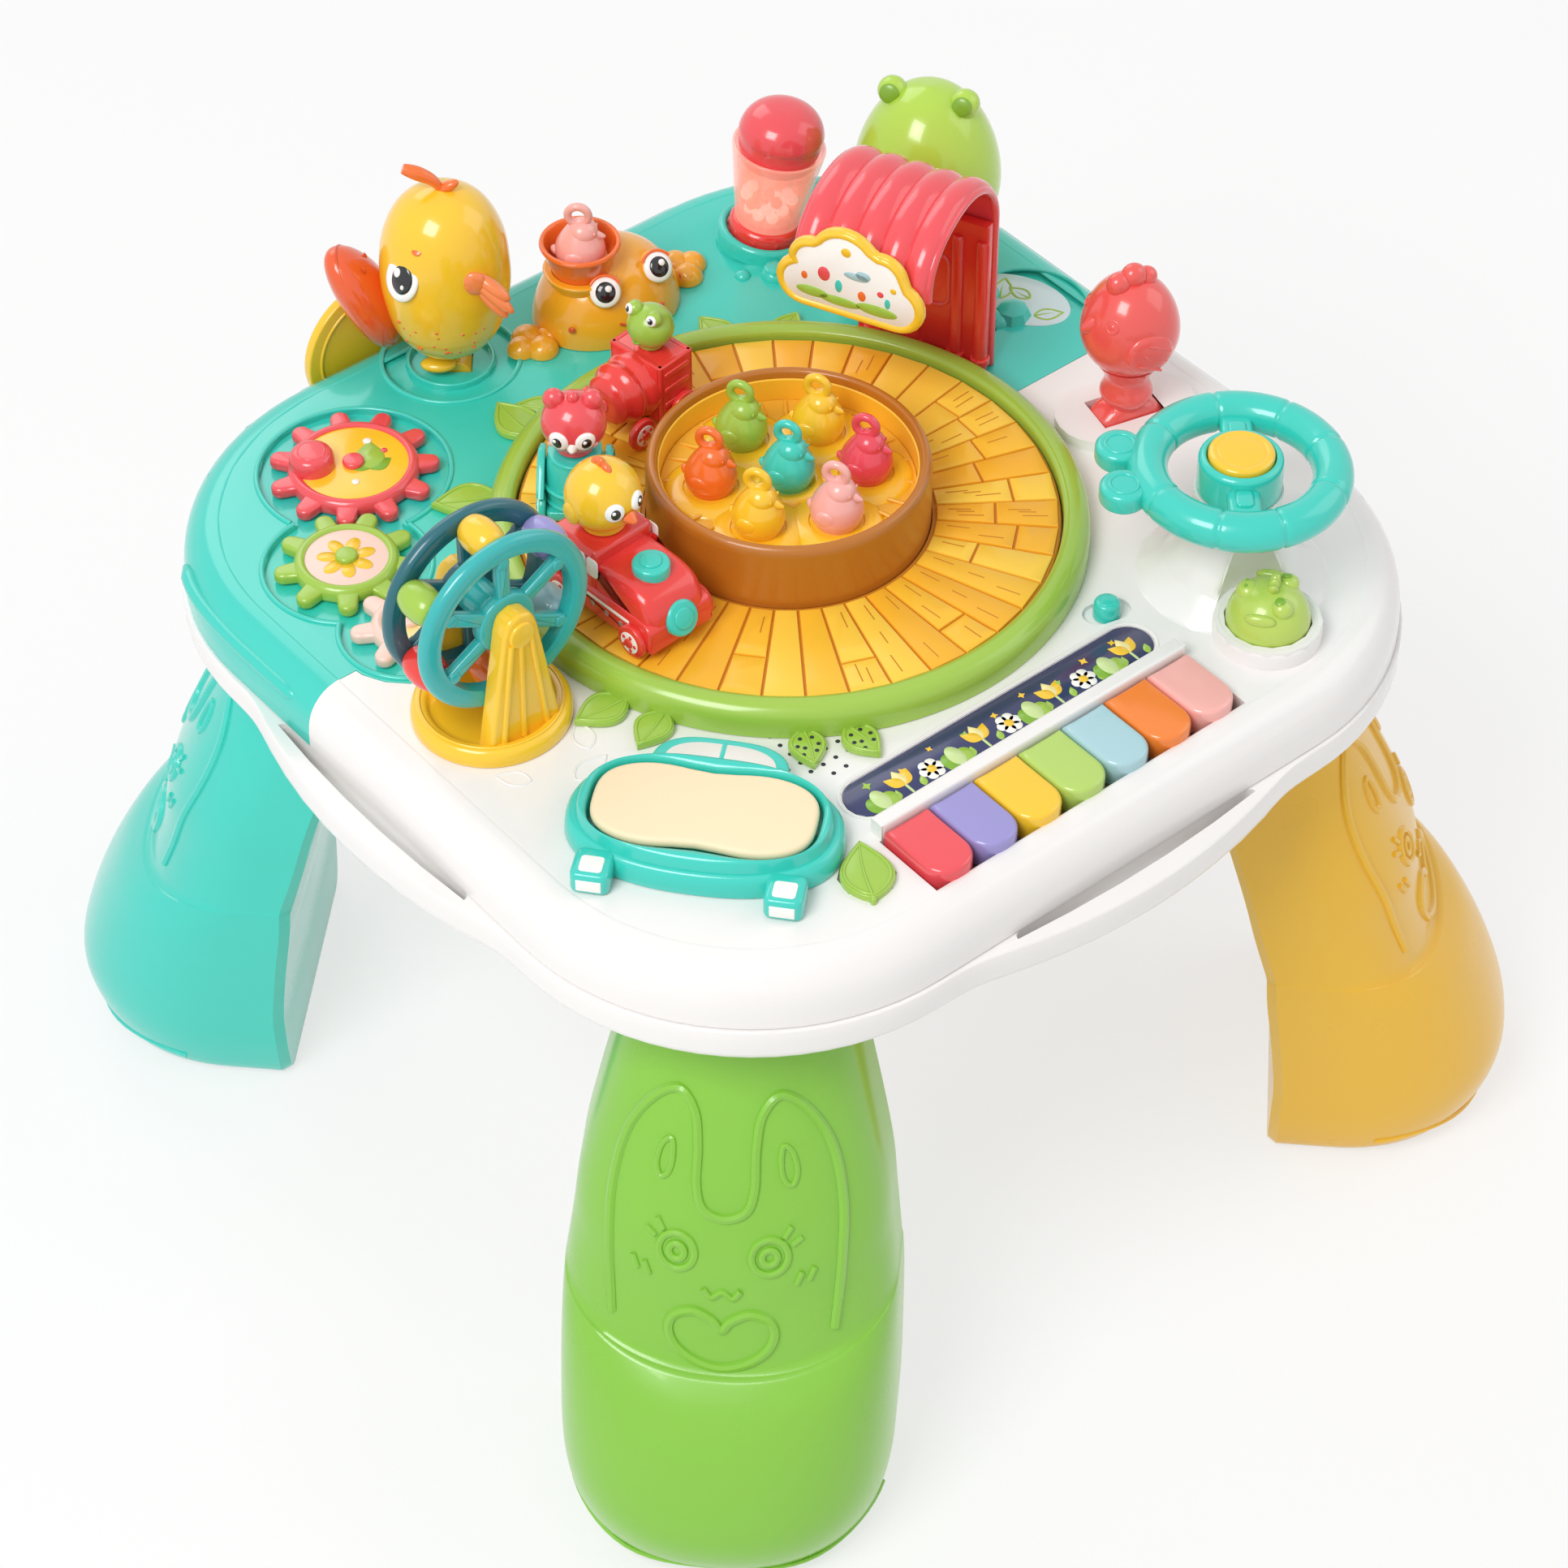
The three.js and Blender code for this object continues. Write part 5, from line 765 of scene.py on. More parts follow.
def makeBirds():
    turn = math.radians(drum["birdTurn"])
    for i, (name, finish) in enumerate(birdLooks):
        angle, r = turn + fullTurn * (i - 1) / 6, drum["birdRing"] if i else 0
        bird = placed(birdParts(finish), r * math.cos(angle), r * math.sin(angle), deck + drum["birdFoot"], turn)
        makePiece("bird_" + name, bird, "figure_" + name, ["figure_" + name], sharp=60)
    bird = placed(birdParts("pink"), bowlBird["x"], bowlBird["y"], deck + bowlBird["foot"],
                  math.radians(bowlBird["turn"]))
    makePiece("bird_bowl", bird, "bowl_figure", ["bowl_figure"], sharp=60)


makeTurntable()
makeRing()
makeDrum()
makeBirds()
print("turntable and birds built")

# Train on the turntable, each car drawn with its front toward +Y and carried to its bearing on the track

train = dict(radius=83, foot=10.3, wheelHeight=7.2)
loco = dict(bearing=184, wheelX=17.1, wheelY=20, lampAim=(0, 1, 0.42), lampAt=(0, 27.3, 13.5), chimneyY=12.2)
chick = dict(centre=(0, -14.5, 48.9), radii=(14.9, 14.6, 14.6), neckRadius=8.5, neckFoot=34.1, neckHigh=5,
             eyeReach=14.4, eyeSpread=0.42, eyeRise=0.12, eyeSize=4.0)
tender = dict(bearing=139, stretch=1.15, wheelX=12.6, wheelY=8.2)
owl = dict(centre=(0, 0, 43.1), radii=(12.9, 12.5, 12.7), neckRadius=7.4, neckFoot=30.2, neckHigh=5,
           eyeReach=12.3, eyeSpread=0.46, eyeRise=-0.05, eyeSize=4.2)
keg = dict(bearing=98, boxY=-9.5, wheelX=15.2, wheelY=12)
frog = dict(centre=(0, -9.5, 41.7), radii=(9.8, 9.3, 9.2), neckRadius=5.2, neckFoot=32.2, neckHigh=4,
            eyeX=5.2, eyeY=-6.4, eyeZ=49.4, eyeSize=2.3)


def wheelParts(x, y, radius, width, finish):  # tyre, pale face, boss and five spots toward the car's outside
    side, z = math.copysign(1, x), train["wheelHeight"]
    shown = x + side * width / 2
    parts = [shifted(turned(disc(radius, -width / 2, width / 2, finish, 0.9, 32), quarter, "y"), x, y, z)]
    rounds = [(0.66, 0.5, "stickerWhite", 0.2, 24, shown - side * 0.05, y, z),
              (0.3, 1.2, finish, 0.4, 16, shown, y, z)]
    for a in around(5):
        rounds.append((0.12, 0.8, finish, 0.2, 10, shown, y + radius * 0.47 * math.cos(a),
                       z + radius * 0.47 * math.sin(a)))
    for share, high, tint, edge, steps, *place in rounds:
        parts.append(shifted(turned(disc(radius * share, 0, high, tint, edge, steps), side * quarter, "y"), *place))
    return parts


def fourWheels(car, radius, width, finish):
    return [part for side in (-1, 1) for end in (-1, 1)
            for part in wheelParts(side * car["wheelX"], end * car["wheelY"], radius, width, finish)]


def makeCar(name, parts, car, node, sharp=50):  # out to the track's radius, then round to its bearing
    cars = placed(placed(parts, train["radius"]), z=deck + train["foot"], turn=math.radians(car["bearing"]))
    makePiece(name, cars, "turntable", [node], sharp)


def headParts(head, finish, steps):  # round head on a short neck
    neck = disc(head["neckRadius"], 0, head["neckHigh"], finish, 1)
    return [egg(head["radii"], finish, steps, head["centre"]), shifted(neck, *head["centre"][:2], head["neckFoot"])]


def headEyes(head):  # centre plus the eyes' reach along the direction of spread, forward and rise
    parts = []
    for side in (-1, 1):
        way = unit((side * head["eyeSpread"], 1.0, head["eyeRise"]))
        parts += eye(np.array(head["centre"]) + way * head["eyeReach"], way, head["eyeSize"])
    return parts


def makeLocomotive():
    skirt = curve([(-28.6, 4), (-28.6, 14), (-27, 17), (0, 17), (20, 17), (27.6, 15.5), (28.8, 10), (28.6, 4.2)], 4)
    hood = profile([(28.2, 5), (28.4, 12), (27.2, 19), (23, 25), (16, 27.8), (6, 28.4), (-6, 28.4)], 4, [(-6, 5)])
    cab = moved(rounded(25.5, 24, 2.5), -15.6, 21.9)
    parts = [sideways(slab(line, -half, half, "red", edge, steps))
             for line, half, edge, steps in ((skirt, 15.9, 1.6, 4), (hood, 14.6, 5.5, 7), (cab, 15.2, 3, 5))]
    for radius, low, high, edge in ((7.3, -2, 3.1, 1.2), (4.4, 2.5, 3.9, 0.6)):
        parts.append(aimed(disc(radius, low, high, "teal", edge), loco["lampAim"], loco["lampAt"]))
    for radius, low, high, edge in ((7.4, -2, 5, 1.4), (4.3, 0, 6, 0.7)):
        parts.append(shifted(disc(radius, low, high, "teal", edge), 0, loco["chimneyY"], 27))
    parts.append(shifted(block(31, 57, 0, 4.2, "red", 1, 2), 0, 0, 4))
    parts += fourWheels(loco, 7, 3, "red")
    for side in (-1, 1):
        for y, z, length, high, radius, x, thick in (
                (-24.4, 27.4, 4.6, 8.6, 1.6, 15.35, 0.35), (-18, 27.4, 6.6, 8.6, 1.6, 15.35, 0.35),
                (-10.8, 27.4, 6, 8.6, 1.6, 15.35, 0.35), (-4, 27.4, 6, 8.6, 1.6, 15.35, 0.35),
                (2, 13.6, 30, 1.3, 0.6, 15.9, 0.4)):
            plate = printed(rounded(length, high, radius, 3), -thick, thick, "stickerWhite")
            parts.append(shifted(sideways(plate), side * x, y, z))
        for y in (-4, 4, 12):
            spot = turned(disc(1.5, -0.6, 0.6, "stickerWhite", 0.2, 16), quarter, "y")
            parts.append(shifted(spot, side * 15.3, y, 10))
    makeCar("locoSmooth", parts, loco, "locomotive")


def makeChick():
    parts = headParts(chick, "yellow", 40) + headEyes(chick)
    beak = scaled(lathe([(0.001, 4.2), (1.2, 3.6), (3.4, 0), (0.001, -1)], "orange", 20), 1, 0.7, 1)
    parts.append(aimed(beak, (0, 1, -0.15), (0, 0.4, 46.5)))
    for y, z, tilt in ((-14.5, 63.2, 0.2), (-17.6, 62.6, -0.5), (-11.6, 62.4, 0.8)):
        parts.append(shifted(turned(egg((1.7, 2.1, 3.3), "orange", 18), tilt, "x"), 0, y, z))
    parts += [egg((1.4, 4.4, 4.8), "yellow", 20, (side * 14.2, -16.5, 46)) for side in (-1, 1)]
    makeCar("chickSmooth", parts, loco, "chick_head", 60)


def makeTender():
    line = curve([(0.001, 4), (12.4, 4.1), (13, 6), (12.6, 14), (11.6, 22), (10.6, 28), (9.6, 29.8), (0.001, 30)], 4)
    parts = [scaled(lathe(line, "teal", 40), 1, tender["stretch"], 1),
             shifted(block(23, 29, 0, 4.4, "teal", 1, 3), 0, 0, 4)]
    for side in (-1, 1):
        for verts, faces, finish in leafPlate(29, 24, 3.4, "teal"):
            fin = np.column_stack([(verts[:, 2] + 11.6) * side, verts[:, 0] - 14.5, 15.5 - verts[:, 1]])
            parts.append((fin, faces, finish))
    parts += fourWheels(tender, 6.9, 2.8, "teal")
    for z in (10, 16):
        parts.append(shifted(scaled(hoop(12.9, 0.9, "teal", 40, 8), 1, tender["stretch"], 1), 0, 0, z))
    makeCar("tenderSmooth", parts, tender, "tender_wagon")


def makeOwl():
    parts = headParts(owl, "coral", 40) + headEyes(owl)
    for side in (-1, 1):
        parts.append(egg((4.4, 4, 4.6), "coral", 24, (side * 7.4, 0, 54.3)))
        parts.append(aimed(egg((1.5, 1.1, 0.8), "pink", 14), (side * 0.9, 1, -0.3), (side * 8.6, 8.2, 38.6)))
    parts.append(egg((2.4, 2.4, 2.6), "coral", 20, (0, 1.2, 56.2)))
    beak = lathe([(0.001, 3), (1, 2.4), (2.6, 0), (0.001, -1)], "stickerWhite", 18)
    parts.append(aimed(beak, (0, 1, -0.3), (0, 11.4, 39.6)))
    makeCar("owlSmooth", parts, tender, "owl_head", 60)


def makeKeg():
    ribs = curve([(0.001, -6), (13.6, -6), (14, -3), (14, 0), (13.8, 2.6), (12.5, 5.6), (13.1, 7.8), (13.2, 9.6),
                  (11.4, 12.4), (10.9, 14.6), (10.6, 16), (8.4, 18), (5.8, 18.9), (0.001, 19)], 4)
    parts = [shifted(turned(lathe(ribs, "red", 44), -quarter, "x"), 0, 0, 18),
             shifted(turned(disc(3.4, 0, 2, "coral", 0.5, 24), -quarter, "x"), 0, 17.6, 18)]
    middle = keg["boxY"]
    for x, y, width, depth, high, edge, radius in (
            (-12.6, middle, 2.8, 19, 32, 0.8, 1.2), (12.6, middle, 2.8, 19, 32, 0.8, 1.2),
            (0, -17.6, 28, 2.8, 32, 0.8, 1.2), (0, -1.4, 28, 2.8, 32, 0.8, 1.2), (0, middle, 26, 17, 31.8, 0.5, 1)):
        parts.append(shifted(block(width, depth, 4, high, "red", edge, radius), x, y, 0))
    for side in (-1, 1):
        for z in (12, 19.5, 27):
            board = sideways(slab(rounded(14, 2.6, 1.2, 4), -0.7, 0.7, "red", 0.5, 2))
            parts.append(shifted(board, side * 13.9, middle, z))
    makeCar("kegSmooth", parts + fourWheels(keg, 7, 3, "red"), keg, "barrel_wagon")


def makeFrog():
    parts = headParts(frog, "lime", 36)
    for side in (-1, 1):
        spot = np.array([side * frog["eyeX"], frog["eyeY"], frog["eyeZ"]])
        way = unit((side * 0.3, 1, 0.3))
        parts += [egg(3.5, "lime", 24, spot)] + eye(spot + way * 2.9, way, frog["eyeSize"])
    mouth = [(4.6 * math.sin(a), -9.5 + 9.1 * math.cos(a) * 0.98, 39.2 - 1.4 * math.cos(2 * a))
             for a in np.linspace(-0.6, 0.6, 9)]
    parts.append(tube(mouth, 0.5, "leafDark", 8))
    makeCar("frogSmooth", parts, keg, "frog_head", 60)


# Station: outer arch of the roof swells into ribs along its length

station = dict(turn=24.0, outer=130.0, inner=63.0, height=105.0, spring=76.0, eave=82.0, thick=3.5, ribs=5, rise=2.4,
               half=29.0)
wall = dict(x=123.6, posts=(-26.4, -15.7, 2.9, 21.5), postX=121.9, windows=(-6.5, 12), windowX=121.4)
sign = dict(x=60.3, y=2.0, bottom=64.0, rimThick=1.75,
            bumps=((19.6, 12.4, 12.4, -90, 62), (13.5, 24.5, 11.0, 20, 100), (-2.2, 27.2, 15.2, 38, 150),
                   (-15.5, 22.5, 11.5, 92, 175), (-20.4, 11.9, 11.9, 108, 270)),
            dots={"lime": [(-16, 8.6, 7, 2.4), (-4, 7.6, 9, 2.2), (12, 8.4, 9, 2.6)],
                  "coral": [(-11, 19, 2.6, 3.4), (13.5, 17, 1.4, 1.4)],
                  "sky": [(3, 22, 5.4, 1.8), (6, 23.4, 3.2, 2.1)],
                  "yellow": [(-1.5, 32.5, 2.1, 2.1), (19, 20.5, 1.3, 1.3)],
                  "orange": [(5.5, 13.4, 1.7, 2.4), (-19.5, 15.6, 1.3, 1.9)],
                  "teal": [(-4.6, 15, 1.5, 3.0), (16.6, 13.4, 1.2, 2.4)]})  # finish: place and radii


def archLine(offset):  # straight outer wall, then x = centre + reach cos a, z = foot + rise sin a
    centre = (station["outer"] + station["inner"]) / 2
    reach = (station["outer"] - station["inner"]) / 2 + offset
    a = np.linspace(0, 2 * quarter, 33)
    foot = np.where(a < quarter, station["spring"], station["eave"])
    bend = np.column_stack([centre + reach * np.cos(a), foot + (station["height"] - foot + offset) * np.sin(a)])
    side = np.column_stack([np.full(6, station["outer"] + offset), np.linspace(0.4, station["spring"] * 0.9, 6)])
    return np.vstack([side, bend, [(station["inner"] - offset, station["eave"] - 4)]])


def inDepth(line, y):  # a line of x and z set at one y
    return np.column_stack([line[:, 0], np.full(len(line), y), line[:, 1]])


def atStation(parts):
    return placed(parts, z=deck, turn=math.radians(station["turn"]))


def makeRoof():  # outer arch offset by rise times |sin| ** 0.8 of the share of the length
    levels = station["ribs"] * 9
    rows = []
    for i in range(levels + 1):
        swell = station["rise"] * abs(math.sin(math.pi * i * station["ribs"] / levels)) ** 0.8
        edge = 1.2 if i in (0, levels) else 0
        line = np.vstack([archLine(swell - edge), archLine(-station["thick"] + 0.1 + edge * 0.5)[::-1]])
        rows.append(inDepth(line, station["half"] * (2 * i / levels - 1)))
    parts = [grid(np.array(rows), "coral")]
    for side in (-1, 1):
        path = inDepth(archLine(-station["thick"] / 2), side * (station["half"] - 0.9))
        parts.append(tube(path, 1.9, "coral", 10))
    makePiece("roofSmooth", atStation(parts), "case", ["station_roof"], sharp=55)


def makeWall():
    parts = [shifted(block(4.6, 57.6, 0.4, 75.2, "red", 0.6, 1), wall["x"]),
             shifted(block(4.2, 57.6, 0.4, 5.2, "red", 0.8, 1), wall["x"] - 2.9)]
    post = [lathe([(0.001, 3), (3, 3), (3, 66), (2.4, 67.5), (0.001, 68)], "red", 20),
            disc(4.2, 4.6, 8, "red", 0.8, 24)]
    for y in wall["posts"]:
        parts += placed(post, wall["postX"], y)
    for y in wall["windows"]:
        line = moved(rounded(11, 26, 5, 8), y, 42)
        parts.append(tube(np.column_stack([np.full(len(line), wall["windowX"]), line]), 1, "coral", 8, closed=True))
    makePiece("wallSmooth", atStation(parts), "case", ["station_wall"], sharp=50)


def cloudOutline(inset):  # the bumps' arcs in turn, each with its radius less the inset
    return np.vstack([arc(cx, cy, r - inset, math.radians(a), math.radians(b), 9)
                      for cx, cy, r, a, b in sign["bumps"]])


def makeSign():  # drawn in Y and Z, thickness toward the drum
    parts = [slab(cloudOutline(0), 0, 3.2, "yellow", 0.8),
             tube(level(cloudOutline(2.2), 2.6), sign["rimThick"], "yellow", 10, closed=True),
             printed(cloudOutline(3.6), 2.6, 3.4, "stickerWhite")]
    for finish, dots in sign["dots"].items():
        parts += [printed(ellipse(rx, ry, 20, x, z), 3.35, 3.6, finish, 0.05) for x, z, rx, ry in dots]
    parts = [(np.column_stack([sign["x"] - verts[:, 2], sign["y"] - verts[:, 0], sign["bottom"] + verts[:, 1]]),
              faces, finish) for verts, faces, finish in parts]
    makePiece("signSmooth", atStation(parts), "case", ["cloud_sign"], sharp=50)


makeLocomotive()
makeChick()
makeTender()
makeOwl()
makeKeg()
makeFrog()
makeRoof()
makeWall()
makeSign()
print("train and station built")

# Piano, strip, leaf button and drum pad

keys = dict(width=20.7, step=21.7, x=-7, y=-154.9,
            looks=("coral", "purple", "yellow", "lime", "sky", "orange", "pink"),
            paler={"lime": "keyLime", "orange": "keyOrange"})  # two keys are paler than the finish of their slot
strip = dict(x=-7.0, y=-133.8, length=149.4, width=19.6, depth=0.75)
leafButton = dict(x=-98, y=-163, turn=60)
pad = dict(place=dict(x=-131, y=-111, z=deck + 0.3, turn=math.radians(-50)), size=(83.4, 43.4), waist=3.2,
           rows=((51.6, 30.6, 0.1), (51.9, 30.9, 1.4), (51.4, 30.4, 6.4), (50.2, 29.4, 8.6), (48.6, 28.2, 9.4),
                 (47.8, 27.6, 9.3), (47.4, 27.3, 10.4), (46.8, 26.9, 13.4), (45.8, 26.1, 14.7), (44.6, 25.2, 14.9),
                 (43.4, 24.2, 14.2), (42.6, 23.4, 12), (42.6, 23.4, 4)))  # radii along and across, height


def makeKeys():  # tip: half width and length times cosine and sine ** 0.92
    half = keys["width"] / 2
    a = np.linspace(math.pi, fullTurn, 17)
    tip = np.column_stack([half * powered(np.cos(a), 0.92), -20.9 + 10.3 * powered(np.sin(a), 0.92)])
    side = [(half, -14.0), (half, -6), (half, 0), (half / 2, 0)]
    outline = np.vstack([tip, side + mirrored(side)])
    for i, slot in enumerate(keys["looks"]):
        key = slab(outline, -7.9, 4.95, keys["paler"].get(slot, slot), 1.9, 5)
        name = str(i + 1)
        makePiece("pianoKey_" + name, [shifted(key, keys["x"] + keys["step"] * (i - 3), keys["y"], deck)],
                  "key_" + name, ["key_" + name], sharp=60)


def makeStrip():
    low = deck - strip["depth"]
    top = low + 0.55
    parts = [printed(stadium(strip["length"], strip["width"], 14), low, low + 0.6, "navy")]

    def draw(outline, finish, rise, sunk=0.0, edge=0.04):
        parts.append(printed(outline, top + sunk, top + rise, finish, edge))

    chance = np.random.default_rng(21)
    for i in range(11):  # low bushes, tulips and daisies in turn along the lower edge
        x, kind = -63 + 12.6 * i + chance.uniform(-1, 1), i % 3
        if kind == 0:
            for dx, tall, finish in ((-3.6, 4.2, "leafDark"), (3.4, 3.8, "lime"), (0, 5.4, "limePale")):
                draw(ellipse(3.3, tall, 20, x + dx, -9.2 + tall), finish, 0.14 + 0.01 * tall)
        elif kind == 1:
            draw(moved(rounded(1.1, 6, 0.5, 2), x, -5.6), "limePale", 0.14)
            for turn, finish in ((50, "yellow"), (130, "yellow"), (90, "yellowPale")):
                draw(moved(leaf(8.6, 5), x, -3.6, math.radians(turn)), finish, 0.16 + 0.0004 * turn)
        else:
            for a in around(6):
                draw(ellipse(2.3, 2.3, 16, x + 3.1 * math.cos(a), -3.4 + 3.1 * math.sin(a)), "stickerWhite", 0.18)
            draw(ellipse(1.9, 1.9, 16, x, -3.4), "yellow", 0.26, 0.1)
        draw(moved(leaf(5.5, 3), x + 5.6, -8.6, math.radians(70)), "lime", 0.15)
    for i in range(9):  # small four-pointed stars above them
        x, y, size = -62 + 15.3 * i, 3.5 + 3.2 * chance.uniform(-0.7, 1), chance.uniform(1.3, 2.2)
        a = around(8) + 0.3 * i
        r = np.where(np.arange(8) % 2, size * 0.5, size)
        draw(np.column_stack([x + r * np.cos(a), y + r * np.sin(a)]), "yellow" if i % 3 else "lime", 0.2, edge=0.03)
    makePiece("keyStrip", placed(parts, strip["x"], strip["y"]), "case", sharp=50)
    border = level(stadium(strip["length"] + 3, strip["width"] + 3, 14), deck - 0.1)
    makePiece("stripBorder", placed([tube(border, 0.7, "white", 8, closed=True)], strip["x"], strip["y"]), "case")


def makeLeafButton():
    parts = placed(leafPlate(29.6, 20.4, 4.6), -15) + [shifted(block(3.2, 2.2, 0, 3.6, "lime", 0.8, 1), -14.6)]
    button = placed(parts, leafButton["x"], leafButton["y"], deck - 0.6, math.radians(leafButton["turn"]))
    makePiece("leafButtonSmooth", button, "leaf_button", ["leaf_button"], sharp=50)


def superEllipse(rx, ry, power, steps=72):  # each radius times cosine and sine ** (2 / power)
    a = around(steps)
    return np.column_stack([rx * powered(np.cos(a), 2 / power), ry * powered(np.sin(a), 2 / power)])


def kidney(length, width, waist, steps=72):  # rounded oblong pinched in the middle by a soft bell
    p = superEllipse(length / 2, width / 2, 3.0, steps)
    pinch = waist * np.exp(-(p[:, 0] / (length * 0.19)) ** 2)
    p[:, 1] -= np.sign(p[:, 1]) * pinch * np.minimum(np.abs(p[:, 1]) / (width / 2), 1)
    return p


def makePad():  # frame: from a plain oblong at its foot to the pad's kidney at its inner edge
    rings = []
    for rx, ry, z in pad["rows"]:
        blend = np.clip((46.5 - rx) / 3.9, 0, 1)
        plain = superEllipse(rx, ry, 2.3 + 0.4 * blend)
        rings.append(level(plain * (1 - blend) + kidney(2 * rx + 0.6, 2 * ry, 2.6) * blend, z))
    parts = [grid(np.array(rings), "teal")]
    for side in (-1, 1):
        parts += [shifted(block(14.6, 15, 0, 9.6, "teal", 1.6, 3), side * 35.4, -29.8),
                  shifted(block(8.6, 8, 9.3, 9.85, "stickerWhite", 0.1, 1.4), side * 35.4, -31),
                  shifted(block(9.4, 1.2, 2, 7, "stickerWhite", 0.2, 0.5), side * 35.4, -37.1),
                  shifted(disc(8.8, 0, 8.4, "teal", 2, 32), side * 10.6, 30.5)]
    arch, pane = ([(-x, y) for x, y in half] + [(0, top)] + half[::-1] for half, top in (
        ([(27, 26), (23.5, 35.6), (14.5, 41)], 42), ([(22, 26), (19, 33.6), (11.5, 37.6)], 38.4)))
    parts += [slab(curve(arch, 5)[::-1], 0, 9.2, "teal", 1.6, 3),
              slab(curve(pane, 5)[::-1], 8.9, 9.5, "stickerWhite", 0.2, 1),
              shifted(block(1.8, 11, 8.9, 9.7, "teal", 0.3, 0.6), 0, 33.4)]
    makePiece("padFrameSmooth", placed(parts, **pad["place"]), "case", ["pad_frame"], sharp=50)
    skin = slab(kidney(*pad["size"], pad["waist"]), 10.1, 14.9, "beige", 2.2, 5)
    makePiece("drumPadSmooth", placed([skin], **pad["place"]), "drum_pad", ["drum_pad"], sharp=60)


# Steering wheel with horn, roller ball and slide switch

wheel = dict(height=52, radius=35.5, thick=7.9, seams=(18, 62, 108, 172, 214, 250, 296, 340), seamDepth=0.75,
             seamWidth=0.7, spokeTurn=50, ears=(127, 156))
roller = dict(height=8, radius=16.4, turn=216)
switch = dict(x=64, y=-115)


def makeSteering():  # rim radius less a narrow bell at each seam
    size = wheel["radius"]
    a = around(288)
    thick = np.full(288, wheel["thick"])
    for seam in wheel["seams"]:
        gap = np.angle(np.exp(1j * (a - math.radians(seam))))
        thick -= wheel["seamDepth"] * np.exp(-(gap * size / wheel["seamWidth"]) ** 2)
    hub = profile([(16.4, -7.8), (16.5, -3), (16.5, 4), (16.2, 6.6), (14.8, 7.9), (13.4, 7.6), (13.3, 4)], 3,
                  [(0.001, -7.9)], [(13.3, 2.7), (0.001, 2.7)])
    parts = [tube(level(ellipse(size, size, 288), 0.0), thick, "teal", 24, closed=True), lathe(hub, "teal", 48),
             disc(7, -17.8, -7, "teal", 0.4, 32)]
    spoke = [shifted(block(22, 12.6, -2.9, 2.9, "teal", 1.8, 2), 22),
             shifted(block(9, 7, 1.5, 4.3, "teal", 1.0, 2), 20.5)]
    for i in range(2):
        parts += placed(spoke, turn=math.radians(wheel["spokeTurn"]) + math.pi * i)
    ear = placed([disc(9.4, -4.4, 4.4, "teal", 2.2, 40), hoop(5.6, 0.9, "teal", 32, 10, 4.2)], 47)
    for angle in wheel["ears"]:
        parts += placed(ear, turn=math.radians(angle))
    top = (*spots["wheel"], deck + wheel["height"])
    makePiece("steeringSmooth", placed(parts, *top), "steering_wheel", ["steering_wheel"], sharp=60)
    horn = [lathe(curve([(12.9, 4.6), (12.9, 8.4), (12.3, 9.6), (10.8, 10.2), (9.4, 9.9), (8.8, 10.1), (5, 10.4),
                         (0.001, 10.45)], 4), "yellow", 48),
            lathe([(0.001, 4.55), (12.9, 4.55), (12.9, 4.6)], "yellow", 48)]
    makePiece("hornSmooth", placed(horn, *top), "horn_button", ["horn_button"], sharp=60)


def makeRoller():  # frog-like ball: two eye domes, a snout, arms, a tuft and nostrils
    parts = [egg(roller["radius"], "ballLime", 48)]
    for x, y, z, size in ((0.45, 0.35, 0.75, 0.26), (-0.45, 0.35, 0.75, 0.26), (0, -0.5, 0.72, 0.3)):
        parts.append(egg(16.5 * size * np.array([1, 1, 0.9]), "ballLime", 24, (16.5 * x, 16.5 * y, 16.5 * z)))
    for side in (-1, 1):
        parts += [aimed(egg((2.0, 2.0, 0.8), "leafDark", 18), (side * 0.4, -0.1, 1), (side * 7.8, 4.9, 16.0)),
                  egg((2.2, 6.2, 2.6), "ballLime", 20, (side * 13.2, -1.5, 9.8)),
                  egg((0.8, 0.8, 0.7), "leafDark", 12, (side * 1.6, -9.4, 16))]
    for x, tilt in ((0, 0), (-2.4, -0.5), (2.4, 0.5)):
        parts.append(shifted(turned(egg((1.7, 2.2, 3.6), "ballLime", 18), tilt, "y"), x, 1.2, 16.6))
    ball = placed(parts, *spots["roller"], deck + roller["height"], math.radians(roller["turn"]))
    makePiece("rollerSmooth", ball, "roller_ball", ["roller_ball"], sharp=60)


def makeSwitch():
    line = profile([(5.4, 2.4), (5.0, 4.6), (3.8, 5.8), (0.001, 6.2)], 4, [(0.001, -1.6), (5.4, -1.6)])
    parts = placed([lathe(line, "teal", 40), hoop(3, 0.5, "teal", 24, 8, 5.6)], switch["x"], switch["y"], deck)
    makePiece("switchKnob", parts, "power_slider", ["power_slider"], sharp=60)


makeKeys()
makeStrip()
makeLeafButton()
makePad()
makeSteering()
makeRoller()
makeSwitch()
print("front controls built")

# Levers, sorter and popper at the back: bodies as shares of radius and of height

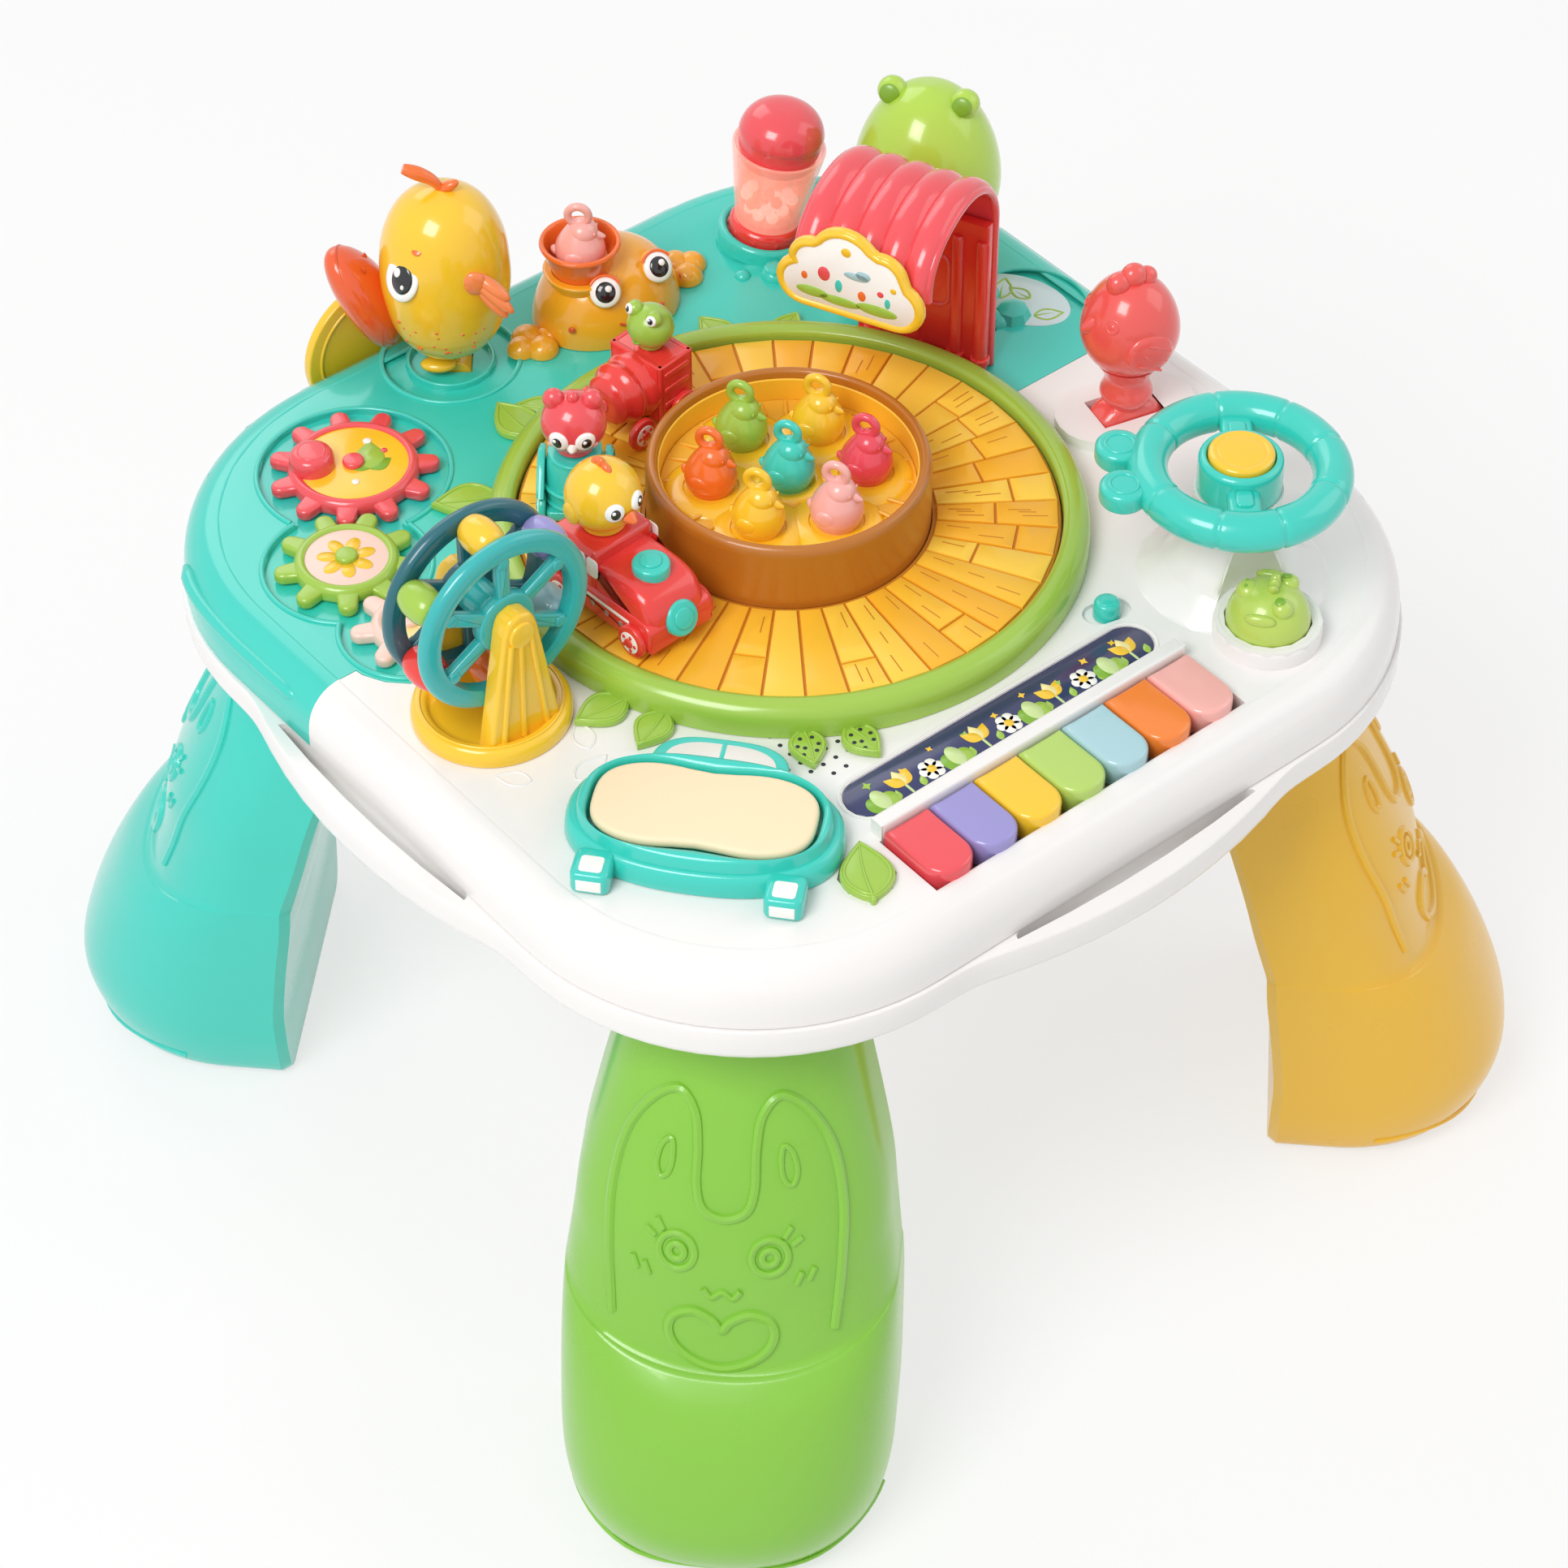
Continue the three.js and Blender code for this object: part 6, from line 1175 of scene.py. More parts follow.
eggShares = ((0, 0), (0.52, 0.05), (0.86, 0.2), (1, 0.4), (0.94, 0.62), (0.72, 0.82), (0.4, 0.95), (0, 1))
duckShares = ((0, 0), (0.5, 0.05), (0.84, 0.19), (0.98, 0.38), (1, 0.55), (0.93, 0.72), (0.72, 0.87), (0.4, 0.96),
              (0, 1))
leverFoot = deck - 7
duck = dict(shares=duckShares, low=13.0, radius=26.5, height=82.0, turn=141, farWing=-9, nearWing=-19.5, freckles=26,
            bill=(26, 15, 10.4), billTilt=-64, billAt=(26.5 * 1.27, 0, 13 + 82 * 0.33))
bear = dict(shares=eggShares, low=12.0, radius=31.0, height=80.0)
shiftBird = dict(shares=eggShares, low=34.0, radius=20.0, height=44.0, turn=-14)


def eggBody(animal, finish):  # shares of radius and height times the animal's own, carried round Z
    line = curve([(animal["radius"] * r, animal["low"] + animal["height"] * h) for r, h in animal["shares"]], 5)
    line[:, 0] = np.maximum(line[:, 0], 0.001)
    return lathe(line, finish, 56)


def bodyPoint(animal, angle, share):  # point on such a body at a share of its height, and the way it faces
    radii, heights = zip(*animal["shares"])
    r = np.interp(share, heights, radii) * animal["radius"]
    slope = np.interp(share, [0, 0.2, 0.45, 0.7, 1], [-1.4, -0.5, 0, 0.55, 3])
    c, s = math.cos(angle), math.sin(angle)
    return np.array([r * c, r * s, animal["low"] + animal["height"] * share]), unit((c, s, slope))


def footPart(radius, width, finish, edge=1.2):  # half round rocking foot, its axle along Y
    half = np.vstack([arc(0, 0, radius, 0, math.pi, 24), [(-radius, -3.4), (radius, -3.4)]])
    return upright(slab(half, -width / 2, width / 2, finish, edge, 5))


def stemPart(finish):  # short neck between foot and body
    return lathe([(0.001, 0), (5, 0), (4.8, 8), (6, 15), (0.001, 15)], finish, 24)


def makeDuck():  # body on a rocking foot, three feathers a side, a tuft, eyes, freckles at random
    low, top = duck["low"], duck["low"] + duck["height"]
    parts = [footPart(9.8, 11.6, "yellow"), eggBody(duck, "yellow"), stemPart("yellow")]
    for side in (-1, 1):
        reach = duck["nearWing"] if side > 0 else duck["farWing"]  # toward the sorter it keeps clear of the bowl
        for k, (rise, out, length) in enumerate(((3.6, 0.6, 9.6), (0, 1.6, 11.2), (-3.8, 0.8, 9.2))):
            feather = turned(egg((length, 3.0, 2.9), "wing", 26), math.radians(-34 + 7 * (1 - k)), "y")
            feather = turned(feather, -side * math.radians(26))
            parts.append(shifted(feather, reach - 0.6 * out, side * (22.0 + out), low + 46 + rise))
        parts.append(egg((5.2, 2.4, 5.6), "wing", 24, (reach + 6.5, side * 22.6, low + 51)))
        parts.append(egg((7.4, 4.6, 2.9), "yellow", 26, (4.5, side * 7.6, 10.2)))
    tuft = curve([(-1.4, 0, top - 2.4), (2.6, 0, top + 3.4), (8.2, 0, top + 6.8), (14.4, 0, top + 9.4)], 5)
    share = np.linspace(0, 1, len(tuft))
    parts.append(tube(tuft, 1.7 + 1.3 * np.sin(math.pi * share ** 1.6 * 0.9), "orange", 16))
    parts.append(shifted(turned(egg((4.8, 2.4, 2.2), "orange", 20), 0.5, "y"), -3.4, 0, top + 0.6))
    for side in (-1, 1):
        spot, way = bodyPoint(duck, side * math.radians(52), 0.63)
        for radii, finish, steps, place in (
                ((8.2, 9.8, 2.2), "eyeWhite", 36, (0, 0, 0)), ((5.2, 6.4, 1.6), "eyeBlack", 28, (side, 0.2, 1.4)),
                ((1.7, 2.1, 0.8), "eyeWhite", 16, (-1.2, 2.6, 2.6)),
                ((0.9, 1.1, 0.5), "eyeWhite", 12, (2.6 * side, -2.4, 2.7))):
            parts.append(aimed(egg(radii, finish, steps, place), way, spot - way * 0.5))
        spot, way = bodyPoint(duck, side * math.radians(66), 0.8)
        parts.append(aimed(egg((2.4, 2.4, 0.5), "orange", 18), way, spot))
        chance = np.random.default_rng(5)
        for _ in range(duck["freckles"]):
            angle = side * math.radians(chance.uniform(40, 140))
            spot, way = bodyPoint(duck, angle, chance.uniform(0.12, 0.34))
            parts.append(aimed(egg((0.8, 0.8, 0.4), "orange", 10), way, spot + way * 0.25))
    place = (*spots["duck"], leverFoot, math.radians(duck["turn"]))
    makePiece("duckSmooth", placed(parts, *place), "duck", ["duck_lever"], sharp=60)
    makeBill(place)


def makeBill(place):  # flat egg bent up in the middle by 2.2 (1 - share squared), a seam round it
    length, width, _ = duck["bill"]
    verts, faces, finish = egg(duck["bill"], "beak", 48)
    verts[:, 2] += 2.2 * (1 - (verts[:, 0] / length) ** 2) - 1.1
    a = np.linspace(0, fullTurn, 49)[:-1]
    seam = np.column_stack([25.4 * np.cos(a), 14.7 * np.sin(a) * 0.98, 1.2 * np.cos(a) ** 2 + 0.2])
    parts = [(verts, faces, finish), tube(seam, 0.55, "orangeDeep", 8, closed=True)]
    parts += [egg((1.5, 1.1, 0.5), "orangeDeep", 12, (14.5, side * width / 3, 8.6)) for side in (-1, 1)]
    parts = [shifted(turned(part, math.radians(duck["billTilt"]), "y"), *duck["billAt"]) for part in parts]
    makePiece("beakSmooth", placed(parts, *place), "duck", ["duck_beak"], sharp=60)


def makeBear():  # body on a rocking foot, ears, arms, face and belly toward -X before it is placed
    low = bear["low"]
    parts = [footPart(9.8, 11.6, "limeBright"), eggBody(bear, "limeBright"), stemPart("limeBright")]
    for side in (-1, 1):
        parts.append(egg(6.3, "limeBright", 28, (0, side * 15.6, low + 74.6)))
        parts.append(aimed(egg((4.2, 4.2, 1.2), "leafDark", 24), (-1, 0, 0.4), (-5.2, side * 15.6, low + 76.4)))
        arm = turned(egg((6.8, 5.4, 14.2), "limeBright", 28), side * 0.18, "x")
        parts.append(shifted(arm, -12.4, side * 28, low + 28))
        spot, way = bodyPoint(bear, math.pi - side * 0.42, 0.68)
        parts += eye(spot - way * 0.6, way, 4.6)
        spot, way = bodyPoint(bear, math.pi - side * 0.75, 0.55)
        parts.append(aimed(egg((3, 2.4, 0.5), "pink", 18), way, spot))
    for radii, finish, steps, share, out in (((5, 3.8, 2.6), "limePale", 24, 0.58, 0),
                                             ((1.9, 1.4, 1.2), "eyeBlack", 16, 0.58, 2.4),
                                             ((13, 14, 2.2), "limePale", 32, 0.3, -0.9)):  # snout, nose, belly
        spot, way = bodyPoint(bear, math.pi, share)
        parts.append(aimed(egg(radii, finish, steps), way, spot + way * out))
    x, y = spots["bear"]
    makePiece("bearSmooth", placed(parts, x, y, leverFoot, math.atan2(y, x)), "bear_lever", ["bear_lever"],
              sharp=60)


def makeShiftBird():  # body on a long neck and a wide foot, crest, wings, eyes, beak and tail
    low, top, tint = shiftBird["low"], shiftBird["low"] + shiftBird["height"], "coralWarm"
    neck = profile([(8.0, 0), (7.6, 10), (7.8, 14.4), (10.8, 20.4), (9.4, 25.5), (9.2, 30), (13, 37)], 5,
                   [(0.001, 0)], [(0.001, 38)])
    parts = [footPart(17.8, 16.6, tint, 5.6), eggBody(shiftBird, tint), lathe(neck, tint, 32)]
    for x, z, size in ((-6.4, 0.4, 5.2), (0.2, 2.6, 5.4), (6.0, 0.2, 4.6)):
        parts.append(egg((size, size * 0.9, size), tint, 24, (x, 0, top + z - 1.6)))
    for side in (-1, 1):
        parts.append(shifted(turned(egg((10.6, 3.4, 9.6), tint, 28), 0.35, "y"), -1, side * 17.6, low + 18.5))
        for k in range(3):
            line = [(-7 + 5.4 * s + k * 2, side * (20.6 - 0.5 * s), low + 16 + 4.4 * k - 3 * s) for s in (0, 1, 2)]
            parts.append(tube(curve(line, 4), 0.6, tint, 8))
        spot, way = bodyPoint(shiftBird, math.pi - side * 0.62, 0.7)
        parts += [aimed(part, way, spot) for part in (hoop(2.6, 0.55, tint, 24, 8), egg((1.4, 1.4, 0.7), tint, 16))]
    beak = scaled(lathe([(0.001, 5.4), (1.4, 4.6), (4.4, 0), (0.001, -3)], tint, 24), 0.75, 1.1, 1)
    parts.append(aimed(beak, (-1, 0, -0.1), (-17.4, 0, low + 26)))
    parts.append(shifted(turned(egg((6, 4.6, 3), tint, 24), -0.5, "y"), 16.6, 0, low + 15))
    bird = placed(parts, *spots["shiftLever"], leverFoot, math.radians(shiftBird["turn"]))
    makePiece("shiftBirdSmooth", bird, "shift_lever", ["shift_lever"], sharp=60)


sorter = dict(x=30.0, y=156.0, wide=33.0, deep=27.0, high=33.0, bowlX=-13.0, bowlY=-1.0, bowlFoot=27.3, paw=38.0)


def makeSorter():  # half egg of three radii, eyes in domes, paws, a bowl on top
    w, d, h = sorter["wide"], sorter["deep"], sorter["high"]
    dome = scaled(lathe(np.vstack([[(0.001, 0.02)], arc(0, 0, 1, 0, quarter, 21)]), "amber", 60), w, d, h)
    dome[0][:, 2] = np.maximum(dome[0][:, 2], 0.05)
    seat = lathe(curve([(12.2, 24), (14.6, 28), (15.8, 30.6), (15.2, 31.4), (12.4, 31.2)], 3), "amber", 36, ring=True)
    parts = [dome, shifted(seat, sorter["bowlX"], sorter["bowlY"], -3.2)]
    for side, centre in ((-1, (-11.4, -14.4, 22.6)), (1, (14.0, -14.2, 22.0))):
        way = unit((side * 0.16 - 0.3, -0.74, 0.6))
        parts.append(egg((7.6, 7.6, 7.4), "amber", 32, centre))
        for radii, finish, steps, place in (((6.4, 6.4, 2.2), "eyeWhite", 32, (0, 0, 0)),
                                            ((4.3, 4.5, 1.5), "eyeBlack", 28, (0, 0, 1.3)),
                                            ((1.5, 1.5, 0.7), "eyeWhite", 14, (1.2, 1.4, 2.5))):
            parts.append(aimed(egg(radii, finish, steps, place), way, centre + way * 6.1))
        lid = curve(level(arc(0, 0, 6.9, 0.5, 2.6, 8), 0.4), 3)
        parts.append(aimed(tube(lid, 0.7, "orange", 8), way, centre + way * 6.0))
        for dx, dy, size in ((0, -6.5, 6.8), (-side * 8, -1.5, 6), (side * 6.6, -1, 6.4), (side * 1, 3, 7)):
            toe = egg((size, size, size * 0.98), "amber", 26)
            toe[0][:, 2] = np.maximum(toe[0][:, 2], 0.02)
            parts.append(shifted(toe, side * sorter["paw"] + dx, dy, 0))
        parts.append(aimed(egg((1.5, 1.5, 0.5), "orangeDeep", 14), (side * 0.9, -0.6, 0.3),
                           (side * w * 0.86, -d * 0.52, h * 0.32)))
    s = np.linspace(-1, 1, 11)
    deep = np.sqrt(np.maximum(0, 1 - (0.34 * s) ** 2 - (0.3 - 0.05 * s * s) ** 2))
    smile = np.column_stack([w * 0.34 * s, -d * deep - 0.1, h * (0.3 - 0.05 + 0.1 * s * s)])
    parts.append(tube(smile, 0.6, "orangeDeep", 8))
    makePiece("sorterSmooth", placed(parts, sorter["x"], sorter["y"], deck + 0.3), "case", ["sorter_frog"],
              sharp=60)
    line = profile([(12, 0.4), (13.4, 5), (15, 10), (16.2, 13.6), (16.6, 14.8), (15.8, 15), (14.8, 14.4), (13.4, 9.6),
                    (10.6, 3.6), (9, 2.6)], 4, [(0.001, 0), (11.8, 0)], [(0.001, 2.5)])
    bowl = placed([lathe(line, "orange", 48), hoop(15.8, 1.15, "orange", 48, 10, 13.8)],
                  sorter["x"] + sorter["bowlX"], sorter["y"] + sorter["bowlY"], deck + sorter["bowlFoot"])
    makePiece("bowlSmooth", bowl, "case", ["sorter_bowl"], sharp=50)


popper = dict(x=111, y=151, turn=-40, lean=8, radius=16, beads=36, perRing=9, beadRadius=2.7, beadFoot=14.6,
              ringRadii=(8.6, 10.2, 11.0, 11.8), ringStep=5.0)


def atPopper(parts):  # leant about Y and lifted so that its rim stays on the deck
    lean, turn = math.radians(popper["lean"]), math.radians(popper["turn"])
    parts = [turned(part, lean, "y") for part in parts]
    return placed(parts, popper["x"], popper["y"], deck + popper["radius"] * math.sin(lean), turn)


def makePopperTube():  # base with grips round it, and a clear tube that widens upward
    line = profile([(15.9, 5.2), (15.6, 7), (14.6, 8.4), (13.4, 9), (12, 9)], 4,
                   [(0.001, 0), (15.9, 0)], [(0.001, 9)])
    base = [lathe(line, "red", 48)] + [turned(egg((2.2, 2.2, 3), "red", 14, (14.1, 0, 4.6)), a) for a in around(10)]
    makePiece("popperBaseSmooth", atPopper(base), "case", ["popper_base"], sharp=50)
    line = profile([(13.9, 9.4), (14.6, 14), (16, 22), (17.6, 32), (19.3, 42), (19.9, 46), (19.6, 47.2), (18.6, 47.2),
                    (17.9, 45), (16, 33), (14, 20), (12.6, 12.4), (11.6, 11.4)], 5,
                   [(0.001, 9.35), (13.4, 9.35)], [(0.001, 11.3)])
    clear = atPopper([lathe(line, "clearPink", 56)])
    makePiece("popperTubeSmooth", clear, "case", ["popper_tube"], sharp=50)


def makePopperCap():  # domed cap with a hoop, and the collar the tube stands in
    line = profile([(16.6, 44), (17.4, 47.6), (17.5, 52.2), (18, 53.6), (17.9, 55.4), (16.4, 59.4), (13.4, 63),
                    (9, 65.4), (4.4, 66.4), (0.001, 66.6)], 5, [(0.001, 40.2), (16, 40.2)])
    cap = [lathe(line, "coral", 48), hoop(17.3, 0.8, "coral", 48, 10, 53.6)]
    makePiece("popperCapSmooth", atPopper(cap), "popper_cap", ["popper_cap"], sharp=60)
    line = [(16.5, -3), (16.5, 3.6), (17.6, 4.4), (19.4, 4.2), (20.2, 2.6), (20.4, -3)]
    makePiece("popperCollar", atPopper([lathe(line, "teal", 48, ring=True)]), "case", sharp=60)


def makeBeads():  # rings of beads above each other, the first bead of each ring near the middle
    chance = np.random.default_rng(11)
    looks = ("bead", "beadPink", "beadPink", "bead", "beadPink")
    beads = []
    for i in range(popper["beads"]):
        ring, k = divmod(i, popper["perRing"])
        a = fullTurn * k / popper["perRing"] + 0.35 * ring
        r = popper["ringRadii"][ring] if k else 2
        place = (r * math.cos(a), r * math.sin(a), popper["beadFoot"] + popper["ringStep"] * ring)
        beads.append(egg(popper["beadRadius"], looks[chance.integers(5)], 14, place))
    makePiece("popperBeads", atPopper(beads), "case", sharp=60)


makeDuck()
makeBear()
makeShiftBird()
makeSorter()
makePopperTube()
makeBeads()
makePopperCap()
print("animals and popper built")

# Gears in mesh: phases follow from the bearings and tooth numbers

gearPitch = 17.7
gears = {"red": dict(teeth=11, x=-112.0, y=137.0, phase=0.0, looks=("coral", "yellow"), slot="coral"),
         "lime": dict(teeth=9, bearing=232, after="red", looks=("lime", "pinkPale"), slot="lime"),
         "pink": dict(teeth=7, bearing=267, after="lime", looks=("pinkPale", "yellowPale"), slot="pink")}
pit = dict(clear=7, rimOut=0.9, rimThick=1.15, steps=720, keepEvery=6)


def pitchRadius(gear):  # tooth number times pitch over the full turn
    return gear["teeth"] * gearPitch / fullTurn


def gearPlaces():  # each gear a centre distance from its driver, its teeth half a tooth out of step with it
    for gear in gears.values():
        if "after" not in gear:
            continue
        driver, bearing = gears[gear["after"]], math.radians(gear["bearing"])
        apart = pitchRadius(gear) + pitchRadius(driver)
        lead = (bearing - driver["phase"]) * driver["teeth"] / fullTurn
        miss = lead - math.floor(lead)
        gear.update(x=driver["x"] + apart * math.cos(bearing), y=driver["y"] + apart * math.sin(bearing),
                    phase=bearing + math.pi + (miss - 0.5) * fullTurn / gear["teeth"])


def gearOutline(teeth):  # root arcs and half round pegs in turn
    pitch = teeth * gearPitch / fullTurn
    root, reach, peg = pitch - 4.5, pitch - 0.5, 3.9
    flank = math.asin(peg / root)
    rows = []
    for angle in around(teeth):
        rows.append(arc(0, 0, root, angle - fullTurn / teeth + flank + 0.02, angle - flank - 0.02, 4))
        rows.append(arc(reach * math.cos(angle), reach * math.sin(angle), peg, angle - quarter, angle + quarter, 9))
    return np.vstack(rows), root


def pictureParts(name, finish):  # plain sprig, flower or dot on the plate of a gear
    if name == "pink":
        return [printed(ellipse(3.4, 3.4, 20), 5.7, 6.3, "sky")]
    if name == "lime":
        petals = [moved(ellipse(4.4, 2.8, 20), 7.4 * math.cos(a), 7.4 * math.sin(a), a) for a in around(7)]
        middle = printed(ellipse(4.2, 4.2, 24), 6.1, 6.5, "amber")
        return [printed(petal, 5.7, 6.2, "yellow") for petal in petals] + [middle]
    parts = []
    for turn, size, tint in ((-20, 1.0, "lime"), (-75, 0.62, "leafDark"), (35, 0.62, "leafDark")):
        sprig = moved(leaf(17 * size, 12 * size), 3.0, -7.0, math.radians(turn + 75))
        parts.append(printed(sprig, 5.7, 6.15 + 0.1 * size, tint))
    for x, y, r, tint in ((12, 7.5, 1.7, "stickerWhite"), (14, -1.5, 1.3, "coral"), (-6, -10, 1.5, "stickerWhite"),
                          (4.4, 1.5, 2.0, "limePale")):
        parts.append(printed(ellipse(r, r, 20, x, y), 5.7, 6.4, tint))
    knob = lathe(curve([(9, 4), (9.1, 9.2), (8.3, 12), (6.0, 13.4), (0.001, 13.8)], 4), finish, 36)
    return parts + placed([knob, hoop(5.4, 0.6, finish, 28, 8, 13.1)], -13.4, 9.4)


def makeGear(name, gear):  # toothed plate with a rim, a round picture and a hub
    finish, plate = gear["looks"]
    outline, root = gearOutline(gear["teeth"])
    rim = profile([(root - 4.4, 6.4), (root - 3.2, 7), (root - 1.6, 6.6), (root - 0.4, 5.2), (root - 0.1, 4.2)], 4,
                  [(root - 4.6, 4.8)], [(root - 4.6, 4.2)])
    parts = [slab(outline, 0, 5.3, finish, 1.7, 4), lathe(rim, finish, 56, ring=True),
             disc(root - 4.2, 4.6, 5.9, plate, 0.2, 48)]
    parts += pictureParts(name, finish) + [disc(4.4, 5.4, 8.4, finish, 1.2, 28)]
    makePiece("gearSmooth_" + name, placed(parts, gear["x"], gear["y"], deck - 1.5, gear["phase"]), "gear_" + name,
              ["gear_" + name], sharp=50)


def makePitRim(name, gear):  # circle round the pit, left out where it would run into a neighbour's pit
    r = pitchRadius(gear) + pit["clear"] + pit["rimOut"]
    circle = ellipse(r, r, pit["steps"], gear["x"], gear["y"])
    gaps = [np.linalg.norm(circle - np.array([other["x"], other["y"]]), axis=1) - pitchRadius(other) - pit["clear"]
            for other in gears.values() if other is not gear]
    keep = np.min(gaps, 0) > 0.6
    order = np.flatnonzero(keep)
    runs = np.split(order, np.flatnonzero(np.diff(order) > 1) + 1)
    if keep[0] and keep[-1] and len(runs) > 1:
        runs[0] = np.concatenate([runs.pop(), runs[0]])
    rims = [tube(level(circle[run[::pit["keepEvery"]]], deck + 0.1), pit["rimThick"], "teal", 8) for run in runs]
    makePiece("pitRim_" + name, rims, "case", sharp=60)


# Spinning wheel: two windowed discs with coloured rollers between them, on an axle along Y

spin = dict(x=-152.0, y=-9.0, rise=55.3, radius=37.9, apart=22.0, rollerRadius=32.4, axle=18.8,
            rollers=("sky", "orange", "red", "lime", "yellow", "purple"), standRadius=30.8, postY=17.8)


def alongY(part):  # drawn round Z, its axis turned to Y
    return scaled(upright(part), 1, -1, 1)


def spinPlate(middle, finish):  # rim, hub and six spokes with a knob at the end of each
    r = spin["radius"]
    rim = [(r - 8.8, 2.3), (r - 5.4, 3.0), (r - 1.6, 2.7), (r, 1.2)]
    hub = [(6, 3.2), (11.4, 2.8), (12.6, 1.6)]
    rim, hub = ([(x, -z) for x, z in half] + half[::-1] for half in (rim, hub))
    parts = [lathe(curve(rim, 4)[:-1], finish, 72, ring=True),
             lathe(profile(hub, 3, [(0.001, -3.2)], [(0.001, 3.2)]), finish, 40)]
    spoke = [shifted(block(r - 15, 5.8, -2.1, 2.1, finish, 1.1, 1), (r - 15) / 2 + 8),
             shifted(disc(2.7, -2.6, 2.6, finish, 0.8, 20), r - 9.8)]
    for a in around(6):
        parts += placed(spoke, turn=a + fullTurn / 12)
    return [shifted(alongY(part), 0, middle, 0) for part in parts]


def makeSpinWheel():  # two plates, the rollers between them and the axle through them
    half = spin["apart"] / 2
    # the rear plate is a darker teal: painted shade for where it sits behind the rollers and the front plate
    parts = spinPlate(-half, "tealDeep") + spinPlate(half, "tealShade")
    parts.append(alongY(disc(7.4, -half, half, "tealDeep", 0.5, 32)))
    parts.append(alongY(disc(2.9, -spin["axle"], spin["axle"], "tealDeep", 0.8, 24)))
    line = curve([(0.001, -8.9), (3.2, -8.9), (5.8, -7.2), (7.1, -3.4), (7.3, 0), (7.1, 3.4), (5.8, 7.2), (3.2, 8.9),
                  (0.001, 8.9)], 3)
    for i, finish in enumerate(spin["rollers"]):
        a = fullTurn * (i + 0.5) / 6
        x, z = spin["rollerRadius"] * math.cos(a), -spin["rollerRadius"] * math.sin(a)
        parts.append(shifted(alongY(lathe(line, finish, 28)), x, 0, z))
    makePiece("spinWheelSmooth", placed(parts, spin["x"], spin["y"], deck + spin["rise"]), "spin_wheel",
              ["spin_wheel"], sharp=50)


def makeSpinStand():  # round base and two posts, held within the base's radius
    base = profile([(30.9, 1), (30.4, 4.2), (29, 6.4), (27, 7), (24.8, 6.6), (23.2, 4.8), (21, 4.1)], 4,
                   [(0.001, 0), (30.6, 0)], [(0.001, 4)])
    stand = [lathe(base, "yellow", 64), hoop(27.2, 0.7, "yellow", 64, 8, 7)]
    up = curve([(16.8, 0.5), (15.6, 9), (12.4, 28), (8.8, 50), (7.4, 57.5), (5, 62.4), (0, 64.4)], 5)
    post = upright(slab(np.vstack([up, up[::-1][1:] * np.array([-1, 1])]), -4.3, 4.3, "yellow", 1.7, 4))
    for side in (-1, 1):
        stand.append(shifted(post, 0, side * spin["postY"], 0))
        for x0, x1 in ((-1.2, -0.6), (9.6, 4.2), (-10.6, -4.8)):
            line = inDepth(np.linspace((x0, 5), (x1, 52), 8), side * 22.1)
            stand.append(tube(line, 1.3, "yellow", 8))
        stand.append(shifted(alongY(disc(5.6, -1.6, 1.6, "yellow", 0.8, 28)), 0, side * 21.6, 55))
    limited = []
    for verts, faces, finish in stand:
        far = np.maximum(np.hypot(verts[:, 0], verts[:, 1]), 1e-6)
        flat = verts[:, :2] * np.minimum(1, spin["standRadius"] / far)[:, None]
        limited.append((np.column_stack([flat, verts[:, 2]]), faces, finish))
    makePiece("spinStandSmooth", placed(limited, spin["x"], spin["y"], deck + 0.3), "case", ["spin_stand"],
              sharp=50)


sideDisc = dict(x=-56, y=206.5, z=272, radius=31, foot=252.3, ring=25)


def makeSideDisc():  # a round plate standing on a flat foot
    start = math.asin((sideDisc["foot"] - sideDisc["z"]) / sideDisc["radius"])
    parts = [upright(slab(arc(0, 0, 30.9, start, math.pi - start, 60), -2.2, 2.2, "yellow", 0.9, 3))]
    ring = arc(0, 0, sideDisc["ring"], start + 0.25, math.pi - start - 0.25, 48)
    parts += [tube(inDepth(ring, side * 2.1), 0.8, "yellow", 8) for side in (-1, 1)]
    makePiece("sideDiscSmooth", placed(parts, sideDisc["x"], sideDisc["y"], sideDisc["z"]), "case",
              ["side_disc"], sharp=50)


# Small reliefs and prints on the deck

domes = ((98, 128, 6.4), (112, 121, 7.4), (87, 136, 3.6))
sideBar = ((-198.4, 52, 267.4), (-198.9, 70, 267.4), (-198.9, 100, 267.4), (-196, 125, 267.4), (-189.6, 143, 267.4))
window = dict(x=166, y=50, turn=-70, leaves=((160, 55, 1.0, 40), (170, 47, 0.8, 100), (163, 38, 0.9, -30)),
              berries=((176, 39, "red"), (172, 58, "red"), (178, 48, "stickerWhite"), (157, 47, "yellow")),
              domes=((157, 62, 7), (150, 46, 6)))
speaker = dict(x=-72, y=-100, reach=17, step=6, leaves=((-127, 10, 0.85), (-119, 30, 0.85)),
               leafHoles=((7, -2.6), (7, 2.8), (11.5, -4.6), (11.5, 4.8), (13, -1.6), (15.5, 3.2), (17, -3)))
deckLeaves = ((-150, -58, 10, 1), (-136, -48, 70, 0.9), (-163, -48, 130, 0.8), (-120, -60, 30, 0.7))


def makeTealReliefs():  # domes, rings round the duck and the bar along the left side
    parts = [egg((r, r, r * 0.9), "teal", 28, (x, y, deck - 0.6)) for x, y, r in domes]
    parts += placed([hoop(28.6, 1.1, "teal", 72, 10), hoop(17.6, 0.9, "teal", 56, 10)], *spots["duck"], deck + 0.1)
    line = curve(sideBar, 6)
    thick = np.interp(np.linspace(0, 1, len(line)), [0, 0.08, 0.92, 1], [1.2, 3.2, 3.2, 1.2])
    makePiece("tealReliefs", parts + [tube(line, thick, "teal", 12)], "case", sharp=60)


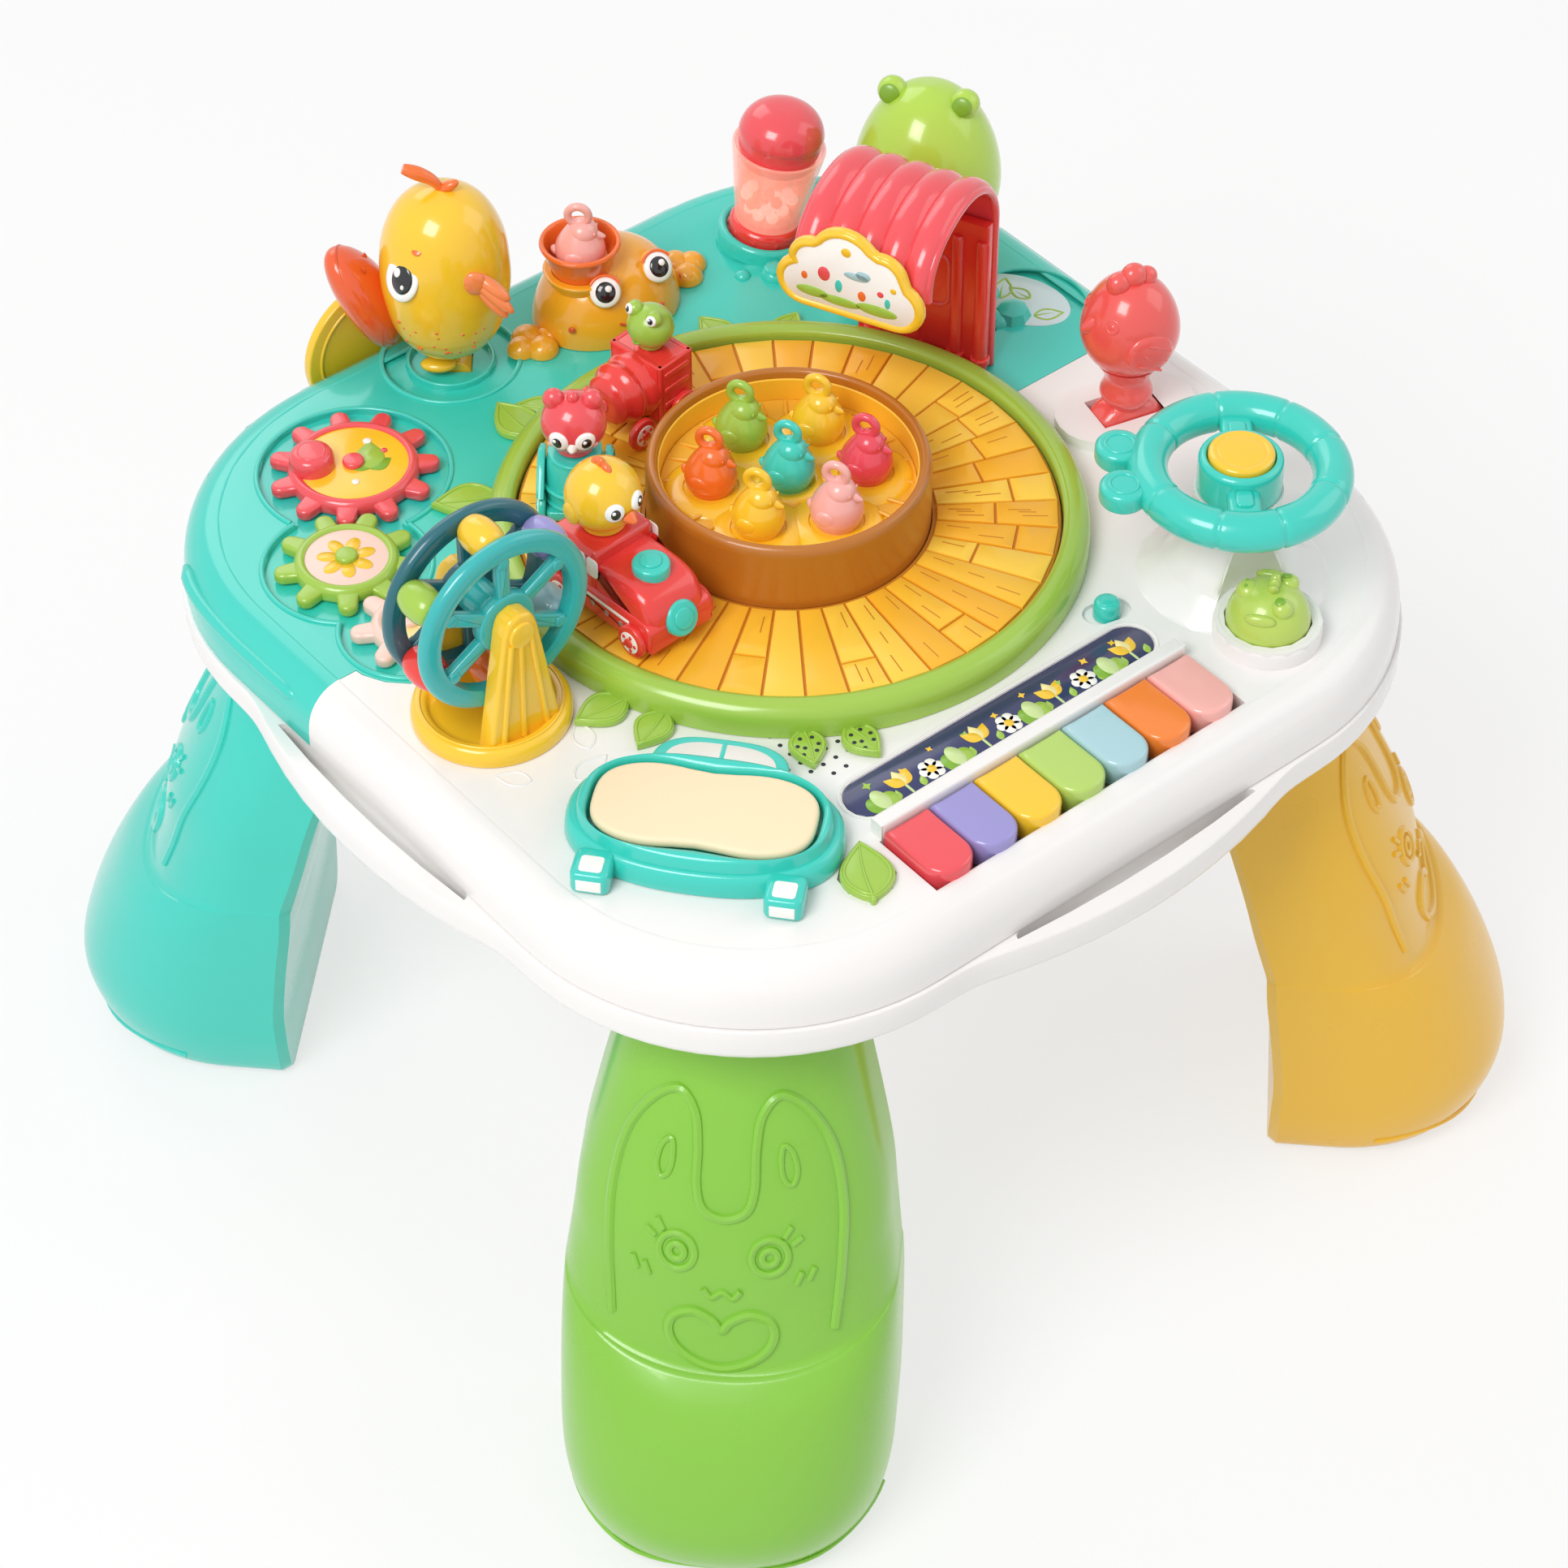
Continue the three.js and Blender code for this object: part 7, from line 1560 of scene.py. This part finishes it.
def makeWindow():  # pale pane beside the station with leaves, berries and domes in low relief
    pane = moved(ellipse(23, 15, 48), window["x"], window["y"], math.radians(window["turn"]))
    parts = [printed(pane, deck - 0.6, deck + 0.5, "panePale", 0.3),
             tube(level(arc(165, 44, 26, -1.2, 1.5, 19), deck + 0.1), 0.9, "teal", 8)]
    for x, y, size, turn in window["leaves"]:
        parts += placed(leafPlate(15 * size, 9 * size, 2.6), x, y, deck - 1.8, math.radians(turn))
    parts += [egg((2.4, 2.4, 1.8), finish, 18, (x, y, deck - 1.4)) for x, y, finish in window["berries"]]
    parts += [egg((r, r, r * 0.8), "teal", 26, (x, y, deck - 1)) for x, y, r in window["domes"]]
    makePiece("windowPlants", parts, "case", sharp=60)


def makeSpeakerHoles():  # a round field of holes that goes on over the two leaves beside it
    marks = []
    for x in range(-92, -52, speaker["step"]):
        for y in range(-116, -84, speaker["step"]):
            if math.hypot(x - speaker["x"], y - speaker["y"]) < speaker["reach"]:
                marks.append(shifted(disc(0.95, -0.2, 0.12, "shadow", 0.05, 12), x, y, deck))
    for bearing, lean, size in speaker["leaves"]:
        holes = [shifted(disc(0.85, -0.3, 0.15, "shadow", 0.05, 12), x * size, y * size, 3.9 * 0.72 + 0.3)
                 for x, y in speaker["leafHoles"]]
        marks += placed(placed(holes, 115.5, 0, deck, math.radians(lean)), turn=math.radians(bearing))
    makePiece("speakerHoles", marks, "case", sharp=60)


def makeDeckLeaves():  # leaf outlines as thin tubes, each scaled, turned and moved
    outlines = [moved(leaf(17 * size, 9 * size), x, y, math.radians(turn)) for x, y, turn, size in deckLeaves]
    relief = [tube(level(outline, deck), 0.55, "white", 8, closed=True) for outline in outlines]
    makePiece("deckRelief", relief, "case", sharp=60)


gearPlaces()
for gearName, gear in gears.items():
    makeGear(gearName, gear)
    makePitRim(gearName, gear)
makeSpinWheel()
makeSpinStand()
makeSideDisc()
makeTealReliefs()
makeWindow()
makeSpeakerHoles()
makeDeckLeaves()
print("gears, wheel and reliefs built")
